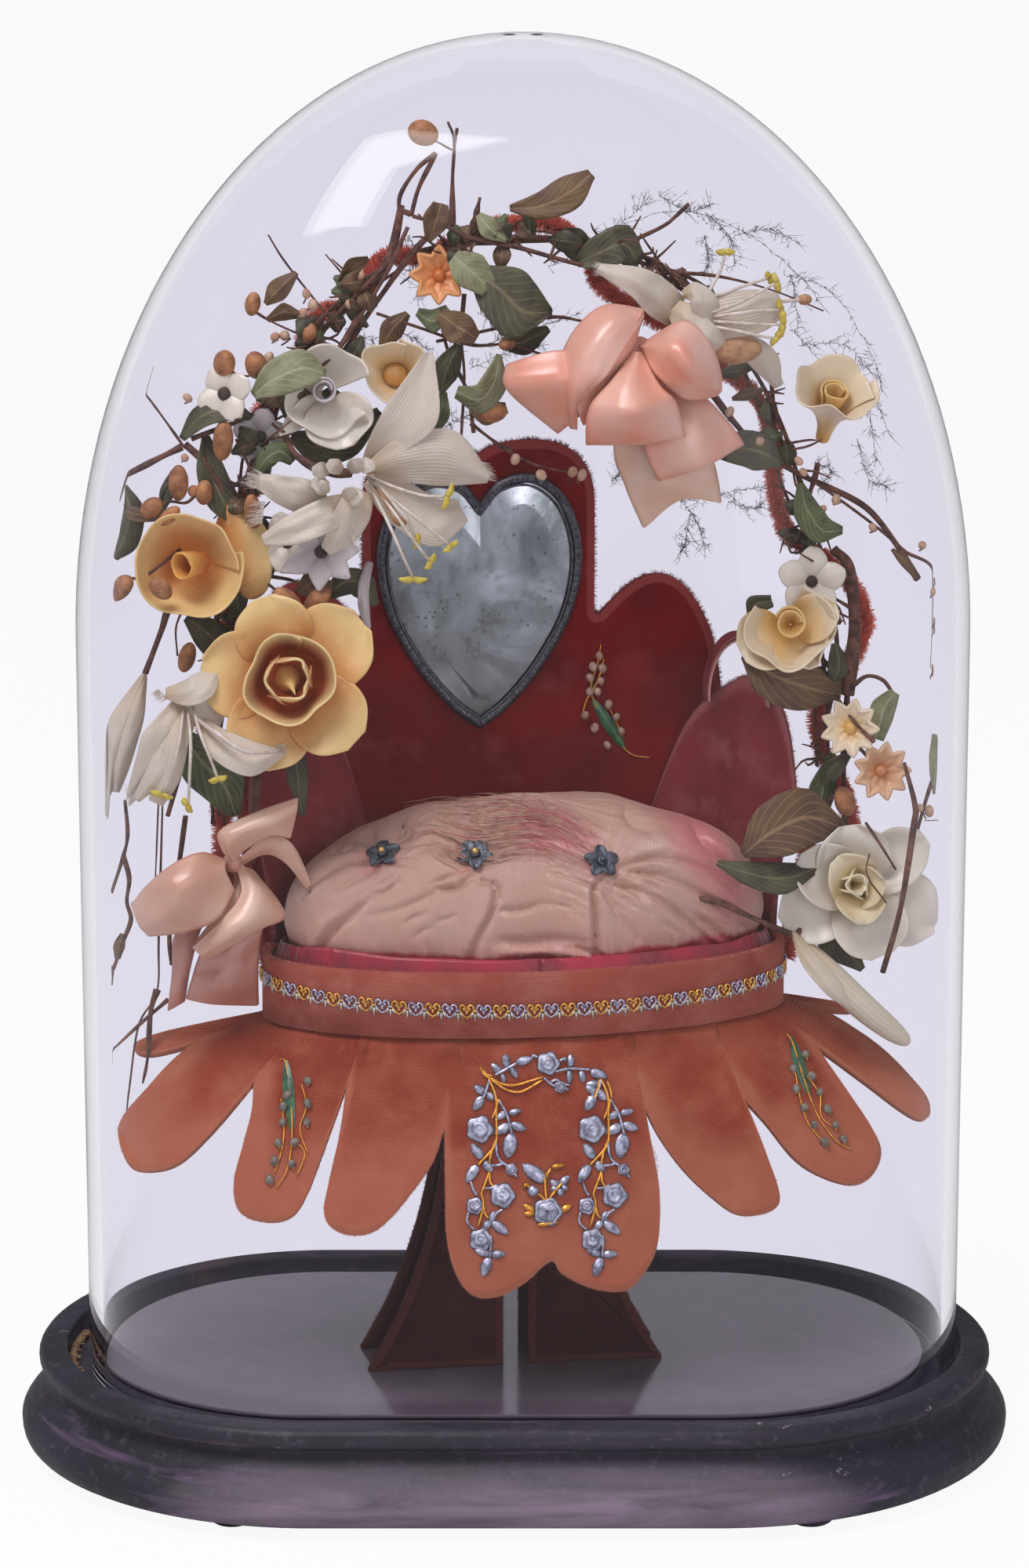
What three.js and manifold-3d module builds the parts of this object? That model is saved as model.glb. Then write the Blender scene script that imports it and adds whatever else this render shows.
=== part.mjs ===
// A French bridal globe: a velvet seat with a tufted satin cushion, a backboard with a heart mirror,
// and a wired garland of leaves, flowers and bows, all under a glass dome on an oval wooden plinth.
// Millimetres, +Z up, front towards -Y. The origin is on the table, under the middle of the plinth.

import * as THREE from "three";
import { mergeVertices } from "three/addons/utils/BufferGeometryUtils.js";
import Module from "manifold-3d";

const wasm = await Module();
wasm.setup();

// Fits
const clearance = 0.3;
const overrun = 4;
const weldDistance = 1e-3;
const probeShare = 0.01;

// Seat and stand
const seatHalfWidth = 91;
const seatHalfDepth = 42;
const seatForward = 11.9;
const seatSideways = 3.7;
const standTurn = THREE.MathUtils.degToRad(8);
const legHeight = 125;
const legThickness = 4;
const legSpread = 12;
const legGap = 4.5;
const legFootWidth = 47;
const legTopWidth = 20;
const legShift = -5;
const seatBoardThickness = 5;
const bandHeight = 22.5;
const bandWall = 3;

// Apron
const apronThickness = 3.2;
const apronFlange = 14;
const frontLobeLength = 89;
const frontScallopDepth = 17;
const sideLobeLength = 66;
const backLobeLength = 50;
const notchLength = 20;
const frontNotchLength = 32;
const frontSlope = THREE.MathUtils.degToRad(75);
const frontLean = 0.7;

// Cushion
const cushionHeight = 69;
const cushionSideHeight = 27;
const cushionInset = 8;
const tuftDepth = 7;
const tuftReach = 15;
const hemHeight = 6;
const hemThickness = 1.6;

// Backboard, wings and mirror
const boardThickness = 4.5;
const boardPanelHalfWidth = 40.5;
const boardHeight = 190;
const boardLobeReach = 48;
const boardLobeHeight = 139;
const boardShift = -10;
const wingThickness = 3;
const wingHeight = 85;
const wingLean = 8;
const strapHeight = 24;
const strapWidth = 9;
const mirrorHalfWidth = 35.5;
const mirrorHeight = 88;
const mirrorFoot = 90;
const mirrorFrameWidth = 3.6;
const mirrorFrameThickness = 3.4;
const mirrorGlassThickness = 2;

// Metal ornaments
const heartCount = 38;
const heartHeight = 8.5;
const heartThickness = 1.2;
const tuftFlowerSpan = 12;
const tuftPinRadius = 1.1;
const tuftPinLength = 4;
const ornamentThickness = 1.6;
const ornamentWire = 0.8;
const garlandOrnamentHalfWidth = 23;
const garlandOrnamentLength = 74;
const sprigLength = 38;

// Garland
const garlandHalfWidth = 140;
const garlandHalfDepth = 60;
const garlandHeight = 300;
const archHalfWidth = 112;
const archHeight = 263;
const archDepth = 12;
const archRadius = 4.5;
const archWave = 3.2;
const stemRadius = 2.1;
const twigRadius = 1.1;
const stalkRadius = 1.2;
const leafThickness = 0.9;
const petalThickness = 1.2;
const ribbonThickness = 1;

// Dome
const domeWall = 2.5;
const domeHeadroom = 29;
const domeCapRise = 203;
const domeEndGap = 10.5;
const domeFrontGap = 5.6;
const domeShift = 3;

// Plinth
const footHeight = 4;
const footRadius = 7.8;
const footSpigotRadius = 3.2;
const footSpigotLength = 6;
const footInset = 10;
const plinthHeight = 33.3;
const grooveDepth = 8;
const grooveOuterGap = 5;
const grooveInnerGap = 5.5;
const lipWidth = 10;
const lipHeight = 7.5;
const bulgeOverhang = 6.5;
const bulgeHeight = 7.5;
const coveDepth = 4.5;
const panelThickness = 1.7;
const sealThickness = 2.4;

// Fineness
const ovalSegments = 28;
const seatSegments = 18;
const archSides = 5;

// Places worked out from the sizes
const plinthTop = footHeight + plinthHeight;
const grooveFloor = plinthTop - grooveDepth;
const panelTop = plinthTop - 0.06 * plinthHeight;
const islandTop = panelTop - panelThickness - clearance;
const seatBottom = panelTop + legHeight + 2 * clearance;
const apronTop = seatBottom - clearance;
const bandTop = seatBottom + bandHeight;
const cushionBottom = seatBottom + seatBoardThickness + clearance;
const boardFront = seatHalfDepth + clearance;
const archPlane = archDepth;
const stemPlane = archPlane - archRadius - stemRadius - clearance;

// Materials
const finish = (color, roughness, metalness = 0) =>
  new THREE.MeshStandardMaterial({ color, roughness, metalness });
const ebonised = finish("#2f2c3c", 0.75);
const blackGloss = finish("#17161c", 0.15);
const feltStrip = finish("#6b5443", 0.95);
const rustVelvet = finish("#a94b33", 0.9);
const wineVelvet = finish("#63141c", 0.9);
const brownVelvet = finish("#3f1a1e", 0.9);
const card = finish("#8a7560", 0.9);
const satin = finish("#d9b394", 0.45);
const crimsonSilk = finish("#aa1230", 0.5);
const pewter = finish("#55565c", 0.45, 0.8);
const silver = finish("#a9adb8", 0.35, 0.9);
const gilt = finish("#c9973a", 0.35, 0.9);
const mirrorSilver = finish("#9fa3a6", 0.1, 0.9);
const chenille = finish("#a8473c", 0.95);
const bark = finish("#5b3f31", 0.9);
const leafGreen = finish("#6f7350", 0.8);
const enamelGreen = finish("#2f6b3a", 0.5, 0.3);
const yellowWax = finish("#e8c57e", 0.55);
const whiteWax = finish("#dedad4", 0.5);
const creamWax = finish("#ead9b4", 0.5);
const orangeWax = finish("#d99a5e", 0.6);
const silk = finish("#e6dccb", 0.5);
const peachSatin = finish("#e6a283", 0.4);
const glass = finish("#e9e6f0", 0.05);

// Solids and their unions

function solidOf(geometry) {
  const bare = new THREE.BufferGeometry();
  bare.setAttribute("position", geometry.getAttribute("position"));
  if (geometry.index) bare.setIndex(geometry.index);
  const welded = mergeVertices(bare, weldDistance);
  return new wasm.Manifold(
    new wasm.Mesh({
      numProp: 3,
      vertProperties: new Float32Array(welded.getAttribute("position").array),
      triVerts: new Uint32Array(welded.index.array),
    }),
  );
}

function geometryOf(solid) {
  const mesh = solid.getMesh();
  const geometry = new THREE.BufferGeometry();
  geometry.setAttribute("position", new THREE.BufferAttribute(new Float32Array(mesh.vertProperties), 3));
  geometry.setIndex(new THREE.BufferAttribute(new Uint32Array(mesh.triVerts), 1));
  geometry.computeVertexNormals();
  return geometry;
}

const joined = (...geometries) =>
  geometries.flat().map(solidOf).reduce((whole, piece) => whole.add(piece));

function largestBody(solid) {
  return solid.decompose().reduce((best, body) => (body.volume() > best.volume() ? body : best));
}

// The same solid with every face moved out by a small distance, to cut a neighbour clear of it.
function grown(solid, distance) {
  const geometry = geometryOf(solid);
  const position = geometry.getAttribute("position");
  const normal = geometry.getAttribute("normal");
  for (let i = 0; i < position.count; i++) {
    position.setXYZ(
      i,
      position.getX(i) + distance * normal.getX(i),
      position.getY(i) + distance * normal.getY(i),
      position.getZ(i) + distance * normal.getZ(i),
    );
  }
  return solidOf(geometry);
}

function boxesMeet(a, b) {
  const one = a.boundingBox();
  const two = b.boundingBox();
  return [0, 1, 2].every((k) => one.min[k] < two.max[k] + clearance && two.min[k] < one.max[k] + clearance);
}

// Geometry helpers

function warped(geometry, move) {
  const position = geometry.getAttribute("position");
  const point = new THREE.Vector3();
  for (let i = 0; i < position.count; i++) {
    point.fromBufferAttribute(position, i);
    move(point);
    position.setXYZ(i, point.x, point.y, point.z);
  }
  return geometry;
}

// A thin sheet over a surface given as a function of two shares from 0 to 1.
function sheet(surface, columns, rows, thickness) {
  const near = (share) => THREE.MathUtils.clamp(share, 0, 1);
  return warped(new THREE.BoxGeometry(1, 1, 1, columns, rows, 1), (point) => {
    const u = point.x + 0.5;
    const v = point.y + 0.5;
    const across = surface(near(u + probeShare), v).sub(surface(near(u - probeShare), v));
    const along = surface(u, near(v + probeShare)).sub(surface(u, near(v - probeShare)));
    const normal = across.cross(along).normalize();
    point.copy(surface(u, v).addScaledVector(normal, point.z * thickness));
  });
}

function polygon(radius, sides) {
  const corners = Array.from({ length: sides }, (_, i) => {
    const angle = (2 * Math.PI * i) / sides;
    return new THREE.Vector2(radius * Math.cos(angle), radius * Math.sin(angle));
  });
  return new THREE.Shape(corners);
}

function tubeAlong(curve, radius, sides, steps) {
  const section = polygon(radius, sides);
  return new THREE.ExtrudeGeometry(section, { steps, extrudePath: curve, bevelEnabled: false });
}

const tube = (points, radius, sides, steps) =>
  tubeAlong(new THREE.CatmullRomCurve3(points), radius, sides, steps);

function upright(geometry) {
  return geometry.rotateX(Math.PI / 2);
}

// Turns a geometry built along +Z to face a direction, and moves it to a place.
function aimed(geometry, place, direction) {
  const turn = new THREE.Quaternion().setFromUnitVectors(
    new THREE.Vector3(0, 0, 1),
    direction.clone().normalize(),
  );
  return geometry.applyQuaternion(turn).translate(place.x, place.y, place.z);
}

// A revolved solid pulled out into an oval: each half of it is moved sideways by half the straight.
// The move fades with the radius where the solid closes to a point.
function oval(profile, halfStraight, fullRadius) {
  const start = Math.PI / ovalSegments;
  const geometry = upright(new THREE.LatheGeometry(profile, ovalSegments, start));
  return warped(geometry, (point) => {
    const radius = Math.hypot(point.x, point.y);
    const share = fullRadius ? Math.min(1, radius / fullRadius) : 1;
    if (radius > weldDistance) point.x += Math.sign(point.x) * halfStraight * share;
  });
}

// Apron: a sheet of card covered in velvet, cut into lobes, that droops in front and lies out at the sides

const lobeEdges = [0, 22, 44.5, 69, 88, 104].map(THREE.MathUtils.degToRad);
const lobeLengths = [frontLobeLength, sideLobeLength, sideLobeLength, sideLobeLength, backLobeLength];
const notchLengths = [frontNotchLength, notchLength, notchLength, notchLength, 0];
const apronEnd = lobeEdges[lobeEdges.length - 1];
const lobeSquareness = 3;

function apronReach(turn) {
  const side = Math.min(Math.abs(turn), apronEnd);
  const lobe = Math.min(lobeLengths.length - 1, lobeEdges.findIndex((edge) => edge >= side) - 1);
  const index = Math.max(0, lobe);
  const inner = index === 0 ? -lobeEdges[1] : lobeEdges[index];
  const share = (side - inner) / (lobeEdges[index + 1] - inner);
  const outerNotch = notchLengths[index];
  const innerNotch = index === 0 ? outerNotch : notchLengths[index - 1];
  const notch = share < 0.5 ? innerNotch : outerNotch;
  const full = Math.pow(Math.abs(2 * share - 1), lobeSquareness);
  const scallop = index === 0 ? frontScallopDepth * Math.exp(-Math.pow(side / (0.26 * lobeEdges[1]), 2)) : 0;
  return notch + (lobeLengths[index] - notch) * Math.pow(1 - full, 1 / lobeSquareness) - scallop;
}

const apronSlope = (turn) => frontSlope * Math.cos(0.78 * turn);

// A point on the top of the apron: turn is measured from the front, out from the edge of the seat.
function apronPoint(turn, out, lift = 0) {
  const rootX = seatHalfWidth - bandWall;
  const rootY = seatHalfDepth - bandWall;
  const normal = new THREE.Vector2(Math.sin(turn), -frontLean * Math.cos(turn)).normalize();
  const bend = Math.min(1, Math.max(0, out) / (2 * bandWall));
  const slope = apronSlope(turn) * bend;
  const level = out * Math.cos(slope) + lift * Math.sin(slope);
  return new THREE.Vector3(
    rootX * Math.sin(turn) + normal.x * level,
    -rootY * Math.cos(turn) + normal.y * level,
    apronTop - out * Math.sin(slope) + lift * Math.cos(slope),
  );
}

function apron() {
  const columnsPerLobe = 5;
  const lobeColumns = 2 * lobeLengths.length * columnsPerLobe;
  const turnAt = (u) => {
    const place = Math.abs(2 * u - 1) * lobeLengths.length;
    const lobe = Math.min(lobeLengths.length - 1, Math.floor(place));
    const turn = THREE.MathUtils.lerp(lobeEdges[lobe], lobeEdges[lobe + 1], place - lobe);
    return Math.sign(2 * u - 1) * turn;
  };
  const skirt = sheet(
    (u, v) => {
      const turn = turnAt(u);
      const out = THREE.MathUtils.lerp(-apronFlange, Math.max(apronReach(turn), notchLengths[1] / 2), v);
      return apronPoint(turn, out, -apronThickness / 2);
    },
    lobeColumns,
    3,
    apronThickness,
  );
  return solidOf(skirt);
}

// The dome's room: as long as the garland or the side lobes need, as deep as the front lobes need
const sideReach = sideLobeLength * Math.cos(apronSlope(lobeEdges[3]));
const frontReach = frontLobeLength * Math.cos(frontSlope);
const lobeReach = seatHalfWidth + 0.9 * sideReach - bandWall;
const domeInnerHalfLength = Math.max(garlandHalfWidth, lobeReach) + domeEndGap;
const domeInnerHalfDepth = seatHalfDepth + seatForward + frontReach + domeFrontGap;
const halfStraight = domeInnerHalfLength - domeInnerHalfDepth;
const domeRadius = domeInnerHalfDepth + domeWall;
const domeFoot = grooveFloor + clearance;
const domeApex = seatBottom + garlandHeight + domeHeadroom + domeWall;

// Base

const lipInner = domeRadius + grooveOuterGap;
const lipOuter = lipInner + lipWidth;
const bulgeRadius = lipOuter + bulgeOverhang;
const islandRadius = domeInnerHalfDepth - grooveInnerGap;

function plinth() {
  const profile = new THREE.Path();
  profile.moveTo(0, footHeight);
  profile.lineTo(lipOuter, footHeight);
  profile.quadraticCurveTo(bulgeRadius, footHeight, bulgeRadius, footHeight + bulgeHeight);
  profile.bezierCurveTo(
    bulgeRadius,
    footHeight + 1.7 * bulgeHeight,
    lipOuter - coveDepth,
    plinthTop - 2 * lipHeight,
    lipOuter - coveDepth,
    plinthTop - lipHeight,
  );
  profile.quadraticCurveTo(lipOuter, plinthTop - 1.05 * lipHeight, lipOuter, plinthTop - 0.5 * lipHeight);
  profile.quadraticCurveTo(lipOuter, plinthTop, lipOuter - 0.35 * lipWidth, plinthTop);
  profile.lineTo(lipInner, plinthTop);
  profile.lineTo(lipInner, grooveFloor);
  profile.lineTo(islandRadius, grooveFloor);
  profile.lineTo(islandRadius, islandTop);
  profile.lineTo(0, islandTop);
  const body = solidOf(oval(profile.getPoints(3), halfStraight));
  return footPlaces().reduce((left, place) => left.subtract(spigotHole(place)), body);
}

function footPlaces() {
  const x = halfStraight + 0.32 * lipOuter;
  const y = lipOuter - footInset;
  const inset = y * Math.cos(Math.asin((x - halfStraight) / y));
  return [
    new THREE.Vector2(-x + 0.5 * footInset, -inset),
    new THREE.Vector2(x, -inset),
    new THREE.Vector2(-x + 0.5 * footInset, inset),
    new THREE.Vector2(x, inset),
  ];
}

function spigotHole(place) {
  const radius = footSpigotRadius + clearance;
  const depth = footSpigotLength + clearance;
  const hole = upright(new THREE.CylinderGeometry(radius, radius, depth + overrun, 8));
  return solidOf(hole.translate(place.x, place.y, footHeight + (depth - overrun) / 2));
}

function bunFoot() {
  const top = footHeight - clearance;
  const outline = [
    [0, 0],
    [0.62 * footRadius, 0],
    [0.95 * footRadius, 0.35 * top],
    [footRadius, 0.7 * top],
    [0.9 * footRadius, top],
    [footSpigotRadius, top],
    [footSpigotRadius, top + footSpigotLength],
    [0, top + footSpigotLength],
  ];
  return solidOf(upright(new THREE.LatheGeometry(outline.map(([r, z]) => new THREE.Vector2(r, z)), 10)));
}

function floorPanel() {
  const profile = [
    new THREE.Vector2(0, panelTop - panelThickness),
    new THREE.Vector2(islandRadius, panelTop - panelThickness),
    new THREE.Vector2(islandRadius, panelTop),
    new THREE.Vector2(0, panelTop),
  ];
  return solidOf(oval(profile, halfStraight));
}

// The worn strip lies in the groove outside the glass, from the left end round to right of the middle.
function grooveSeal() {
  const outer = lipInner - clearance;
  const inner = outer - grooveOuterGap + domeShift / 2 + 2 * clearance;
  const bottom = grooveFloor + clearance;
  const corners = [
    [inner, bottom],
    [outer, bottom],
    [outer, bottom + sealThickness],
    [inner, bottom + sealThickness],
    [inner, bottom],
  ].map(([r, z]) => new THREE.Vector2(r, z));
  const ring = solidOf(oval(corners, halfStraight));
  const reach = 2 * (halfStraight + lipOuter);
  const kept = new THREE.BoxGeometry(reach, reach, plinthHeight);
  kept.translate(0.6 * halfStraight - reach / 2, 0.18 * lipOuter - reach / 2, plinthTop - plinthHeight / 2);
  return largestBody(ring.intersect(solidOf(kept)));
}

// Dome

function domeProfile(radius, foot, apex) {
  const spring = domeApex - domeCapRise;
  const steps = 8;
  const points = [new THREE.Vector2(0, foot), new THREE.Vector2(radius, foot)];
  for (let i = 0; i <= steps; i++) {
    const angle = (Math.PI / 2) * (i / steps);
    points.push(new THREE.Vector2(radius * Math.cos(angle), spring + (apex - spring) * Math.sin(angle)));
  }
  points[points.length - 1].x = 0;
  return points;
}

function glassDome() {
  const outer = oval(domeProfile(domeRadius, domeFoot, domeApex), halfStraight, domeRadius);
  const innerRadius = domeInnerHalfDepth;
  const inner = oval(
    domeProfile(innerRadius, domeFoot - overrun, domeApex - domeWall),
    halfStraight,
    innerRadius,
  );
  return solidOf(outer).subtract(solidOf(inner));
}

// Stand

function leg(side, end) {
  const bottom = panelTop + clearance;
  const inner = legGap;
  const shape = new THREE.Shape();
  shape.moveTo(inner, 0);
  shape.lineTo(inner + legFootWidth, 0);
  shape.quadraticCurveTo(
    inner + 0.72 * legTopWidth,
    0.42 * legHeight,
    inner + legTopWidth,
    legHeight,
  );
  shape.lineTo(inner, legHeight);
  const board = new THREE.ExtrudeGeometry(shape, {
    depth: legThickness,
    bevelEnabled: false,
    curveSegments: 8,
  });
  upright(board).translate(0, legThickness / 2, bottom);
  if (side < 0) board.rotateZ(Math.PI);
  return solidOf(board.translate(legShift, end * legSpread, 0));
}

const ellipseShape = (halfWidth, halfDepth) => {
  const shape = new THREE.Shape();
  shape.absellipse(0, 0, halfWidth, halfDepth, 0, 2 * Math.PI);
  return shape;
};

function seatPlate(halfWidth, halfDepth, thickness, bottom) {
  const plate = new THREE.ExtrudeGeometry(ellipseShape(halfWidth, halfDepth), {
    depth: thickness,
    bevelEnabled: false,
    curveSegments: seatSegments,
  });
  return solidOf(plate.translate(0, 0, bottom));
}

function seatBoard() {
  const inset = bandWall + clearance;
  return seatPlate(seatHalfWidth - inset, seatHalfDepth - inset, seatBoardThickness, seatBottom);
}

function galleryBand() {
  const ring = seatPlate(seatHalfWidth, seatHalfDepth, bandHeight, seatBottom);
  const room = seatPlate(
    seatHalfWidth - bandWall,
    seatHalfDepth - bandWall,
    bandHeight + 2 * overrun,
    seatBottom - overrun,
  );
  return ring.subtract(room);
}

// The galloon: a strip round the front of the band, cut into a chain of hearts that hang point down
function bandTrim() {
  const halfTurn = Math.PI / 2;
  const steps = 2 * heartCount;
  const level = seatBottom + 0.56 * bandHeight;
  const out = clearance + heartThickness / 2;
  const turns = evenTurns(seatHalfWidth + out, seatHalfDepth + out, -halfTurn, halfTurn, steps);
  const chain = sheet(
    (u, v) => {
      const column = THREE.MathUtils.clamp(u * steps, 0, steps);
      const before = Math.min(steps - 1, Math.floor(column));
      const turn = THREE.MathUtils.lerp(turns[before], turns[before + 1], column - before);
      const odd = Math.abs(((column + 1) % 2) - 1);
      const foot = THREE.MathUtils.lerp(-0.1, -0.6, odd);
      const head = THREE.MathUtils.lerp(0.42, 0.26, odd);
      return new THREE.Vector3(
        (seatHalfWidth + out) * Math.sin(turn),
        -(seatHalfDepth + out) * Math.cos(turn),
        level + heartHeight * THREE.MathUtils.lerp(foot, head, v),
      );
    },
    steps,
    1,
    heartThickness,
  );
  return solidOf(chain);
}

// Turns that divide a stretch of an ellipse into even steps
function evenTurns(halfWidth, halfDepth, from, to, steps) {
  const fine = 8 * steps;
  const turnAt = (i) => THREE.MathUtils.lerp(from, to, i / fine);
  const lengths = [0];
  for (let i = 1; i <= fine; i++) {
    const turn = (turnAt(i) + turnAt(i - 1)) / 2;
    lengths.push(lengths[i - 1] + Math.hypot(halfWidth * Math.cos(turn), halfDepth * Math.sin(turn)));
  }
  return Array.from({ length: steps + 1 }, (_, n) => {
    const wanted = (lengths[fine] * n) / steps;
    return turnAt(Math.max(0, lengths.findIndex((length) => length >= wanted - weldDistance)));
  });
}

// Cushion

const cushionHalfWidth = seatHalfWidth - cushionInset;
const cushionHalfDepth = seatHalfDepth - cushionInset;
// Sideways and forwards, as shares of the cushion's half width and half depth
const tuftShares = [
  [-0.6, -0.36],
  [-0.24, -0.62],
  [0.27, -0.7],
];

// The crown's height over a place on the plan, before the tufts draw it down
function crownHeight(x, y) {
  const plan = Math.min(1, Math.pow(x / cushionHalfWidth, 2) + Math.pow(y / cushionHalfDepth, 2));
  return cushionBottom + cushionSideHeight + (cushionHeight - cushionSideHeight) * Math.pow(1 - plan, 0.42);
}

const tuftPlace = ([sx, sy]) => new THREE.Vector2(sx * cushionHalfWidth, sy * cushionHalfDepth);

function cushion() {
  const ball = new THREE.SphereGeometry(1, 32, 16).rotateX(Math.PI / 2);
  const tufts = tuftShares.map(tuftPlace);
  const pillow = warped(ball, (point) => {
    const level = point.z;
    const plan = Math.hypot(point.x, point.y) || 1;
    const spread = Math.pow(Math.min(1, plan), level > 0 ? 1 : 0.55);
    const drawnIn = level > 0 ? 1 : 1 - 0.1 * Math.pow(Math.min(1, -level), 1.2);
    point.x *= (spread / plan) * cushionHalfWidth * drawnIn;
    point.y *= (spread / plan) * cushionHalfDepth * drawnIn;
    if (level <= 0) {
      point.z = cushionBottom + cushionSideHeight * Math.max(0, 1 + 1.25 * level);
      return;
    }
    const pull = tufts.reduce((most, tuft) => {
      const away = Math.hypot(point.x - tuft.x, point.y - tuft.y);
      return Math.max(most, Math.exp(-Math.pow(away / tuftReach, 2)));
    }, 0);
    point.z = crownHeight(point.x, point.y) - tuftDepth * pull;
  });
  return largestBody(solidOf(pillow));
}

function cushionHem() {
  const outerX = seatHalfWidth - bandWall - clearance;
  const outerY = seatHalfDepth - bandWall - clearance;
  const bottom = bandTop - hemHeight / 2;
  const ring = seatPlate(outerX, outerY, hemHeight, bottom);
  const innerX = outerX - hemThickness;
  const innerY = outerY - hemThickness;
  const room = seatPlate(innerX, innerY, hemHeight + 2 * overrun, bottom - overrun);
  return ring.subtract(room);
}

function tuftFlower(shares) {
  const place = tuftPlace(shares);
  const normal = crownNormal(place.x, place.y);
  const disc = rosette(5, tuftFlowerSpan / 2, { notch: 0.6, rootAngle: 0, tipAngle: 0.2 });
  const pin = upright(new THREE.CylinderGeometry(tuftPinRadius, tuftPinRadius, tuftPinLength, 6));
  const head = new THREE.SphereGeometry(1.5 * tuftPinRadius, 6, 4).translate(0, 0, tuftPinLength);
  pin.translate(0, 0, tuftPinLength / 2);
  const seat = new THREE.Vector3(place.x, place.y, crownHeight(place.x, place.y) - tuftDepth);
  seat.addScaledVector(normal, 4 * clearance);
  return joined([disc, pin, head].map((piece) => aimed(piece, seat, normal)));
}

function crownNormal(x, y) {
  const step = probeShare * cushionHalfWidth;
  const slopeX = (crownHeight(x + step, y) - crownHeight(x - step, y)) / (2 * step);
  const slopeY = (crownHeight(x, y + step) - crownHeight(x, y - step)) / (2 * step);
  return new THREE.Vector3(-slopeX, -slopeY, 1).normalize();
}

// Backboard, wings and mirror

function backboard() {
  const w = boardPanelHalfWidth;
  const h = boardHeight;
  const lobe = boardLobeHeight;
  const shape = new THREE.Shape();
  shape.moveTo(-w - 0.75 * boardLobeReach, 0);
  shape.lineTo(w + 0.75 * boardLobeReach, 0);
  shape.quadraticCurveTo(w + 1.1 * boardLobeReach, 0.6 * lobe, w + 0.86 * boardLobeReach, 0.88 * lobe);
  shape.quadraticCurveTo(w + 0.6 * boardLobeReach, 1.1 * lobe, w + 0.2 * boardLobeReach, 0.98 * lobe);
  shape.lineTo(w, 0.92 * lobe);
  shape.lineTo(w, 0.88 * h);
  shape.quadraticCurveTo(w, h, 0.45 * w, h);
  shape.quadraticCurveTo(0.12 * w, h, 0, 0.975 * h);
  shape.quadraticCurveTo(-0.12 * w, h, -0.45 * w, h);
  shape.quadraticCurveTo(-w, h, -w, 0.88 * h);
  shape.lineTo(-w, 0.92 * lobe);
  shape.lineTo(-w - 0.2 * boardLobeReach, 0.98 * lobe);
  shape.quadraticCurveTo(-w - 0.6 * boardLobeReach, 1.1 * lobe, -w - 0.86 * boardLobeReach, 0.88 * lobe);
  shape.quadraticCurveTo(-w - 1.1 * boardLobeReach, 0.6 * lobe, -w - 0.75 * boardLobeReach, 0);
  const board = new THREE.ExtrudeGeometry(shape, {
    depth: boardThickness,
    bevelEnabled: false,
    curveSegments: 5,
  });
  return solidOf(upright(board).translate(boardShift, boardFront + boardThickness, seatBottom));
}

// A wing stands on the band behind the end of the cushion, leans out and may carry a curled strap.
// Heights along a wing, from its end beside the cushion round to its end behind it, as shares of its height
const wingShares = [0.62, 0.84, 0.97, 1, 0.94, 0.8, 0.5];
const wingFrom = { left: THREE.MathUtils.degToRad(106), right: THREE.MathUtils.degToRad(98) };
const wingTo = THREE.MathUtils.degToRad(148);

function wing(side, withStrap) {
  const bottom = bandTop + clearance;
  const halfWidth = seatHalfWidth - bandWall / 2;
  const halfDepth = seatHalfDepth - bandWall / 2;
  const last = wingShares.length - 1;
  const pointAt = (u, lift, lean) => {
    const turn = THREE.MathUtils.lerp(side < 0 ? wingFrom.left : wingFrom.right, wingTo, u);
    return new THREE.Vector3(
      side * (halfWidth + lean) * Math.sin(turn),
      -(halfDepth + lean) * Math.cos(turn),
      bottom + lift,
    );
  };
  const blade = (u, v) => {
    const place = Math.min(last, Math.max(0, u * last));
    const before = Math.min(last - 1, Math.floor(place));
    const share = THREE.MathUtils.lerp(wingShares[before], wingShares[before + 1], place - before);
    const height = wingHeight * share;
    const rise = side > 0 ? v : 1 - v;
    return pointAt(u, height * rise, wingLean * rise * rise);
  };
  const pieces = [sheet(blade, last, 2, wingThickness)];
  if (withStrap) {
    const strap = (u, v) => {
      const arch = Math.PI * u;
      const lift = wingHeight * 0.9 + strapHeight * Math.sin(arch);
      const point = pointAt(0.55 - 0.2 * Math.cos(arch), lift, wingLean);
      point.y -= strapWidth * (v - 0.3);
      return point;
    };
    pieces.push(sheet(strap, 7, 1, 0.7 * wingThickness));
  }
  return joined(pieces);
}

// Half of a heart as shares of its half width and height, from the notch to the tip
const heartHalfShares = [
  [0, 0.88],
  [0.22, 0.98],
  [0.55, 1],
  [0.86, 0.9],
  [1, 0.7],
  [0.9, 0.46],
  [0.6, 0.24],
  [0.26, 0.08],
  [0, 0],
];

function heartShape(halfWidth, height, foot) {
  const corners = heartHalfShares.map(([x, z]) => new THREE.Vector2(x * halfWidth, foot + z * height));
  const half = new THREE.SplineCurve(corners).getPoints(11);
  const other = half.slice(1, -1).reverse().map((point) => new THREE.Vector2(-point.x, point.y));
  return new THREE.Shape([...half, ...other]);
}

function heartPlate(halfWidth, height, foot, thickness, back) {
  const plate = new THREE.ExtrudeGeometry(heartShape(halfWidth, height, foot), {
    depth: thickness,
    bevelEnabled: false,
  });
  return solidOf(upright(plate).translate(boardShift, back, seatBottom));
}

function mirrorFrame() {
  const back = boardFront - clearance;
  const rim = heartPlate(mirrorHalfWidth, mirrorHeight, mirrorFoot, mirrorFrameThickness, back);
  const w = mirrorFrameWidth;
  const inner = heartPlate(
    mirrorHalfWidth - w,
    mirrorHeight - 3 * w,
    mirrorFoot + 1.8 * w,
    mirrorFrameThickness,
    back - mirrorGlassThickness / 2,
  );
  return rim.subtract(inner);
}

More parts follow.
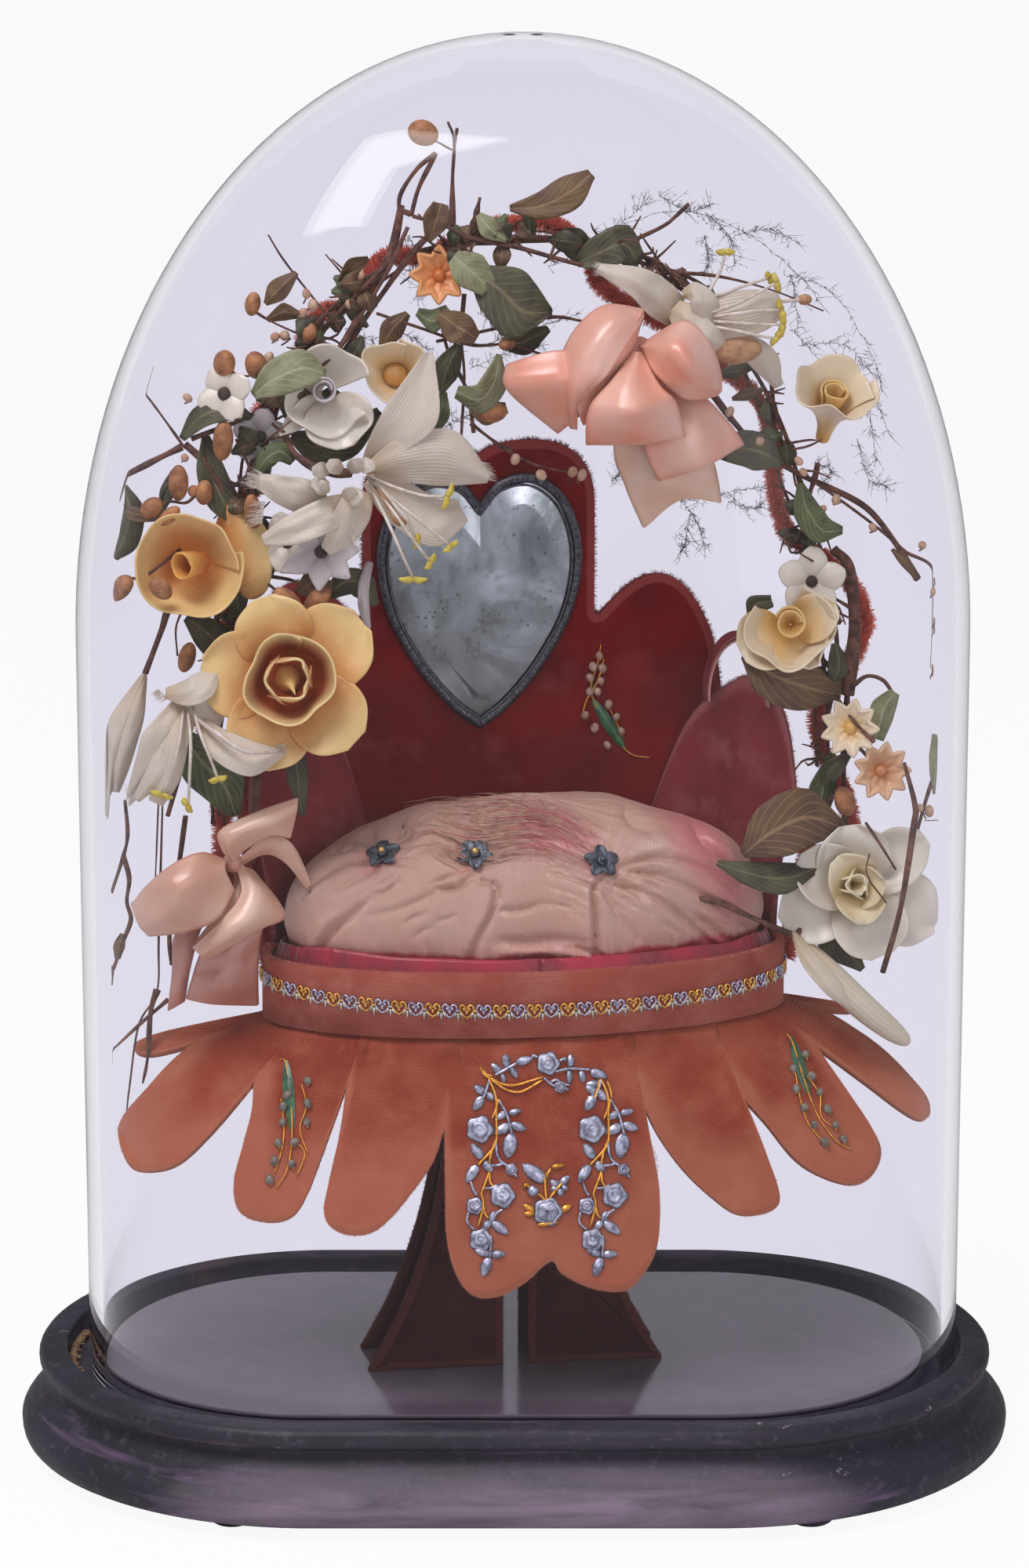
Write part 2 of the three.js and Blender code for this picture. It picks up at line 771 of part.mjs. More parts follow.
function mirrorGlass() {
  const w = mirrorFrameWidth + clearance;
  const back = boardFront - clearance - mirrorGlassThickness / 2;
  return heartPlate(
    mirrorHalfWidth - w,
    mirrorHeight - 3 * w,
    mirrorFoot + 1.8 * w,
    mirrorGlassThickness,
    back - clearance,
  );
}

// Stamped metal ornaments on the velvet

const leafChip = (length, width, thickness) =>
  new THREE.OctahedronGeometry(1).scale(width / 2, length / 2, thickness / 2);

// Bends a flat ornament, drawn across and down, onto the front of the apron.
function onApron(geometry, centreTurn) {
  const rootX = seatHalfWidth - bandWall;
  return warped(geometry, (point) => {
    const turn = centreTurn + point.x / rootX;
    point.copy(apronPoint(turn, -point.y, point.z + 2 * clearance));
  });
}

function garlandSpine(side) {
  const w = garlandOrnamentHalfWidth;
  const l = garlandOrnamentLength;
  return new THREE.CatmullRomCurve3([
    new THREE.Vector3(-side * 0.1 * w, -0.13 * l, 0),
    new THREE.Vector3(side * 0.5 * w, -0.14 * l, 0),
    new THREE.Vector3(side * 0.95 * w, -0.26 * l, 0),
    new THREE.Vector3(side * w, -0.5 * l, 0),
    new THREE.Vector3(side * 0.85 * w, -0.75 * l, 0),
    new THREE.Vector3(side * 0.8 * w, -l, 0),
  ]);
}

function apronGarland() {
  const half = ornamentThickness / 2;
  const leaves = 7;
  const pieces = [];
  for (const side of [-1, 1]) {
    const spine = garlandSpine(side);
    pieces.push(tubeAlong(spine, ornamentWire, 4, 7).translate(0, 0, half));
    for (let i = 0; i < leaves; i++) {
      const share = (i + 0.5) / leaves;
      const place = spine.getPoint(share);
      const heading = spine.getTangent(share);
      const out = i % 2 ? 1 : -1;
      const leaf = leafChip(0.11 * garlandOrnamentLength, 0.055 * garlandOrnamentLength, ornamentThickness);
      leaf.translate(0, 0.045 * garlandOrnamentLength, half);
      leaf.rotateZ(Math.atan2(heading.y, heading.x) - Math.PI / 2 + out * 0.9);
      pieces.push(leaf.translate(place.x, place.y, 0));
    }
    for (const share of [0.02, 0.6]) {
      const place = spine.getPoint(share);
      const radius = (share < 0.5 ? 0.07 : 0.06) * garlandOrnamentLength;
      const rose = new THREE.SphereGeometry(radius, 6, 3).scale(1, 1, 0.4);
      pieces.push(rose.translate(place.x, place.y, half + 0.2 * radius));
    }
  }
  return joined(pieces.map((piece) => onApron(piece, 0)));
}

function apronBouquet() {
  const half = ornamentThickness / 2;
  const span = 0.24 * garlandOrnamentLength;
  const level = -0.76 * garlandOrnamentLength;
  const rose = new THREE.CylinderGeometry(0.3 * span, 0.34 * span, ornamentThickness, 9).rotateX(Math.PI / 2);
  const pieces = [rose.translate(0, level - 0.3 * span, half)];
  for (const [angle, reach] of [[0.5, 0.9], [-0.35, 0.75], [1.2, 0.6], [-1.1, 0.6], [0.05, 1]]) {
    const leaf = leafChip(reach * span, 0.32 * span, ornamentThickness);
    leaf.translate(0, 0.45 * reach * span, half);
    pieces.push(leaf.rotateZ(angle).translate(0, level - 0.25 * span, 0));
  }
  return joined(pieces.map((piece) => onApron(piece, 0)));
}

// A lily-of-the-valley sprig: a long leaf with a row of small bells along each side.
function sprig(length) {
  const half = ornamentThickness / 2;
  const longLeaf = leafChip(0.72 * length, 0.13 * length, ornamentThickness);
  const pieces = [longLeaf.translate(0, 0.12 * length, half)];
  const spine = new THREE.CatmullRomCurve3([
    new THREE.Vector3(0, 0.5 * length, half),
    new THREE.Vector3(0.04 * length, 0, half),
    new THREE.Vector3(0, -0.5 * length, half),
  ]);
  pieces.push(tubeAlong(spine, ornamentWire, 4, 4));
  const bells = 5;
  for (let i = 0; i < bells; i++) {
    const side = i % 2 ? 1 : -1;
    const bell = new THREE.OctahedronGeometry(0.055 * length, 0).scale(1.2, 1, 0.5);
    const level = (0.3 - (0.7 * i) / bells) * length;
    pieces.push(bell.translate(side * 0.06 * length, level, half));
  }
  return pieces;
}

function apronSprig(side) {
  const turn = side * 0.62 * Math.PI / 2;
  const lean = side * 0.12;
  const pieces = sprig(sprigLength).map((piece) => {
    piece.rotateZ(lean).translate(0, -0.72 * sprigLength, 0);
    return onApron(piece, turn);
  });
  return joined(pieces);
}

function boardSprig() {
  const pieces = sprig(sprigLength).map((piece) => {
    const turned = upright(piece.rotateZ(0.35));
    return turned.translate(
      boardShift + boardPanelHalfWidth + 0.2 * boardLobeReach,
      boardFront - clearance,
      seatBottom + 0.74 * boardLobeHeight,
    );
  });
  return joined(pieces);
}

// Garland: the chenille arch, the branches bound to its front, and what their stems carry

const bandSideX = seatHalfWidth * Math.sqrt(1 - Math.pow(archPlane / seatHalfDepth, 2));
const archFootX = bandSideX + archRadius * Math.cos(Math.PI / archSides) + clearance;

// A point on the arch's middle line, from the left foot at 0 to the right foot at 1
function archPoint(share, plane = archPlane) {
  const turn = Math.PI * (1 - share);
  const squareness = 0.75;
  const rise = Math.pow(Math.sin(turn), squareness);
  const pinch = (1 - archFootX / archHalfWidth) * Math.pow(1 - rise, 4);
  const x = archHalfWidth * Math.sign(Math.cos(turn)) * Math.pow(Math.abs(Math.cos(turn)), squareness);
  return new THREE.Vector3(x * (1 - pinch), plane, seatBottom + clearance + archHeight * rise);
}

function chenilleArch() {
  const steps = 54;
  const waves = 13;
  const points = [];
  for (let i = 0; i <= steps; i++) {
    const share = i / steps;
    const fade = Math.min(1, 12 * Math.min(share, 1 - share));
    const wave = archWave * fade * Math.sin(2 * Math.PI * waves * share);
    const point = archPoint(share);
    const upwards = share > 0.3 && share < 0.7 ? 1 : 0;
    const outward = new THREE.Vector3(point.x / archHalfWidth, 0, upwards).normalize();
    points.push(point.addScaledVector(outward, wave));
  }
  return solidOf(tube(points, archRadius, archSides, steps));
}

// A place in the garland from its shares: sideways, in depth and in height above the seat
const garlandPlace = ([sx, sy, sz]) =>
  new THREE.Vector3(sx * garlandHalfWidth, sy * garlandHalfDepth, seatBottom + sz * garlandHeight);

const leafLengthShare = 0.11;

// A leaf from its root along a direction, its face turned mostly to the front
function leaf(root, direction, length) {
  const along = direction.clone().normalize();
  const across = along.clone().cross(new THREE.Vector3(0, -1, 0)).normalize();
  const face = across.clone().cross(along);
  return sheet(
    (u, v) => {
      const half = length * 0.3 * Math.pow(Math.sin(Math.PI * (0.08 + 0.86 * v)), 0.8);
      const side = 2 * u - 1;
      return root
        .clone()
        .addScaledVector(along, length * v)
        .addScaledVector(across, half * side)
        .addScaledVector(face, -0.12 * length * v * v);
    },
    1,
    2,
    leafThickness,
  );
}

function bud(place, direction, radius, length) {
  const ball = new THREE.SphereGeometry(radius, 5, 3).rotateX(Math.PI / 2);
  return aimed(ball.scale(1, 1, length / (2 * radius)), place, direction);
}

// Rows of a branch: where the twig leaves the stem, the place of its end, and what it ends in
function twigs(stem, rows) {
  return rows.flatMap(([share, to, end, size]) => {
    const root = stem.getPoint(share);
    const tip = garlandPlace(to);
    const middle = root.clone().lerp(tip, 0.5);
    middle.y = THREE.MathUtils.lerp(root.y, tip.y, 0.12);
    middle.z += 0.05 * root.distanceTo(tip);
    const heading = tip.clone().sub(middle);
    const pieces = [tube([root, middle, tip], twigRadius, 3, 2)];
    if (end === "leaf") pieces.push(leaf(tip.clone().lerp(middle, 0.04), heading, size));
    if (end === "bud") pieces.push(bud(tip, heading, 0.32 * size, size));
    return pieces;
  });
}

function stemAlongArch(from, to) {
  const steps = 8;
  const points = Array.from({ length: steps + 1 }, (_, i) =>
    archPoint(THREE.MathUtils.lerp(from, to, i / steps), stemPlane),
  );
  return new THREE.CatmullRomCurve3(points);
}

const stems = {
  left: stemAlongArch(0.05, 0.4),
  top: stemAlongArch(0.43, 0.66),
  right: stemAlongArch(0.935, 0.69),
};

const budSize = 13;
const leafSize = leafLengthShare * garlandHeight;

const branchRows = {
  left: [
    [0.06, [-0.97, 0.42, 0.11], "none", 0],
    [0.02, [-0.9, 0.3, 0.0], "none", 0],
    [0.09, [-1.0, 0.44, -0.06], "none", 0],
    [0.5, [-0.93, 0.3, 0.49], "bud", budSize],
    [0.56, [-0.86, 0.16, 0.53], "bud", budSize],
    [0.64, [-0.9, 0.3, 0.59], "bud", budSize],
    [0.7, [-0.82, 0.2, 0.63], "bud", budSize],
    [0.76, [-0.96, 0.44, 0.64], "none", 0],
    [0.36, [-0.64, -0.04, 0.37], "leaf", leafSize],
    [0.22, [-0.6, 0.0, 0.29], "leaf", leafSize],
    [0.9, [-0.5, 0.0, 0.8], "leaf", leafSize],
    [0.97, [-0.56, 0.02, 0.83], "bud", budSize],
  ],
  top: [
    [0.06, [-0.23, 0.02, 0.985], "bud", budSize],
    [0.02, [-0.34, 0.02, 0.8], "leaf", leafSize],
    [0.22, [-0.13, -0.06, 0.74], "leaf", leafSize],
    [0.4, [0.05, 0.0, 0.93], "leaf", leafSize],
    [0.46, [0.04, -0.04, 0.79], "leaf", leafSize],
    [0.66, [0.22, 0.0, 0.9], "leaf", leafSize],
    [0.9, [0.62, -0.02, 0.82], "none", 0],
  ],
  right: [
    [0.96, [0.5, -0.13, 0.64], "leaf", leafSize],
    [0.84, [0.6, -0.08, 0.56], "leaf", leafSize],
    [0.9, [0.9, -0.16, 0.56], "none", 0],
    [0.7, [1.0, -0.14, 0.42], "none", 0],
    [0.44, [0.62, -0.22, 0.36], "leaf", leafSize],
    [0.24, [0.96, -0.18, 0.3], "bud", budSize],
    [0.2, [0.93, -0.26, 0.2], "leaf", leafSize],
    [0.14, [0.62, -0.3, 0.2], "leaf", leafSize],
  ],
};

function branch(name) {
  const stem = tubeAlong(stems[name], stemRadius, 5, 9);
  return joined([stem, ...twigs(stems[name], branchRows[name])]);
}

// Flowers, each built facing +Z at the origin

// A rosette: a revolved disc cut into petals, bent up from its root angle to its tip angle.
// The notch and the shoulder are the radius between two petals and half way to a petal's tip, as shares.
function rosette(count, length, { notch, shoulder, rootAngle, tipAngle, turn = 0, eye = 0, eyeRise = 0 }) {
  const steps = shoulder ? 4 : 2;
  const thick = petalThickness / 2;
  const profile = [
    [0, -thick],
    [0.5 * length, -thick],
    [length, -thick / 2],
    [length, thick / 2],
    [0.5 * length, thick],
  ];
  if (eye) profile.push([eye, thick]);
  profile.push([0, thick + eyeRise]);
  const points = profile.map(([r, z]) => new THREE.Vector2(r, z));
  const bend = tipAngle - rootAngle || probeShare;
  const disc = new THREE.LatheGeometry(points, steps * count, Math.PI / 2);
  return warped(upright(disc), (point) => {
    const radius = Math.hypot(point.x, point.y);
    if (radius <= eye + weldDistance) return;
    const angle = Math.atan2(point.y, point.x);
    const place = Math.abs((((angle * count) / (2 * Math.PI) + count + 0.5) % 1) - 0.5) * 2;
    const side = shoulder && place < 0.5 ? THREE.MathUtils.lerp(1, shoulder, 2 * place) : 0;
    const lobe = side || THREE.MathUtils.lerp(shoulder || 1, notch, shoulder ? 2 * place - 1 : place);
    const along = (radius / length) * THREE.MathUtils.lerp(1, lobe, radius / length);
    const slope = rootAngle + bend * along;
    const out = (length * (Math.sin(slope) - Math.sin(rootAngle))) / bend;
    const rise = (length * (Math.cos(rootAngle) - Math.cos(slope))) / bend;
    const heading = angle + turn;
    point.set(out * Math.cos(heading), out * Math.sin(heading), point.z + rise);
  });
}

// An open flower with a cup of upright petals and a pistil
const magnolia = (span) => [
  rosette(6, 0.52 * span, { notch: 0.74, shoulder: 0.95, rootAngle: 0, tipAngle: 0.6 }),
  rosette(5, 0.32 * span, { notch: 0.7, rootAngle: 0.5, tipAngle: 1.7, turn: 0.4 }),
  new THREE.SphereGeometry(0.07 * span, 6, 4).scale(1, 1, 1.8).translate(0, 0, 0.09 * span),
];

// A trumpet with one long lip and a rod standing in its throat
function calla(span) {
  const outline = [
    [0, 0],
    [0.07, 0],
    [0.14, 0.18],
    [0.42, 0.4],
    [0.4, 0.44],
    [0.11, 0.24],
    [0, 0.16],
  ].map(([r, z]) => new THREE.Vector2(r * span, z * span));
  const trumpet = warped(upright(new THREE.LatheGeometry(outline, 10)), (point) => {
    const lip = Math.hypot(point.x, point.y) / (0.42 * span);
    const towards = Math.max(0, point.y / (0.42 * span));
    point.y += 0.3 * span * Math.pow(lip, 3) * towards * towards;
    point.z += 0.16 * span * Math.pow(lip, 3) * (point.y < 0 ? -0.6 : 0.4);
  });
  const rod = upright(new THREE.CylinderGeometry(0.02 * span, 0.045 * span, 0.34 * span, 5));
  return [trumpet, rod.translate(0, 0, 0.28 * span)];
}

// A flat flower of short round petals about a button
const blossom = (count, span, tipAngle = 0.35) => [
  rosette(count, 0.5 * span, {
    notch: 0.6,
    shoulder: 0.93,
    rootAngle: 0,
    tipAngle,
    eye: 0.15 * span,
    eyeRise: 0.1 * span,
  }),
];

// A flat star of pointed petals
const star = (count, span) => [
  rosette(count, 0.5 * span, {
    notch: 0.5,
    rootAngle: 0,
    tipAngle: 0.4,
    eye: 0.15 * span,
    eyeRise: 0.12 * span,
  }),
];

// A rose: two rings of petals round a tight heart
const rose = (span) => [
  rosette(5, 0.5 * span, { notch: 0.75, shoulder: 0.95, rootAngle: 0.1, tipAngle: 0.9 }),
  rosette(5, 0.36 * span, { notch: 0.8, rootAngle: 0.5, tipAngle: 1.5, turn: 0.5 }),
  new THREE.SphereGeometry(0.14 * span, 5, 3).scale(1, 1, 1.2).translate(0, 0, 0.12 * span),
];

// A lily: long pointed petals that open from a throat, and stamens that reach out of it
function lily(span, rootAngle, tipAngle) {
  const stamens = [0, 1].map((i) => {
    const turn = Math.PI * i + 0.4;
    const reach = 0.17 * span;
    const root = new THREE.Vector3(0, 0, 0);
    const tip = new THREE.Vector3(reach * Math.cos(turn), reach * Math.sin(turn), 0.34 * span);
    return tube([root, root.clone().lerp(tip, 0.5), tip], 0.5 * twigRadius + clearance, 3, 2);
  });
  const star = rosette(6, 0.56 * span, { notch: 0.3, shoulder: 0.62, rootAngle, tipAngle });
  return [star, ...stamens];
}

// A long closed bud on its own
const longBud = (length, radius) => [
  warped(new THREE.SphereGeometry(radius, 6, 6).rotateX(Math.PI / 2), (point) => {
    const share = point.z / radius;
    const slim = 1 - 0.45 * share;
    point.set(point.x * slim, point.y * slim, 0.5 * length * share);
  }),
];

// A bow: loops and tails of ribbon from one knot. Rows: angle, length, width, and true for a loop
function bow(size, rows) {
  const ribbons = rows.map(([angle, lengthShare, widthShare, looped], layer) => {
    const length = lengthShare * size;
    const width = widthShare * size;
    const strip = sheet(
      (u, v) => {
        const out = looped ? Math.sin(Math.PI * u) : u;
        const rise = length * (looped ? 0.15 * Math.sin(2 * Math.PI * u) : 0.14 * u);
        const half = width * (0.2 + 0.8 * Math.min(1, 1.6 * out));
        const lift = (layer - 1) * (ribbonThickness + clearance) * Math.min(1, 3 * out);
        return new THREE.Vector3(length * out + 0.04 * size, half * (v - 0.5), rise + lift + 0.06 * size);
      },
      looped ? 7 : 3,
      1,
      ribbonThickness,
    );
    return strip.rotateZ(angle);
  });
  const knot = new THREE.SphereGeometry(0.13 * size, 6, 4).scale(1, 1.1, 0.8).translate(0, 0, 0.05 * size);
  return [...ribbons, knot];
}

// Every flower: its pieces, its place and the way it faces as shares, and the stem it is wired to
const front = [0, -1, 0.1];
const flowerRows = {
  yellow_magnolia: [magnolia(59), [-0.6, -0.36, 0.415], [-0.05, -1, 0.12], "left", yellowWax],
  yellow_calla: [calla(40), [-0.8, -0.1, 0.525], [-0.05, -1, 0.2], "left", yellowWax],
  white_rose: [rose(36), [-0.48, -0.14, 0.72], [0.1, -1, 0.2], "left", whiteWax],
  small_calla: [calla(25), [-0.31, -0.05, 0.735], [0.1, -1, 0.3], "left", creamWax],
  satin_lily: [lily(62, 0.7, 0.2), [-0.33, -0.24, 0.64], [0.15, -1, -0.1], "left", silk],
  pale_blossoms: [blossom(5, 26), [-0.56, -0.2, 0.585], front, "left", whiteWax],
  star_flower: [blossom(5, 22), [-0.46, -0.42, 0.535], front, "left", whiteWax],
  round_blossom: [blossom(5, 30, 0.6), [-0.74, -0.06, 0.705], [-0.2, -1, 0.3], "left", whiteWax],
  orange_star: [star(7, 22), [-0.2, -0.04, 0.84], [0, -1, 0.3], "top", orangeWax],
  low_lily: [lily(48, 0.8, 0.2), [-0.8, -0.16, 0.335], [-0.1, -1, -0.5], "left", silk],
  left_long_bud: [longBud(50, 6.5), [-0.97, 0.2, 0.3], [-0.3, -0.05, -1], "left", silk],
  top_lily: [lily(56, 0.7, 0.1), [0.43, -0.04, 0.785], [0.5, -1, 0.6], "top", silk],
  right_calla: [calla(29), [0.72, -0.2, 0.675], [0.1, -1, 0.3], "right", creamWax],
  five_petal_flower: [blossom(5, 24), [0.69, -0.26, 0.505], front, "right", whiteWax],
  cream_calla: [calla(30), [0.58, -0.46, 0.43], [-0.1, -1, 0.2], "right", creamWax],
  cream_star: [star(7, 20), [0.77, -0.54, 0.35], front, "right", creamWax],
  tan_star: [star(7, 20), [0.85, -0.4, 0.285], [0.2, -1, 0], "right", orangeWax],
  big_white_rose: [rose(44), [0.76, -0.64, 0.165], [0.15, -1, 0.1], "right", whiteWax],
  right_long_bud: [longBud(54, 6.5), [0.83, -0.48, 0.02], [0.75, 0.12, -0.75], "right", silk],
};

const bowRows = {
  lower_bow: {
    size: 38,
    rows: [
      [3.4, 0.95, 0.7, true],
      [0.85, 0.85, 0.65, true],
      [-0.85, 0.7, 0.65, true],
      [-1.85, 1.25, 0.7, false],
    ],
    place: [-0.7, -0.24, 0.19],
    facing: [-0.1, -1, 0.1],
    stem: "left",
  },
  upper_bow: {
    size: 46,
    rows: [
      [3.25, 0.9, 0.6, true],
      [1.9, 0.65, 0.6, true],
      [0.5, 0.75, 0.6, true],
      [-0.55, 0.95, 0.6, true],
      [-1.35, 1.2, 0.7, false],
    ],
    place: [0.28, -0.46, 0.735],
    facing: [0.05, -1, 0.15],
    stem: "top",
  },
};

function nearestPoint(curve, place) {
  const points = curve.getPoints(48);
  return points.reduce((best, point) => (point.distanceTo(place) < best.distanceTo(place) ? point : best));
}

// A flower set in its place, with its wire stalk back to just clear of the stem
function mounted(pieces, placeShares, facingShares, stemName) {
  const place = garlandPlace(placeShares);
  const facing = new THREE.Vector3(...facingShares).normalize();
  const anchor = nearestPoint(stems[stemName], place);
  const reach = anchor.clone().sub(place);
  const stop = stemRadius + clearance / 2;
  const end = anchor.clone().addScaledVector(reach.clone().normalize(), -stop);
  const middle = place.clone().addScaledVector(facing, -0.3 * reach.length()).lerp(end, 0.35);
  const stalk = tube([place.clone().addScaledVector(facing, stalkRadius), middle, end], stalkRadius, 4, 3);
  return joined([...pieces.map((piece) => aimed(piece, place, facing)), stalk]);
}

// Assembly

const globe = new THREE.Group();
const base = new THREE.Group();
const arrangement = new THREE.Group();
const dome = new THREE.Group();
arrangement.position.set(seatSideways, -seatForward, 0);
arrangement.rotation.z = standTurn;
dome.position.x = domeShift;
globe.add(base, arrangement, dome);

function put(group, name, solid, material) {
  const mesh = new THREE.Mesh(geometryOf(solid), material);
  mesh.name = name;
  group.add(mesh);
  return mesh;
}

put(base, "plinth", plinth(), ebonised);
put(base, "floor_panel", floorPanel(), blackGloss);
put(base, "groove_seal", grooveSeal(), feltStrip);
const footNames = ["foot_front_left", "foot_front_right", "foot_back_left", "foot_back_right"];
footPlaces().forEach((place, i) => {
  put(base, footNames[i], bunFoot(), ebonised).position.set(place.x, place.y, 0);
});
put(dome, "glass_dome", glassDome(), glass);

// What is seated later is cut clear of what is there already, and keeps its largest body.
const seated = [];

function seatPiece(name, solid, material) {
  const cut = seated
    .filter((other) => boxesMeet(solid, other) && solid.intersect(grown(other, clearance / 2)).volume() > 0)
    .reduce((left, other) => left.subtract(grown(other, clearance)), solid);
  const piece = largestBody(cut);
  seated.push(piece);
  put(arrangement, name, piece, material);
}

seatPiece("leg_front_left", leg(-1, -1), brownVelvet);
seatPiece("leg_front_right", leg(1, -1), brownVelvet);
seatPiece("leg_back_left", leg(-1, 1), brownVelvet);
seatPiece("leg_back_right", leg(1, 1), brownVelvet);
seatPiece("seat_board", seatBoard(), card);
seatPiece("apron", apron(), rustVelvet);
seatPiece("gallery_band", galleryBand(), rustVelvet);
seatPiece("band_trim", bandTrim(), gilt);
seatPiece("cushion", cushion(), satin);
seatPiece("cushion_hem", cushionHem(), crimsonSilk);
const tuftNames = ["tuft_flower_left", "tuft_flower_middle", "tuft_flower_right"];
tuftShares.forEach((shares, i) => seatPiece(tuftNames[i], tuftFlower(shares), pewter));
seatPiece("backboard", backboard(), wineVelvet);
seatPiece("mirror_frame", mirrorFrame(), pewter);
seatPiece("mirror_glass", mirrorGlass(), mirrorSilver);
seatPiece("left_wing", wing(-1, false), rustVelvet);
seatPiece("right_wing", wing(1, true), wineVelvet);
seatPiece("apron_garland", apronGarland(), silver);
seatPiece("apron_bouquet", apronBouquet(), silver);
seatPiece("apron_sprig_left", apronSprig(-1), enamelGreen);
seatPiece("apron_sprig_right", apronSprig(1), enamelGreen);
seatPiece("backboard_sprig", boardSprig(), enamelGreen);
seatPiece("chenille_arch", chenilleArch(), chenille);

for (const [name, [pieces, place, facing, stem, material]] of Object.entries(flowerRows)) {
  seatPiece(name, mounted(pieces, place, facing, stem), material);
}
for (const [name, { size, rows, place, facing, stem }] of Object.entries(bowRows)) {
  seatPiece(name, mounted(bow(size, rows), place, facing, stem), peachSatin);
}
seatPiece("branch_left", branch("left"), bark);
seatPiece("branch_top", branch("top"), leafGreen);
seatPiece("branch_right", branch("right"), bark);

export default globe;
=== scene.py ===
"""Bridal globe: a velvet seat with a satin cushion and a wired garland, under an oval glass dome."""

import math
import random

import bmesh
import bpy
from bpy.props import FloatProperty, FloatVectorProperty, IntProperty, PointerProperty
from mathutils import Matrix, Vector, noise


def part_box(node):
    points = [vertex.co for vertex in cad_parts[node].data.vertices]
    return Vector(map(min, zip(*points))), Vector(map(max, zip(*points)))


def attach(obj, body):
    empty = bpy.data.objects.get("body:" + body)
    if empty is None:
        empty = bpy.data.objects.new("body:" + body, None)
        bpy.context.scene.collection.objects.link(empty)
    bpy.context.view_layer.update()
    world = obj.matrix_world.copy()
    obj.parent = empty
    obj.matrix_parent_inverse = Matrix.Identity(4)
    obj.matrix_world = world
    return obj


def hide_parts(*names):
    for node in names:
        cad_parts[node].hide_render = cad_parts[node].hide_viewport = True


bl_info = {
    "name": "Bridal globe",
    "version": (1, 0, 0),
    "blender": (4, 5, 0),
    "location": "View3D > Sidebar > Bridal globe",
    "description": "Builds the velvet seat, the garland, the dome and the plinth of a bridal globe",
    "category": "Add Mesh",
}

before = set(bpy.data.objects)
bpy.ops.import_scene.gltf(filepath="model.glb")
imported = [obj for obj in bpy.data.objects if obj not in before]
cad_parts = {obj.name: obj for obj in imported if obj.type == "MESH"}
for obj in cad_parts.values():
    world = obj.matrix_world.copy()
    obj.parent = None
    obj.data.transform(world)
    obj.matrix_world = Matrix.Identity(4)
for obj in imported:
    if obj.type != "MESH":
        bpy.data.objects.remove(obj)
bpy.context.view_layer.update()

# ---- Places shared with the frame, in millimetres. The stand's own frame is turned a little on the panel ----

TO_METRES = Matrix.Scale(0.001, 4)
STAND_IN_WORLD = Matrix.Translation((3.7, -11.9, 0)) @ Matrix.Rotation(math.radians(8), 4, "Z")
WORLD_IN_STAND = STAND_IN_WORLD.inverted()
STAND = TO_METRES @ STAND_IN_WORLD
CLEARANCE = 0.3


def mm(name, axis, high):
    """One side of a frame node's box, in millimetres."""
    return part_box(name)[high][axis] * 1000


SEAT_X, SEAT_Y = 91.0, 42.0
WALL = 3.0
PLINTH_TOP = mm("plinth", 2, 1)
PANEL_TOP = mm("floor_panel", 2, 1)
SEAT_BOTTOM = mm("seat_board", 2, 0)
APRON_TOP = SEAT_BOTTOM - CLEARANCE
BAND_TOP = mm("gallery_band", 2, 1)
CUSHION_BOTTOM = mm("cushion", 2, 0)
CUSHION_X, CUSHION_Y = 83.0, 34.0
BOARD_FRONT = SEAT_Y + CLEARANCE
BOARD_SHIFT = -10.0
DOME_RADIUS = 1000 * (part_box("glass_dome")[1].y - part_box("glass_dome")[0].y) / 2
DOME_FOOT, DOME_APEX = mm("glass_dome", 2, 0), mm("glass_dome", 2, 1)
# How high the round top of the dome is.
DOME_ARCHED = 203
DOME_SHIFT = 1000 * (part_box("glass_dome")[1].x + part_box("glass_dome")[0].x) / 2
HALF_STRAIGHT = 1000 * (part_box("glass_dome")[1].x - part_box("glass_dome")[0].x) / 2 - DOME_RADIUS
PLINTH_RADIUS = mm("plinth", 1, 1)
PANEL_RADIUS = DOME_RADIUS - 2.5 - 5.5
# How near the garland may come to the glass.
GLASS_GAP = 2.2
# How many steps go round a turned piece and along the apron.
ROUND_STEPS, APRON_STEPS = 96, 600
# The cushion's side, and how far its top rises over it.
CUSHION_RIM, CUSHION_CROWN = 27, 42
# The scale of the photograph at the stand.
PIXELS_PER_MM = 3.7
ARCH_HALF_WIDTH, ARCH_HEIGHT = 112, 263

# The camera that matches the photograph. Its sensor is a third as high as its lens is long.
CAMERA_PLACE = Vector((0.14, -1581.34, 584.57))
CAMERA_TILT = math.radians(77.58)
PHOTO_WIDTH, PHOTO_HEIGHT = 1312, 2000
LENS, SENSOR = 108.0, 36


def seen_at(px, py, depth):
    """The point at a pixel of the photograph on the upright plane y = depth, in millimetres."""
    across, up = (px - PHOTO_WIDTH / 2) / PHOTO_HEIGHT / 3, (PHOTO_HEIGHT / 2 - py) / PHOTO_HEIGHT / 3
    sine, cosine = math.sin(CAMERA_TILT), math.cos(CAMERA_TILT)
    ray = Vector((across, up * cosine + sine, up * sine - cosine))
    return CAMERA_PLACE + ray * ((depth - CAMERA_PLACE.y) / ray.y)


def pixel_of(point):
    """Where a point, in millimetres, shows in the photograph."""
    away = point - CAMERA_PLACE
    sine, cosine = math.sin(CAMERA_TILT), math.cos(CAMERA_TILT)
    up, near = away.y * cosine + away.z * sine, away.y * sine - away.z * cosine
    scale = 3 * PHOTO_HEIGHT / near
    return PHOTO_WIDTH / 2 + away.x * scale, PHOTO_HEIGHT / 2 - up * scale


# ---- Sizes and colours that a user would change ----

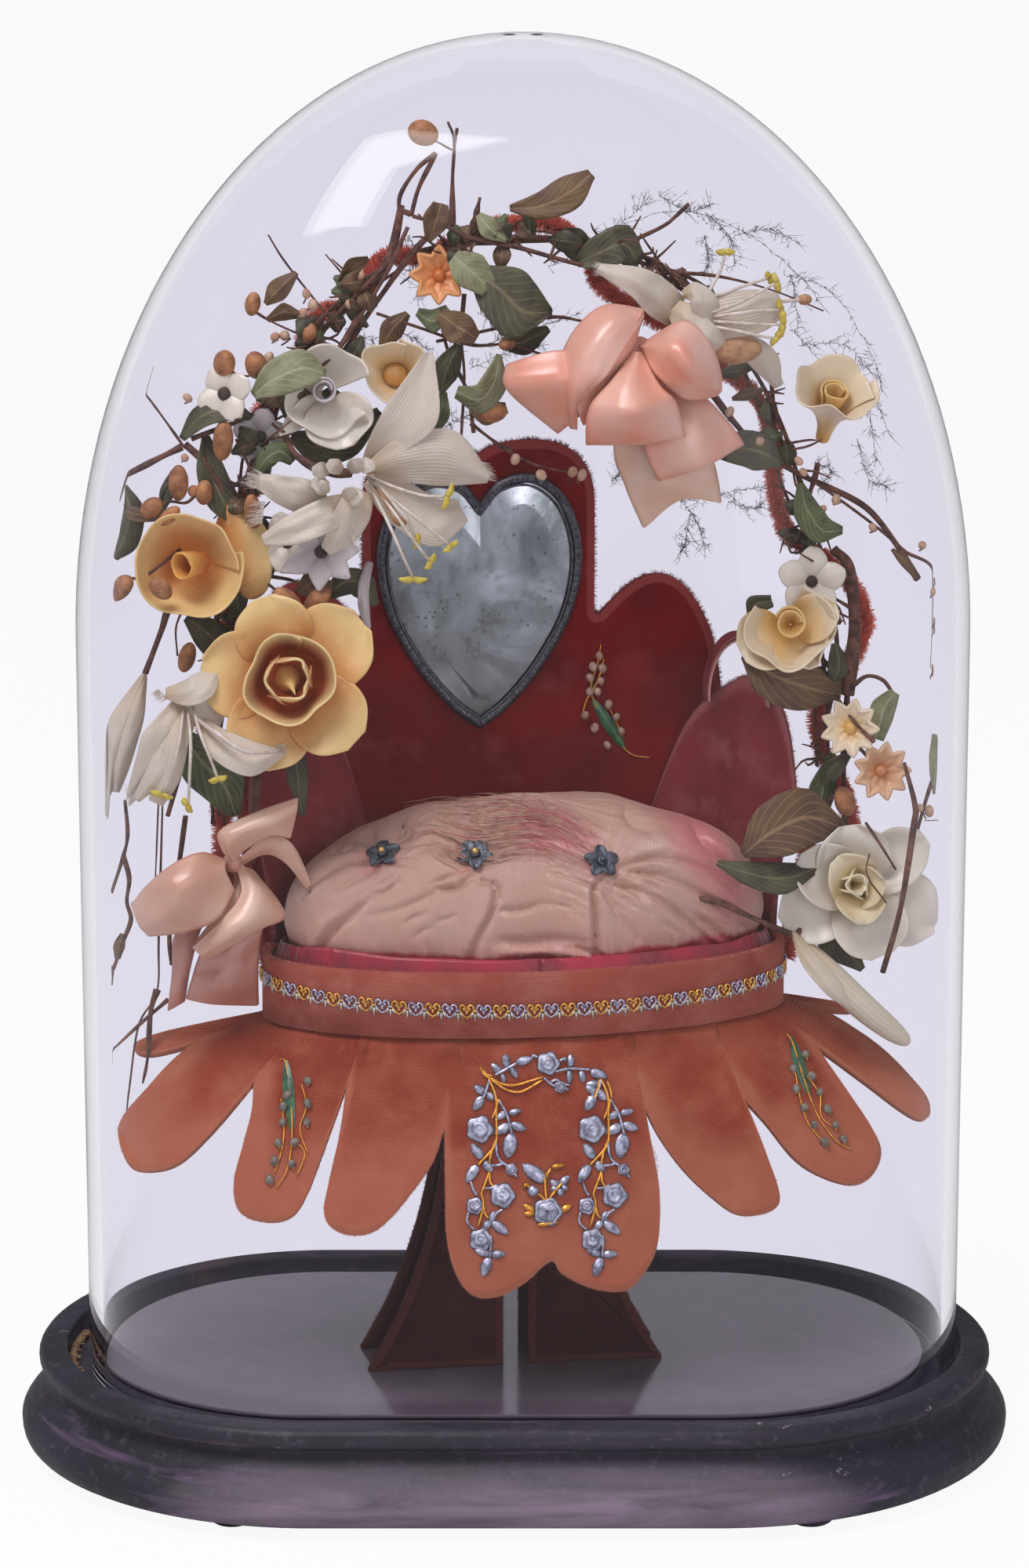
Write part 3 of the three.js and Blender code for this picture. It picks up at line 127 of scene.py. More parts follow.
COLOURS = {
    "rust_velvet": ("Apron velvet", (156, 66, 44)),
    "rose_velvet": ("Velvet of the gallery band", (170, 84, 68)),
    "wine_velvet": ("Backboard velvet", (130, 14, 16)),
    "faded_velvet": ("Velvet of the right wing", (146, 56, 62)),
    "brown_velvet": ("Velvet of the legs", (72, 30, 34)),
    "pale_satin": ("Cushion satin", (210, 170, 147)),
    "crimson_silk": ("Silk strip under the cushion", (172, 16, 48)),
    "peach_satin": ("Upper ribbon", (232, 156, 128)),
    "tan_satin": ("Lower ribbon", (216, 166, 140)),
    "yellow_wax": ("Wax of the yellow flowers", (232, 202, 138)),
    "white_wax": ("Wax of the white flowers", (226, 221, 208)),
    "cream_wax": ("Wax of the cream flowers", (232, 218, 188)),
    "orange_wax": ("Wax of the orange stars", (222, 158, 100)),
    "silk": ("Silk petals", (218, 209, 194)),
    "chenille": ("Chenille", (190, 84, 66)),
    "bark": ("Twigs", (126, 86, 70)),
    "leaf_green": ("Green leaves", (88, 98, 58)),
    "leaf_brown": ("Brown leaves", (104, 82, 46)),
    "bud": ("Buds", (190, 134, 88)),
    "berry": ("Berries", (216, 188, 162)),
    "ebonised": ("Plinth stain", (44, 41, 58)),
    "glass_tint": ("Dome glass", (240, 238, 246)),
}
SIZES = {
    "nap_length": ("Velvet pile at a cut edge", 0.0013),
    "tuft_depth": ("How far the tufts draw the cushion down", 0.007),
    "fold_depth": ("Depth of the cushion's folds", 0.0036),
    "heart_height": ("Height of a heart in the galloon", 0.0052),
    "chenille_pile": ("Length of the chenille's fibres", 0.003),
    "dome_wall": ("Thickness of the glass", 0.0025),
}


def linear(*colour):
    """A colour from 0 to 255, as light."""
    return tuple((c / 255 / 12.92) if c < 11 else ((c / 255 + 0.055) / 1.055) ** 2.4 for c in colour)


class GlobeColours(bpy.types.PropertyGroup):
    """Colours of the globe's pieces"""

    __annotations__ = {
        key: FloatVectorProperty(name=text, description=text, subtype="COLOR", default=linear(*value), min=0, max=1)
        for key, (text, value) in COLOURS.items()
    }


class GlobeSizes(bpy.types.PropertyGroup):
    """Sizes of the globe's soft and fine pieces"""

    __annotations__ = {
        key: FloatProperty(name=text, description=text, unit="LENGTH", default=value, min=0, precision=4)
        for key, (text, value) in SIZES.items()
    }


class GlobeStage(bpy.types.PropertyGroup):
    """The floor and the lamps"""

    floor_colour: FloatVectorProperty(
        name="Floor", description="Colour of the floor", subtype="COLOR", default=(0.9, 0.9, 0.91), min=0, max=1
    )
    key_power: FloatProperty(
        name="Key lamp", description="Power of the soft lamp above", unit="POWER", default=34, min=0
    )
    seed: IntProperty(name="Seed", description="Seed of everything that is scattered", default=7, min=0)


def size(key):
    """A size in millimetres."""
    return getattr(bpy.context.scene.globe_sizes, key) * 1000


def colour(key):
    """A colour that the user can change."""
    return tuple(getattr(bpy.context.scene.globe_colours, key))


def scatter(key):
    """A generator of its own for each piece, so that a change to one doesn't stir the others."""
    return random.Random(f"{bpy.context.scene.globe_stage.seed} {key}")


# ---- Shapes ----


def lerp(a, b, share):
    """The value at a share of the way from a to b."""
    return a + (b - a) * share


def along(values, share):
    """A smooth curve through evenly spaced numbers or points, at a share from 0 to 1."""
    place = min(max(share, 0), 1) * (len(values) - 1)
    i = min(int(place), len(values) - 2)
    t = place - i
    a, b = values[i], values[i + 1]
    before = values[i - 1] if i else a * 2 - b
    after = values[i + 2] if i + 2 < len(values) else b * 2 - a
    first = (b - before) * 0.5
    second = (before * 2 - a * 5 + b * 4 - after) * 0.5
    third = (a * 3 - before - b * 3 + after) * 0.5
    return a + first * t + second * (t * t) + third * (t * t * t)


def lengths_along(points):
    """How far along a run each of its points is."""
    lengths = [0.0]
    for a, b in zip(points, points[1:]):
        lengths.append(lengths[-1] + (b - a).length)
    return lengths


def tossed(rng, y=(-1, 1), z=(-1, 1)):
    """A random vector, drawn within its bounds along y and z."""
    return Vector((rng.uniform(-1, 1), rng.uniform(*y), rng.uniform(*z)))


def wobble(point, grain, amount):
    """Smooth irregularity of a hand made thing at a point."""
    return noise.noise(point / grain) * amount


def patch(bm, columns, rows, place, material=0, welded=False):
    """A grid laid over the surface place(u, v), which keeps u and v as its UV map."""
    verts = bmesh.ops.create_grid(bm, x_segments=columns, y_segments=rows, size=0.5)["verts"]
    uv = bm.loops.layers.uv.verify()
    for face in {face for vert in verts for face in vert.link_faces}:
        face.material_index = material
        face.smooth = True
        for loop in face.loops:
            loop[uv].uv = (loop.vert.co.x + 0.5, loop.vert.co.y + 0.5)
    for vert in verts:
        vert.co = place(vert.co.x + 0.5, vert.co.y + 0.5)
    if welded:
        merged = bmesh.ops.find_doubles(bm, verts=verts, dist=1e-3)["targetmap"]
        bmesh.ops.weld_verts(bm, targetmap=merged)
        verts = [vert for vert in verts if vert.is_valid]
    return verts


def rod(bm, points, radii, sides=6, rings=12, material=0):
    """A tube through points, in millimetres. The radii are spread evenly along it, and a radius of 0 closes an end."""
    points = [Vector(point) for point in points]
    centres = [along(points, i / rings) for i in range(rings + 1)]
    frames = []
    side = (centres[1] - centres[0]).orthogonal().normalized()
    for i in range(rings + 1):
        ahead = (centres[min(i + 1, rings)] - centres[max(i - 1, 0)]).normalized()
        side = (side - ahead * side.dot(ahead)).normalized()
        frames.append((side, ahead.cross(side)))

    def place(u, v):
        row = round(v * (rings + 2)) - 1
        ring = min(rings, max(0, row))
        turn = 2 * math.pi * u
        radius = max(0.0, along(radii, ring / rings)) if len(radii) > 1 else radii[0]
        across, up = frames[ring]
        return centres[ring] + (across * math.cos(turn) + up * math.sin(turn)) * (radius if ring == row else 0)

    return patch(bm, sides, rings + 2, place, material, welded=True)


def ball(bm, place, radius, direction=(0, 0, 1), stretch=1.0, material=0, segments=10, rings=7):
    """A round bead, stretched along a direction."""
    turn = Vector(direction).to_track_quat("Z", "Y").to_matrix().to_4x4()
    matrix = Matrix.Translation(place) @ turn @ Matrix.Diagonal((radius, radius, radius * stretch, 1))
    made = bmesh.ops.create_uvsphere(bm, u_segments=segments, v_segments=rings, radius=1, matrix=matrix)
    for face in {face for vert in made["verts"] for face in vert.link_faces}:
        face.material_index = material
        face.smooth = True


def blades(bm, count, blade, material=0):
    """Loose fibres: blade(i) gives a root, a tip and half a width, all as vectors."""
    verts = bmesh.ops.create_grid(bm, x_segments=count, y_segments=1, size=0.5)["verts"]
    inner = [edge for edge in {edge for vert in verts for edge in vert.link_edges} if len(edge.link_faces) > 1]
    faces = sorted({face for vert in verts for face in vert.link_faces}, key=lambda face: face.calc_center_median().x)
    bmesh.ops.split_edges(bm, edges=inner)
    for i, face in enumerate(faces):
        root, tip, half = blade(i)
        face.material_index = material
        middle = face.calc_center_median()
        for vert in face.verts:
            high, right = vert.co.y > middle.y, vert.co.x > middle.x
            vert.co = (tip if high else root) + half * ((1 if right else -1) * (0.25 if high else 1))


def oval(bm, profile, steps, straight, fade=0.0):
    """A profile of (radius, height) spun round, and pulled out sideways into an oval."""
    verts = [bm.verts.new((radius, 0, height)) for radius, height in profile]
    edges = [bm.edges.new(pair) for pair in zip(verts, verts[1:])]
    bmesh.ops.rotate(bm, verts=verts, cent=(0, 0, 0), matrix=Matrix.Rotation(math.pi / steps, 3, "Z"))
    around = {"cent": (0, 0, 0), "axis": (0, 0, 1), "angle": 2 * math.pi}
    bmesh.ops.spin(bm, geom=verts + edges, steps=steps, use_merge=True, **around)
    bmesh.ops.remove_doubles(bm, verts=bm.verts, dist=1e-4)
    for vert in bm.verts:
        radius = math.hypot(vert.co.x, vert.co.y)
        if radius > 1e-3:
            vert.co.x += math.copysign(straight * (min(1, radius / fade) if fade else 1), vert.co.x)
    bmesh.ops.recalc_face_normals(bm, faces=bm.faces)
    for face in bm.faces:
        face.smooth = True


def plate(bm, outline, back, thickness):
    """A flat plate with its outline in the plane of x and z, from its back towards -y."""
    face = bm.faces.new([bm.verts.new((x, back, z)) for x, z in outline])
    face.normal_update()
    if face.normal.y > 0:
        bmesh.ops.reverse_faces(bm, faces=[face])
    made = bmesh.ops.extrude_face_region(bm, geom=[face])
    moved = [item for item in made["geom"] if isinstance(item, bmesh.types.BMVert)]
    bmesh.ops.translate(bm, verts=moved, vec=(0, -thickness, 0))
    bmesh.ops.recalc_face_normals(bm, faces=bm.faces)


def board(bm, outline, thickness, rim, rise):
    """A covered board: a plate with its edges rounded by a rim."""
    plate(bm, outline, 0, thickness)
    uv = bm.loops.layers.uv.verify()
    for face in bm.faces:
        for loop in face.loops:
            loop[uv].uv = (0.5, 1)
    flats = [face for face in bm.faces if abs(face.normal.y) > 0.5]
    for share in (0.35, 0.65, 2.5):
        bmesh.ops.inset_region(
            bm, faces=flats, thickness=rim * share, depth=rise * (1 - share if share < 1 else 0), use_even_offset=True
        )
    for face in flats:
        for loop in face.loops:
            loop[uv].uv = (0.5, 0)
    for face in bm.faces:
        face.smooth = True


def piece(bm, name, nodes, slot_name, materials, matrix=STAND, body="base", levels=0, wall=0.0, offset=-1.0):
    """Makes the object of a finished mesh: in metres, at its place, riding on its body."""
    bmesh.ops.transform(bm, matrix=matrix, verts=bm.verts)
    mesh = bpy.data.meshes.new(name)
    bm.to_mesh(mesh)
    bm.free()
    for material in materials:
        mesh.materials.append(material)
    obj = bpy.data.objects.new(name, mesh)
    bpy.context.scene.collection.objects.link(obj)
    if wall:
        solid = obj.modifiers.new("Wall", "SOLIDIFY")
        solid.thickness, solid.offset = wall * 0.001, offset
    if levels:
        smooth = obj.modifiers.new("Smooth", "SUBSURF")
        smooth.levels = smooth.render_levels = levels
    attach(obj, body)
    if nodes:
        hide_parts(*nodes)
    return obj


# ---- Finishes ----


class Recipe:
    """A tree of shader nodes, written as a recipe."""

    def __init__(self, tree):
        self.tree = tree

    def join(self, socket, value):
        if isinstance(value, bpy.types.NodeSocket):
            self.tree.links.new(value, socket)
        elif socket.type == "RGBA":
            socket.default_value = (*value[:3], 1)
        else:
            socket.default_value = value

    def node(self, kind, inputs=(), **settings):
        made = self.tree.nodes.new("ShaderNode" + kind)
        for name, value in settings.items():
            setattr(made, name, value)
        for key, value in dict(inputs).items():
            self.join(made.inputs[key], value)
        return made

    def sum(self, operation, first, second=0.0):
        return self.node("Math", {0: first, 1: second}, operation=operation).outputs[0]

    def plus(self, first, second):
        return self.sum("ADD", first, second)

    def minus(self, first, second):
        return self.sum("SUBTRACT", first, second)

    def times(self, first, second):
        return self.sum("MULTIPLY", first, second)

    def rays(self, *kinds):
        """One where a ray is of either of two kinds."""
        path = self.node("LightPath")
        return self.sum("MAXIMUM", *(path.outputs[f"Is {kind} Ray"] for kind in kinds))

    def blend(self, share, first, second):
        """A blend of two shaders."""
        return self.node("MixShader", {0: share, 1: first.outputs[0], 2: second.outputs[0]}).outputs[0]


class Finish(Recipe):
    """The nodes of one material."""

    def __init__(self, name, **sockets):
        self.material = bpy.data.materials.new(name)
        self.material.use_nodes = True
        super().__init__(self.material.node_tree)
        self.shader = self.tree.nodes["Principled BSDF"]
        self.feed(**sockets)

    def feed(self, **sockets):
        for name, value in sockets.items():
            self.join(self.shader.inputs[name.replace("_", " ")], value)

    def show(self, shader):
        self.join(self.tree.nodes["Material Output"].inputs[0], shader)

    def where(self, scale=(1, 1, 1), source="Object"):
        place = self.node("TexCoord").outputs[source]
        return self.node("Mapping", {"Vector": place, "Scale": scale}).outputs[0]

    def noise(self, scale, detail=3.0, where=None, distortion=0.0, rough=0.5):
        inputs = {"Scale": scale, "Detail": detail, "Distortion": distortion, "Roughness": rough}
        return self.node("TexNoise", {**inputs, "Vector": where or self.where()}).outputs[0]

    def cells(self, scale):
        return self.node("TexVoronoi", {"Scale": scale, "Vector": self.where()}).outputs["Distance"]

    def waves(self, scale, where=None, distortion=0.0, direction="X"):
        inputs = {"Scale": scale, "Distortion": distortion, "Vector": where or self.where()}
        return self.node("TexWave", inputs, bands_direction=direction).outputs[1]

    def ramp(self, share, stops):
        made = self.node("ValToRGB", {0: share})
        elements = made.color_ramp.elements
        for i, (place, value) in enumerate(stops):
            element = elements[i] if i < 2 else elements.new(place)
            element.position = place
            element.color = (*value, 1) if hasattr(value, "__len__") else (value, value, value, 1)
        return made.outputs[0]

    def patches(self, stops, *scale_and_detail, **settings):
        """Noise, cut into patches by a ramp."""
        return self.ramp(self.noise(*scale_and_detail, **settings), stops)

    def mix(self, share, first, second):
        made = self.node("Mix", data_type="RGBA")
        for i, value in ((0, share), (6, first), (7, second)):
            self.join(made.inputs[i], value)
        return made.outputs[2]

    def across(self, axis="Y"):
        """The share across or along a sheet, from its UV map."""
        return self.node("SeparateXYZ", {0: self.where(source="UV")}).outputs[axis]

    def bumped(self, height, strength, depth):
        """Relief on the surface, its depth in millimetres."""
        inputs = {"Height": height, "Strength": strength, "Distance": depth * 0.001}
        self.feed(Normal=self.node("Bump", inputs).outputs[0])


def velvet(name, main, worn, dark, rows=0, edge=0.92, shine=0.5, fade=0.0):
    """Velvet: soft patches where the nap is brushed or worn, fine pile, and a pale cut edge."""
    finish = Finish(name, Roughness=0.92, Sheen_Weight=shine * 0.5, Sheen_Roughness=0.4, Specular_IOR_Level=0.15)
    brushed = finish.patches([(0.3, 0.42), (0.62, 1.0)], 30, 3, distortion=0.4)
    shade = finish.mix(brushed, dark, main)
    rubbed = finish.patches([(0.52, 0.0), (0.8, 0.5)], 75, 5, rough=0.65)
    shade = finish.mix(rubbed, shade, worn)
    pile = finish.noise(1300, 2)
    shade = finish.mix(finish.ramp(pile, [(0.3, 0.0), (0.7, 0.16)]), shade, tuple(c * 0.62 for c in main))
    if fade:
        cloud = finish.plus(finish.across(), finish.times(finish.noise(28, 3), 0.5))
        shade = finish.mix(finish.ramp(cloud, [(0.75, 0.0), (1.25, fade)]), shade, worn)
    rim = finish.ramp(finish.across(), [(edge, 0.0), (1.0, 0.8)])
    shade = finish.mix(rim, shade, worn)
    height = finish.plus(finish.times(pile, 0.6), finish.times(brushed, 0.5))
    if rows:
        lines = finish.waves(rows, finish.where((0, 0, 1)), 0.4, "Z")
        faint = finish.patches([(0.4, 0.05), (0.65, 0.5)], 55, 2)
        shade = finish.mix(finish.times(lines, faint), shade, worn)
        height = finish.plus(height, finish.times(lines, 0.3))
    finish.feed(Base_Color=shade, Sheen_Tint=worn)
    finish.bumped(height, 0.08, 0.2)
    return finish.material


def satin(name, main, deep, pale):
    """Satin ribbon: a soft gloss, cloudy patches of painted highlight, fine threads along it and a woven edge darkened
    with painted shade.
    """
    finish = Finish(name, Roughness=0.3, Sheen_Weight=0.2, Anisotropic=0.5, Sheen_Tint=pale, Specular_IOR_Level=1.0)
    # Painted highlight: cloudy patches of the pale highlight tone laid over the satin's colour.
    painted_highlight_patches = finish.patches([(0.35, 0.0), (0.7, 1.0)], 42, 3)
    shade = finish.mix(painted_highlight_patches, main, pale)
    # The woven edge is darkened with the tone the satin has in its shaded folds, so it is partly painted shade. The
    # fine speckles below use the same tone.
    across = finish.across("X")
    edge = finish.sum("ABSOLUTE", finish.minus(across, 0.5))
    shade = finish.mix(finish.ramp(edge, [(0.44, 0.0), (0.49, 0.55)]), shade, deep)
    weave = finish.waves(15, finish.where((0, 12, 0), source="UV"), 1.5, "Y")
    fine = finish.noise(2600, 2)
    finish.feed(Base_Color=finish.mix(finish.times(fine, 0.16), shade, deep))
    finish.bumped(finish.plus(weave, fine), 0.16, 0.12)
    return finish.material


def wax(name, tip, root, mottle, reach=(0.1, 0.75), rough=0.42):
    """Dipped wax: a glow at the root of the petal, faint mottling and a soft skin."""
    finish = Finish(name, Roughness=rough, Subsurface_Weight=0.12, Subsurface_Scale=0.004)
    share = finish.across("Y")
    cloud = finish.noise(130, 4)
    reach_in = finish.plus(share, finish.times(finish.minus(cloud, 0.5), 0.25))
    shade = finish.mix(finish.ramp(reach_in, [(reach[0], 0.0), (reach[1], 1.0)]), root, tip)
    spots = finish.patches([(0.55, 0.0), (0.75, 0.4)], 320, 5, rough=0.7)
    shade = finish.mix(spots, shade, mottle)
    finish.feed(Base_Color=shade)
    finish.bumped(finish.plus(cloud, finish.noise(700, 3)), 0.22, 0.35)
    return finish.material


def silk_petal(name, tip, root, line):
    """Stiffened silk: fine veins along the petal and a stained throat."""
    finish = Finish(name, Roughness=0.5, Sheen_Weight=0.2, Subsurface_Weight=0.06, Subsurface_Scale=0.003)
    share = finish.across("Y")
    shade = finish.mix(finish.ramp(share, [(0.0, 0.0), (0.45, 1.0)]), root, tip)
    veins = finish.waves(5, finish.where((1, 0.08, 1), source="UV"), 1.2)
    shade = finish.mix(finish.ramp(veins, [(0.0, 0.3), (0.4, 0.0)]), shade, line)
    finish.feed(Base_Color=finish.mix(finish.patches([(0.5, 0.0), (0.8, 0.35)], 150, 3), shade, line))
    finish.bumped(finish.plus(veins, finish.times(finish.noise(1900, 2), 0.6)), 0.35, 0.25)
    return finish.material


def leaf_skin(name, main, pale, dark):
    """A cloth leaf: a midrib, side veins and blotches of age."""
    finish = Finish(name, Roughness=0.66)
    place = finish.where(source="UV")
    parts = finish.node("SeparateXYZ", {0: place})
    off = finish.sum("ABSOLUTE", finish.minus(parts.outputs[0], 0.5))
    blotch = finish.patches([(0.4, 0.0), (0.66, 1.0)], 110, 5, rough=0.65)
    shade = finish.mix(blotch, dark, main)
    shade = finish.mix(finish.ramp(off, [(0.0, 0.8), (0.05, 0.0)]), shade, pale)
    slant = finish.plus(finish.times(off, -0.9), parts.outputs[1])
    side = finish.node("Math", {0: finish.times(slant, 44)}, operation="SINE").outputs[0]
    veins = finish.ramp(side, [(0.82, 0.0), (1.0, 0.5)])
    shade = finish.mix(veins, shade, pale)
    finish.feed(Base_Color=shade)
    finish.bumped(finish.plus(veins, finish.noise(420, 4)), 0.4, 0.3)
    return finish.material


def metal(name, main, dark, rough=0.32, grain=500, tarnish=(0.45, 0.7)):
    """Stamped metal with tarnish in its hollows."""
    finish = Finish(name, Metallic=1.0, Roughness=rough)
    age = finish.patches([(tarnish[0], 0.0), (tarnish[1], 1.0)], grain, 5, rough=0.7)
    finish.feed(Base_Color=finish.mix(age, main, dark))
    finish.feed(Roughness=finish.plus(finish.times(age, 0.25), rough))
    finish.bumped(finish.noise(grain * 2, 3), 0.3, 0.15)
    return finish.material


def plain(name, main, dark, grain=200, rough=0.8, depth=0.3):
    """A matt surface of two close colours in small patches."""
    finish = Finish(name, Roughness=rough)
    spots = finish.noise(grain, 5, rough=0.65)
    finish.feed(Base_Color=finish.mix(finish.ramp(spots, [(0.38, 0.0), (0.64, 1.0)]), dark, main))
    finish.bumped(spots, 0.5, depth)
    return finish.material


# ---- Base and dome ----


def bezier(a, b, c, d, steps):
    """Points of a curve with two handles, without its first."""
    points = []
    for i in range(1, steps + 1):
        t = i / steps
        s = 1 - t
        shares = (s**3, 3 * s * s * t, 3 * s * t * t, t**3)
        points.append(tuple(sum(share * place for share, place in zip(shares, places)) for places in zip(a, b, c, d)))
    return points


def arc(a, b, c, steps):
    """Points of a curve with one handle, without its first."""
    q = tuple(p + (h - p) * 2 / 3 for p, h in zip(a, b))
    r = tuple(p + (h - p) * 2 / 3 for p, h in zip(c, b))
    return bezier(a, q, r, c, steps)


def plinth_profile():
    """The plinth's section from under its middle, over the bulge, the cove and the lip, to under the panel."""
    bulge, lip = PLINTH_RADIUS, PLINTH_RADIUS - 6.5
    inner = lip - 10
    foot, top, floor = 4.0, PLINTH_TOP, PLINTH_TOP - 8
    points = [(0, foot), (lip * 0.5, foot), (lip, foot)]
    points += arc((lip, foot), (bulge, foot), (bulge, foot + 7.5), 7)
    points += bezier((bulge, foot + 7.5), (bulge, foot + 12.75), (lip - 4.5, top - 15), (lip - 4.5, top - 7.5), 12)
    points += arc((lip - 4.5, top - 7.5), (lip, top - 7.9), (lip, top - 3.75), 6)
    points += arc((lip, top - 3.75), (lip, top), (lip - 3.5, top), 6)
    points += [(inner + 1.2, top)] + arc((inner + 1.2, top), (inner, top), (inner, top - 1.2), 3)
    points += [(inner, floor), (PANEL_RADIUS, floor), (PANEL_RADIUS, PANEL_TOP - 2), (0, PANEL_TOP - 2)]
    return points


def ebonised_wood():
    """Black-blue stain worn through along the edges, with purple patches and pale chips."""
    finish = Finish("ebonised_wood", Roughness=0.62)
    stain = colour("ebonised")
    cloud = finish.patches([(0.4, 0.0), (0.65, 1.0)], 24, 4)
    shade = finish.mix(cloud, tuple(c * 0.62 for c in stain), stain)
    streak = finish.noise(14, 5, finish.where((1, 1, 9)), 0.8, 0.62)
    worn = finish.ramp(streak, [(0.58, 0.0), (0.7, 0.8)])
    shade = finish.mix(worn, shade, linear(104, 84, 116))
    brown = finish.ramp(finish.noise(19, 4, finish.where((1, 1, 6))), [(0.63, 0.0), (0.74, 0.7)])
    shade = finish.mix(brown, shade, linear(84, 62, 60))
    chips = finish.noise(95, 6, finish.where((1, 1, 2.4)), 0.4, 0.72)
    near_edge = finish.patches([(0.45, 0.0), (0.62, 1.0)], 11, 2)
    flake = finish.times(finish.ramp(chips, [(0.665, 0.0), (0.69, 1.0)]), near_edge)
    shade = finish.mix(flake, shade, linear(170, 158, 170))
    dust = finish.patches([(0.55, 0.0), (0.8, 0.35)], 260, 4, rough=0.7)
    shade = finish.mix(dust, shade, linear(120, 114, 130))
    # The lower bulge of the long front side is paler, in streaks.
    parts = finish.node("SeparateXYZ", {0: finish.where()})
    near = finish.sum("DIVIDE", parts.outputs[1], -0.106)
    under_lip = finish.ramp(finish.sum("DIVIDE", parts.outputs[2], PLINTH_TOP * 0.001), [(0.62, 1.0), (0.74, 0.1)])
    rubbed = finish.times(finish.ramp(near, [(0.86, 0.0), (1.0, 0.85)]), finish.ramp(streak, [(0.3, 0.25), (0.6, 1.0)]))
    rubbed = finish.times(rubbed, under_lip)
    shade = finish.mix(rubbed, shade, linear(138, 122, 144))
    finish.feed(Base_Color=shade)
    finish.feed(Roughness=finish.ramp(streak, [(0.4, 0.55), (0.7, 0.8)]))
    grain = finish.noise(60, 4, finish.where((1, 1, 5)))
    height = finish.minus(finish.plus(grain, finish.noise(300, 3)), flake)
    finish.bumped(height, 0.35, 0.7)
    return finish.material


def gloss_panel():
    """Black gloss under dust, with small crumbs of wood and cloth."""
    finish = Finish("gloss_black_panel", IOR=1.3)
    dust = finish.patches([(0.42, 0.0), (0.75, 0.5)], 28, 5, rough=0.6)
    shade = finish.mix(dust, linear(98, 91, 103), linear(130, 122, 136))
    specks = finish.ramp(finish.cells(240), [(0.0, 1.0), (0.1, 0.0)])
    picked = finish.patches([(0.6, 0.0), (0.66, 1.0)], 70, 2)
    shade = finish.mix(finish.times(specks, picked), shade, linear(120, 96, 80))
    finish.feed(Base_Color=shade, Roughness=finish.ramp(dust, [(0.0, 0.1), (0.5, 0.26)]))
    finish.bumped(finish.noise(14, 2), 0.02, 0.3)
    return finish.material


def clear_glass():
    """Blown glass. Lamps shine through it, so that what stands inside is lit."""
    finish = Finish("clear_glass", Roughness=0.0, Transmission_Weight=1.0, IOR=1.22, Base_Color=colour("glass_tint"))
    clear = finish.node("BsdfTransparent", {"Color": linear(250, 248, 249)})
    finish.show(finish.blend(finish.rays("Shadow", "Diffuse"), finish.shader, clear))
    finish.bumped(finish.noise(9, 1), 0.05, 2.0)
    return finish.material


def dome_profile(radius, foot, apex):
    """A section of the dome: upright from its foot, then a quarter of an ellipse."""
    spring = DOME_APEX - DOME_ARCHED
    points = [(radius, foot), (radius, foot + 0.5), (radius, foot + 1.5)]
    points += [(radius, lerp(foot, spring, i / 6)) for i in range(1, 6)]
    for i in range(37):
        angle = math.pi / 2 * i / 36
        points.append((radius * math.cos(angle), spring + (apex - spring) * math.sin(angle)))
    points[-1] = (0, apex)
    return points


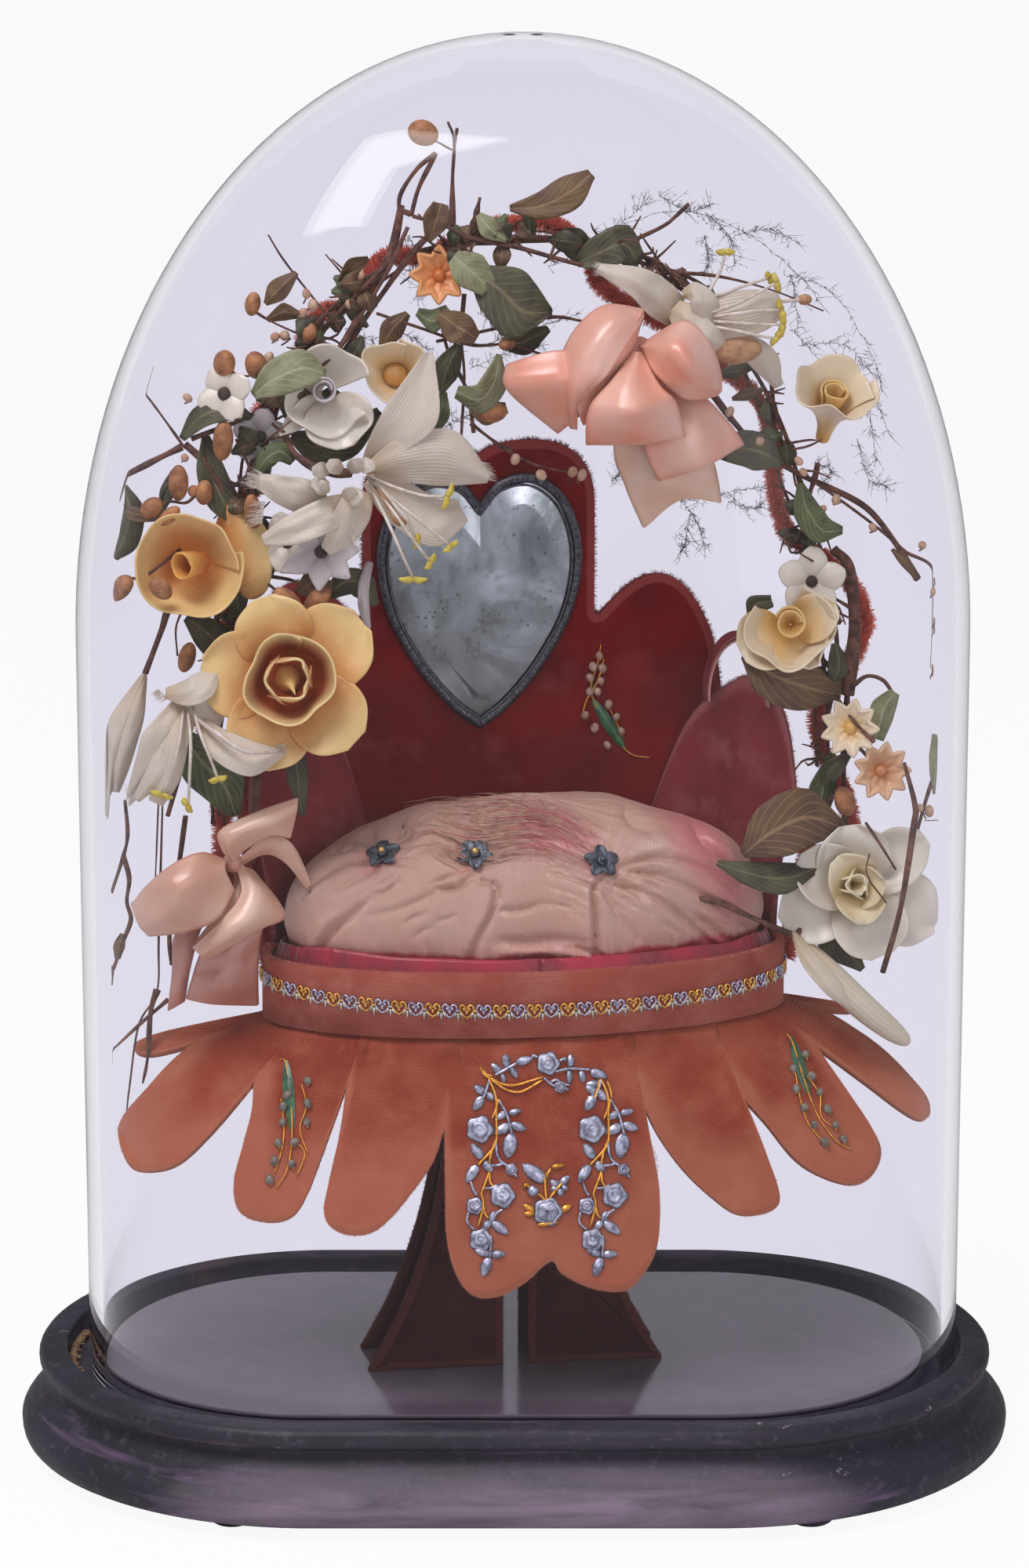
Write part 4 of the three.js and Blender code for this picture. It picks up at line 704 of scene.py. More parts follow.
class GLOBE_OT_plinth(bpy.types.Operator):
    """The ebonised plinth, its floor panel, the strip in its groove and its feet"""

    bl_idname = "globe.plinth"
    bl_label = "Plinth"

    def execute(self, context):
        wood = ebonised_wood()
        bm = bmesh.new()
        oval(bm, plinth_profile(), ROUND_STEPS, HALF_STRAIGHT)
        for vert in bm.verts:
            if vert.co.z > 5:
                vert.co += Vector((vert.co.x, vert.co.y, 0)).normalized() * wobble(vert.co, 31, 0.35)
        piece(bm, "plinth_wood", ["plinth"], "ebonised_wood", [wood], TO_METRES)

        bm = bmesh.new()
        edge, top, under = PANEL_RADIUS, PANEL_TOP, PANEL_TOP - 1.7
        section = [(0, under), (edge, under), (edge, top - 0.4), (edge - 0.4, top), (0, top)]
        oval(bm, section, ROUND_STEPS, HALF_STRAIGHT)
        for face in bm.faces:
            face.smooth = abs(face.normal.z) < 0.9
        piece(bm, "floor_panel_gloss", ["floor_panel"], "gloss_black_panel", [gloss_panel()], TO_METRES)

        self.strip()
        for name in ("foot_front_left", "foot_front_right", "foot_back_left", "foot_back_right"):
            low, high = (corner * 1000 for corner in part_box(name))
            middle = (low + high) / 2
            bm = bmesh.new()
            profile = [(0, 0), (4.4, 0), (6.2, 0.35), (7.3, 1.1), (7.8, 2.1), (7.7, 3.0), (7.0, 3.6), (3.2, 3.7)]
            oval(bm, profile + [(3.2, high.z), (0, high.z)], 32, 0)
            bmesh.ops.translate(bm, verts=bm.verts, vec=(middle.x, middle.y, 0))
            piece(bm, name + "_bun", [name], "ebonised_wood", [wood], TO_METRES)
        return {"FINISHED"}

    def strip(self):
        """The strip is torn: it thins out and frays, and crumbs of it lie in the groove."""
        rng = scatter("strip")
        low, high = (corner * 1000 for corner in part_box("groove_seal"))
        outer = PLINTH_RADIUS - 16.9
        start, stop = math.radians(166), math.radians(292)
        bm = bmesh.new()

        def on_oval(turn, radius, level):
            x, y = radius * math.cos(turn), radius * math.sin(turn)
            shift = HALF_STRAIGHT * min(1, max(-1, 9 * math.cos(turn)))
            return Vector((x + shift, y, level))

        def place(u, v):
            turn = lerp(start, stop, u)
            ragged = 0.5 * noise.noise(Vector((u * 90, 0, 0))) + 0.3 * noise.noise(Vector((u * 260, 4, 0)))
            width = 2.6 + ragged
            section = [(0, 0), (0, 1), (0.5, 1.15), (1, 1), (1, 0), (0, 0)]
            inwards, lift = along([Vector(point) for point in section], v)
            top = (high.z - low.z) * (0.75 + 0.5 * ragged)
            return on_oval(turn, outer - width * inwards, low.z + top * lift)

        patch(bm, 420, 10, place, welded=True)
        bmesh.ops.holes_fill(bm, edges=[edge for edge in bm.edges if edge.is_boundary], sides=12)
        for _ in range(170):
            turn = lerp(start, stop, rng.random())
            radius = outer - 0.6 - 3.2 * rng.random()
            flake = on_oval(turn, radius, low.z + 2.2 * rng.random())
            flat = Matrix.Translation(flake) @ Matrix.Diagonal((1.6, 1, 0.4, 1))
            bmesh.ops.create_icosphere(bm, subdivisions=1, radius=rng.uniform(0.25, 0.9), matrix=flat)
        felt = plain("brown_strip", linear(150, 122, 96), linear(84, 62, 48), 260, 0.95, 0.6)
        piece(bm, "groove_seal_strip", ["groove_seal"], "brown_strip", [felt], TO_METRES)


class GLOBE_OT_glass_dome(bpy.types.Operator):
    """The oval dome of blown glass"""

    bl_idname = "globe.glass_dome"
    bl_label = "Glass dome"

    def execute(self, context):
        wall = size("dome_wall")
        outer = dome_profile(DOME_RADIUS, DOME_FOOT + 0.6, DOME_APEX)
        inner = dome_profile(DOME_RADIUS - wall, DOME_FOOT + 0.6, DOME_APEX - wall)
        rim = [(DOME_RADIUS - wall * (0.2 + 0.3 * i), DOME_FOOT + (0.1 if i == 1 else 0)) for i in (2, 1, 0)]
        bm = bmesh.new()
        oval(bm, inner[::-1] + rim + outer, ROUND_STEPS, HALF_STRAIGHT, DOME_RADIUS)
        bmesh.ops.translate(bm, verts=bm.verts, vec=(DOME_SHIFT, 0, 0))
        piece(bm, "glass_dome_clear", ["glass_dome"], "clear_glass", [clear_glass()], TO_METRES, body="dome")
        return {"FINISHED"}


# ---- Stand ----


def edge_nap(bm, rng, outline, back, front, count, length, material=0):
    """Pile along the outline of a covered board, in the plane of x and z."""
    total = len(outline)

    def blade(_):
        i = rng.randrange(total)
        (ax, az), (bx, bz) = outline[i], outline[(i + 1) % total]
        t = rng.random()
        run = Vector((bx - ax, 0, bz - az))
        out = Vector((run.z, 0, -run.x)).normalized()
        root = Vector((lerp(ax, bx, t), lerp(back, front, rng.random()), lerp(az, bz, t)))
        lean = tossed(rng) * 0.5
        tip = root + (out + lean).normalized() * length * rng.uniform(0.35, 1.0)
        return root - out * 0.3, tip, run.normalized() * 0.1

    blades(bm, count, blade, material)


def signed_area(outline):
    """The area of an outline, above zero where it runs anticlockwise."""
    return sum(a[0] * b[1] - b[0] * a[1] for a, b in zip(outline, outline[1:] + outline[:1])) / 2


def widened(outline, spacing):
    """An outline, anticlockwise, with points added so that none are further apart than the spacing."""
    outline = outline if signed_area(outline) > 0 else outline[::-1]
    points = []
    for (ax, az), (bx, bz) in zip(outline, outline[1:] + outline[:1]):
        steps = max(1, math.ceil(math.hypot(bx - ax, bz - az) / spacing))
        points += [(lerp(ax, bx, i / steps), lerp(az, bz, i / steps)) for i in range(steps)]
    return points


class GLOBE_OT_legs(bpy.types.Operator):
    """Four velvet covered legs and the board that they carry"""

    bl_idname = "globe.legs"
    bl_label = "Legs and seat board"

    def execute(self, context):
        skin = velvet(
            "brown_velvet", colour("brown_velvet"), linear(92, 44, 44), linear(40, 15, 18), edge=0.98, shine=0.2
        )
        bottom, top = PANEL_TOP + CLEARANCE, APRON_TOP
        legs = ("front_left", -1, -1), ("front_right", 1, -1), ("back_left", -1, 1), ("back_right", 1, 1)
        for place, side, end in legs:
            name = "leg_" + place
            outline = [(4.5, bottom), (51.5, bottom)]
            outline += arc((51.5, bottom), (18.9, bottom + 52.5), (24.5, top - 0.3), 20) + [(4.5, top - 0.3)]
            outline = widened([(side * x - 5, z) for x, z in outline], 4)
            bm = bmesh.new()
            board(bm, outline, 3.2, 0.7, 0.4)
            edge_nap(bm, scatter(name), outline, -3.2, 0, 900, size("nap_length") * 0.8)
            bmesh.ops.translate(bm, verts=bm.verts, vec=(0, end * 12 + 1.6, 0))
            piece(bm, name + "_velvet", [name], "brown_velvet", [skin])
        card = plain("seat_card", linear(150, 128, 106), linear(112, 92, 76), 160, 0.9, 0.2)
        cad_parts["seat_board"].data.materials.clear()
        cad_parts["seat_board"].data.materials.append(card)
        return {"FINISHED"}


# The cut edge of the velvet as it shows, from the left to the right: degrees from the front and millimetres out.
APRON_EDGE = (
    (-104, 10), (-103, 40), (-101, 50), (-97, 44), (-95.2, 26), (-94.5, 29.4), (-87.5, 46.9), (-83.8, 59.4),
    (-79.3, 66.6), (-73.9, 70.1), (-69.8, 66.4), (-67.3, 59.4), (-66.5, 46.4), (-66.2, 24), (-66, 23.6),
    (-61.6, 32.8), (-58.6, 45.7), (-56.2, 58.5), (-52.6, 67.7), (-47.6, 68.7), (-44, 65.1), (-42.8, 56.3),
    (-42.4, 43.5), (-42.1, 19), (-41.9, 19), (-40.2, 34.4), (-39.5, 51.1), (-38.9, 61.7), (-36.4, 67.2),
    (-32.2, 68.3), (-28.5, 64.6), (-24.2, 52.8), (-21.1, 42.3), (-19.7, 32), (-19.5, 32), (-18.4, 48.3),
    (-17.3, 66.6), (-15.5, 78.7), (-12.6, 86.4), (-8.7, 87.3), (-4.3, 83), (0.3, 75.7), (2.2, 80.5), (7, 85.8),
    (11.9, 87.4), (14.9, 83.4), (18.3, 73.9), (20.2, 55.7), (20.4, 39.1), (20.55, 26.9), (20.65, 26.9),
    (22.5, 37.4), (25.8, 49.7), (30, 60.4), (33.4, 67), (37.5, 68.8), (40.9, 67.1), (42.2, 61.3), (42.6, 50.3),
    (42.9, 38.9), (43.15, 28.6), (43.3, 28.8), (45.8, 39.2), (47.9, 53), (50.7, 61.4), (55.3, 69.3), (59.4, 69.5),
    (64.2, 64.2), (66.4, 55.5), (68.6, 40.3), (71.2, 27.4), (73.9, 22), (74.8, 30), (75.3, 44.8), (75.7, 58.5),
    (76.6, 65.9), (78.6, 68.2), (82.2, 64.6), (85.1, 54.2), (88.9, 41), (92.6, 29), (97.8, 20), (101, 34),
    (103, 30), (104, 10),
)


def apron_point(turn, out, lift=0.0):
    """A point on the apron's top: turned from the front, and out from the edge of the seat."""
    normal = Vector((math.sin(turn), -0.7 * math.cos(turn))).normalized()
    bend = min(1, max(0, out) / (2 * WALL))
    slope = math.radians(75) * math.cos(0.78 * turn) * bend
    level = out * math.cos(slope) + lift * math.sin(slope)
    x, y = (SEAT_X - WALL) * math.sin(turn) + normal.x * level, -(SEAT_Y - WALL) * math.cos(turn) + normal.y * level
    return Vector((x, y, APRON_TOP - out * math.sin(slope) + lift * math.cos(slope)))


def on_apron(turn, out, lift=0.0):
    """A point on the apron as it hangs, with its slack."""
    free = min(1, max(0, out) / 66)
    return apron_point(turn, out, lift + wobble(Vector((turn * 60, out, 3)), 40, 1.6) * free)


def apron_edge():
    """The apron's cut edge in even steps, rounded between its points."""
    points = [Vector((math.radians(turn) * 90, out, 0)) for turn, out in APRON_EDGE]
    fine = [points[0]]
    for a, b, c, d in zip(points[:1] + points, points, points[1:], points[2:] + points[-1:]):
        for i in range(1, 13):
            t = i / 12
            bent = 0.5 * ((2 * b) + (c - a) * t + (2 * a - 5 * b + 4 * c - d) * t * t + (3 * b - a - 3 * c + d) * t**3)
            bent.x = max(bent.x, fine[-1].x + 0.004)
            fine.append(bent)
    lengths = lengths_along(fine)
    edge, i = [], 0
    for n in range(APRON_STEPS + 1):
        while i < len(fine) - 2 and lengths[i + 1] < lengths[-1] * n / APRON_STEPS:
            i += 1
        t = (lengths[-1] * n / APRON_STEPS - lengths[i]) / (lengths[i + 1] - lengths[i])
        point = fine[i].lerp(fine[i + 1], min(1, t))
        edge.append((point.x / 90, max(8, point.y)))
    return edge


class GLOBE_OT_apron(bpy.types.Operator):
    """The apron of velvet lobes that hangs from the seat"""

    bl_idname = "globe.apron"
    bl_label = "Apron"

    def execute(self, context):
        rng = scatter("apron")
        skin = velvet(
            "rust_velvet", colour("rust_velvet"), linear(200, 130, 102), linear(132, 50, 32),
            rows=520, edge=0.975, shine=0.45, fade=0.42,
        )
        edge = apron_edge()

        def surface(u, v):
            turn, reach = edge[APRON_STEPS - round(APRON_STEPS * u)]
            return on_apron(turn, lerp(-14, reach, v**0.8))

        bm = bmesh.new()
        patch(bm, APRON_STEPS, 26, surface)
        rims = [on_apron(turn, out) for turn, out in edge]
        inner = [on_apron(turn, out - 2.5) for turn, out in edge]

        def blade(_):
            i = rng.randrange(APRON_STEPS)
            t = rng.random()
            root, within = rims[i].lerp(rims[i + 1], t), inner[i].lerp(inner[i + 1], t)
            out = (root - within).normalized()
            side = (rims[i + 1] - rims[i]).cross(out).normalized()
            lean = tossed(rng) * 0.7
            start = root - out * 0.3 + side * rng.uniform(-2.6, 0.1) * (1 if side.z > 0 else -1)
            tip = start + (out + lean).normalized() * size("nap_length") * rng.uniform(0.25, 0.7)
            return start, tip, (rims[i + 1] - rims[i]).normalized() * 0.08

        piece(bm, "apron_velvet", ["apron"], "rust_velvet", [skin], wall=3.0)
        bm = bmesh.new()
        blades(bm, 16000, blade)
        pile = plain("rust_pile", linear(216, 146, 122), linear(170, 86, 62), 900, 0.95, 0.1)
        piece(bm, "apron_pile", [], "rust_velvet", [pile])
        return {"FINISHED"}


def rounded_loop(width, height, corner, steps):
    """The outline of a wall's section from its outer foot over its top to its inner foot."""
    points = [(0, 0), (0, height - corner)]
    points += [
        (corner * (1 - math.cos(a)), height - corner * (1 - math.sin(a)))
        for a in (math.pi / 2 * i / steps for i in range(1, steps + 1))
    ]
    points += [
        (width - corner * (1 - math.sin(a)), height - corner * (1 - math.cos(a)))
        for a in (math.pi / 2 * i / steps for i in range(steps + 1))
    ]
    return points + [(width, 0), (0, 0)]


def on_band(turn, out, level):
    """A point round the band: turned from the front, out from its face and up from the seat."""
    normal = Vector((math.sin(turn) / SEAT_X, -math.cos(turn) / SEAT_Y, 0)).normalized()
    face = Vector((SEAT_X * math.sin(turn), -SEAT_Y * math.cos(turn), SEAT_BOTTOM + level))
    return face + normal * out


def even_turns(start, stop, steps):
    """Turns that divide a stretch of the band into even steps."""
    fine = 4000
    turns = [lerp(start, stop, i / fine) for i in range(fine + 1)]
    lengths = lengths_along([on_band(turn, 0, 0) for turn in turns])
    found, i = [], 0
    for n in range(steps + 1):
        while i < fine and lengths[i] < lengths[-1] * n / steps - 1e-6:
            i += 1
        found.append(turns[i])
    return found


class GLOBE_OT_gallery_band(bpy.types.Operator):
    """The velvet band round the cushion, with its galloon of pierced hearts"""

    bl_idname = "globe.gallery_band"
    bl_label = "Gallery band and galloon"

    def execute(self, context):
        rng = scatter("band")
        height = BAND_TOP - SEAT_BOTTOM
        skin = velvet(
            "rose_velvet", colour("rose_velvet"), linear(212, 142, 124), linear(120, 48, 42),
            rows=430, edge=2.0, shine=0.7,
        )
        section = rounded_loop(WALL, height, 1.2, 4)
        bm = bmesh.new()

        def place(u, v):
            place_on = v * (len(section) - 1)
            i = min(int(place_on), len(section) - 2)
            inwards, lift = (lerp(a, b, place_on - i) for a, b in zip(section[i], section[i + 1]))
            turn = 2 * math.pi * u
            sway = 0.35 * noise.noise(Vector((math.sin(turn) * 3, math.cos(turn) * 3, lift / 14)))
            return on_band(turn, sway - inwards, lift)

        patch(bm, 200, len(section) - 1, place, welded=True)

        def blade(_):
            turn = rng.uniform(0, 2 * math.pi)
            root = on_band(turn, -rng.uniform(0.1, 1.5), height - 0.25)
            lean = tossed(rng, z=(0.2, 1.2))
            return root, root + lean.normalized() * size("nap_length") * 0.7, Vector((0.1, 0, 0))

        blades(bm, 3200, blade, 1)
        pile = plain("rose_pile", linear(206, 140, 124), linear(160, 84, 70), 900, 0.95, 0.1)
        piece(bm, "gallery_band_velvet", ["gallery_band"], "rust_velvet", [skin, pile])
        self.galloon()
        return {"FINISHED"}

    def galloon(self):
        """A chain of hearts, gold and silver in turn, with a small drop between each two."""
        bm = bmesh.new()
        steps = 38
        level, height = 11.6, size("heart_height")
        width = height * 0.92
        heart = [(0, 0.62), (0.2, 0.95), (0.44, 0.86), (0.5, 0.55), (0.32, 0.22), (0, -0.12)]
        outline = heart + [(-x, z) for x, z in heart[-2:0:-1]]
        turns = even_turns(-math.pi / 2, math.pi / 2, 600)
        total = lengths_along([on_band(turn, 0, 0) for turn in turns])[-1]

        def at(middle, x, out, z):
            share = 0.5 + (middle - steps) / (2 * steps) + x / total
            # It was sewn on by hand, and climbs towards its ends.
            climb = lerp(-2.2, 4.0 if share < 0.5 else 1.6, (2 * share - 1) ** 2)
            return on_band(along(turns, share), out, level + climb + z)

        def wire(middle, points, radius, material, sides=5, rings=None):
            path = [at(middle, x, 0.55, z) for x, z in points]
            rod(bm, path, [radius], sides, rings or 2 * len(points), material)

        for i in range(steps):
            middle = 2 * i + 1
            material = i % 2
            small = {"material": material, "segments": 6, "rings": 4}
            loop = [(x * width, (z - 0.45) * height * 0.8) for x, z in outline]
            wire(middle, loop + loop[:2], 0.36, material, 5, 20)
            dip = [(-0.22 * width, 0.2 * height), (0, -0.02 * height), (0.22 * width, 0.2 * height)]
            wire(middle, dip, 0.3, material)
            ball(bm, at(middle, 0, 0.6, -0.12 * height), 0.5, **small)
            for side in (-1, 1):
                ball(bm, at(middle, side * 0.2 * width, 0.6, 0.12 * height), 0.42, **small)
            join = 2 * i
            wire(join, [(-0.1 * width, 0), (0.1 * width, 0)], 0.4, 1 - material, 5, 2)
            for x, z, long, lean in ((0, -0.36, 0.44, 0), (-0.2, -0.3, 0.26, -0.6), (0.2, -0.3, 0.26, 0.6)):
                start = at(join, x * width * 0.6, 0.5, (z + 0.22) * height)
                end = at(join, (x + math.sin(lean) * long) * width, 0.5, (z - long) * height * 0.9)
                rod(bm, [start, start.lerp(end, 0.35), end], [0.22, 0.62, 0.05], 5, 4, 2)
        gold = metal("gilt_heart", linear(226, 176, 84), linear(150, 98, 44), 0.3, 900)
        silver = metal("silver_heart", linear(186, 186, 204), linear(104, 104, 124), 0.3, 900)
        drop = metal("pale_drop", linear(196, 190, 172), linear(140, 130, 110), 0.45, 900)
        piece(bm, "band_trim_hearts", ["band_trim"], "gilt_galloon", [gold, silver, drop])


# ---- Cushion ----

# Tufts as shares of the cushion's half width and depth.
TUFTS = ((-0.6, -0.36), (-0.24, -0.62), (0.27, -0.7))
# A fold is felt this many times its width away. Folds are looked up in squares of this many pixels.
FOLD_REACH, SQUARE = 2.5, 40
# The share of the cushion's skin, from its middle, that is its top.
TOP_SHARE = 0.72
# Folds as pixels of the photograph, with their width and depth in millimetres. A negative depth is a ridge.
FOLDS = (
    (((602, 1100), (632, 1118), (629, 1150), (608, 1190), (600, 1222)), 2.2, 1.0),
    (((620, 1112), (622, 1150), (598, 1200)), 4.0, -0.5),
    (((764, 1100), (757, 1125), (760, 1160), (760, 1222)), 1.8, 1.2),
    (((752, 1110), (748, 1160), (750, 1222)), 5.0, -0.6),
    (((628, 1150), (660, 1157), (700, 1150)), 2.2, 0.5),
    (((632, 1193), (680, 1200), (742, 1192)), 2.6, 0.8),
    (((630, 1206), (690, 1211), (744, 1204)), 2.6, -0.5),
    (((765, 1098), (800, 1118), (850, 1150), (905, 1196)), 2.0, 0.7),
    (((768, 1092), (830, 1108), (900, 1140), (950, 1182)), 2.0, 0.6),
    (((766, 1110), (782, 1140), (812, 1190)), 1.8, 0.6),
    (((775, 1086), (840, 1090), (905, 1106), (955, 1150)), 1.9, 0.5),
    (((600, 1098), (560, 1130), (520, 1150), (470, 1160)), 2.4, 0.4),
    (((598, 1100), (585, 1118), (556, 1126)), 1.8, 0.8),
    (((487, 1072), (450, 1084), (418, 1102)), 1.8, 0.6),
    (((487, 1074), (470, 1096), (440, 1120), (420, 1136)), 2.0, 0.45),
    (((486, 1066), (462, 1058), (430, 1064)), 1.6, 0.6),
    (((408, 1216), (420, 1190), (448, 1160), (470, 1138)), 2.4, 0.8),
    (((398, 1212), (412, 1180), (432, 1160)), 3.5, -0.5),
    (((376, 1150), (400, 1120), (430, 1100)), 2.2, 0.4),
    (((607, 1010), (612, 1024), (640, 1040), (668, 1044)), 3.0, 1.3),
    (((703, 1018), (700, 1034), (690, 1044)), 2.6, 1.1),
    (((798, 1026), (806, 1040), (828, 1056)), 2.6, 0.9),
    (((505, 1008), (500, 1030), (520, 1050)), 2.8, 1.0),
    (((880, 1046), (900, 1070), (938, 1100), (962, 1140)), 2.6, 0.8),
    (((440, 1020), (452, 1040), (480, 1058)), 2.4, 0.7),
)


def crown_height(x, y):
    """How high the cushion's top is before its tufts and folds."""
    plan = min(1, (x / CUSHION_X) ** 2 + (y / CUSHION_Y) ** 2)
    return CUSHION_BOTTOM + CUSHION_RIM + CUSHION_CROWN * (1 - plan) ** 0.42


def crown_normal(x, y):
    """Which way the cushion's top faces."""
    near = 0.8
    rise_x = (crown_height(x + near, y) - crown_height(x - near, y)) / (2 * near)
    rise_y = (crown_height(x, y + near) - crown_height(x, y - near)) / (2 * near)
    return Vector((-rise_x, -rise_y, 1)).normalized()


def tuft_pull(x, y):
    """How far the nearest tuft draws the top down, from 0 to 1."""
    pull = 0.0
    for sx, sy in TUFTS:
        away = math.hypot(x - sx * CUSHION_X, y - sy * CUSHION_Y)
        pull = max(pull, math.exp(-((away / 12) ** 1.5)))
    return pull


# Where fine gathers start, in pixels: centre, reach, first and last heading in degrees, length and how many.
GATHERS = (
    ((487, 1068), (10, 34), (-60, 60), 34, 16), ((487, 1072), (8, 24), (110, 250), 30, 9), ((600, 1096), (8, 26),
    (100, 260), 38, 16), ((765, 1092), (8, 36), (0, 62), 64, 26), ((765, 1090), (8, 20), (-80, -10), 34, 8),
    ((690, 1112), (4, 52), (-12, 12), 40, 12), ((450, 1150), (6, 50), (-48, -24), 36, 12), ((850, 1150), (10, 70),
    (24, 52), 40, 22), ((560, 1030), (10, 60), (-24, 4), 44, 18), ((640, 1050), (10, 60), (4, 40), 44, 16),
    ((700, 1196), (4, 40), (-6, 6), 36, 5), ((410, 1100), (8, 40), (-60, -30), 30, 8), ((905, 1080), (10, 50),
    (30, 60), 40, 10), ((690, 1150), (6, 40), (-8, 8), 30, 5), ((500, 1190), (10, 60), (-40, -20), 30, 6),
)


def fold_lines():
    """Short runs of every fold: both ends as pixels, the reach across it in pixels and its depth."""
    runs = []
    rng = scatter("gathers")
    folds = list(FOLDS)
    for (cx, cy), reach, headings, length, count in GATHERS:
        for _ in range(count):
            heading = math.radians(rng.uniform(*headings))
            away, long = rng.uniform(*reach), length * rng.uniform(0.6, 1.2)
            aside = rng.uniform(-0.3, 0.3) * reach[1]
            dx, dy = math.cos(heading), math.sin(heading)
            x, y = cx + away * dx - aside * dy, cy + away * dy + aside * dx
            bend = heading + rng.uniform(-0.25, 0.25)
            middle = (x + long / 2 * dx, y + long / 2 * dy)
            end = (middle[0] + long / 2 * math.cos(bend), middle[1] + long / 2 * math.sin(bend))
            folds.append((((x, y), middle, end), rng.uniform(0.8, 1.5), rng.uniform(0.12, 0.3)))
    for points, width, depth in folds:
        path = [along([Vector((x, y, 0)) for x, y in points], i / 10) for i in range(11)]
        for i, (a, b) in enumerate(zip(path, path[1:])):
            share = i + 0.5
            fade = math.sin(math.pi * share / 7 if i < 3.5 else math.pi * (1 - share / 10) / 1.1 + 0.3)
            runs.append((a.x, a.y, b.x - a.x, b.y - a.y, width * PIXELS_PER_MM, depth * max(0.25, fade)))
    return runs


def sorted_by_place(runs):
    """The runs near each square of the photograph."""
    squares = {}
    for run in runs:
        span = int(run[4] * FOLD_REACH / SQUARE) + 1
        column, row = int(run[0] // SQUARE), int(run[1] // SQUARE)
        for i in range(column - span, column + span + 1):
            for j in range(row - span, row + span + 1):
                squares.setdefault((i, j), []).append(run)
    return squares


def folded(px, py, squares):
    """How deep the folds are at a pixel of the photograph."""
    deepest = {}
    for ax, ay, dx, dy, reach, depth in squares.get((int(px // SQUARE), int(py // SQUARE)), ()):
        t = min(1, max(0, ((px - ax) * dx + (py - ay) * dy) / (dx * dx + dy * dy + 1e-6)))
        away = math.hypot(px - ax - dx * t, py - ay - dy * t) / reach
        if away < FOLD_REACH:
            value = depth * math.exp(-((away * 1.6) ** 1.4))
            key = (reach, depth > 0)
            if abs(value) > abs(deepest.get(key, 0)):
                deepest[key] = value
    return sum(deepest.values())


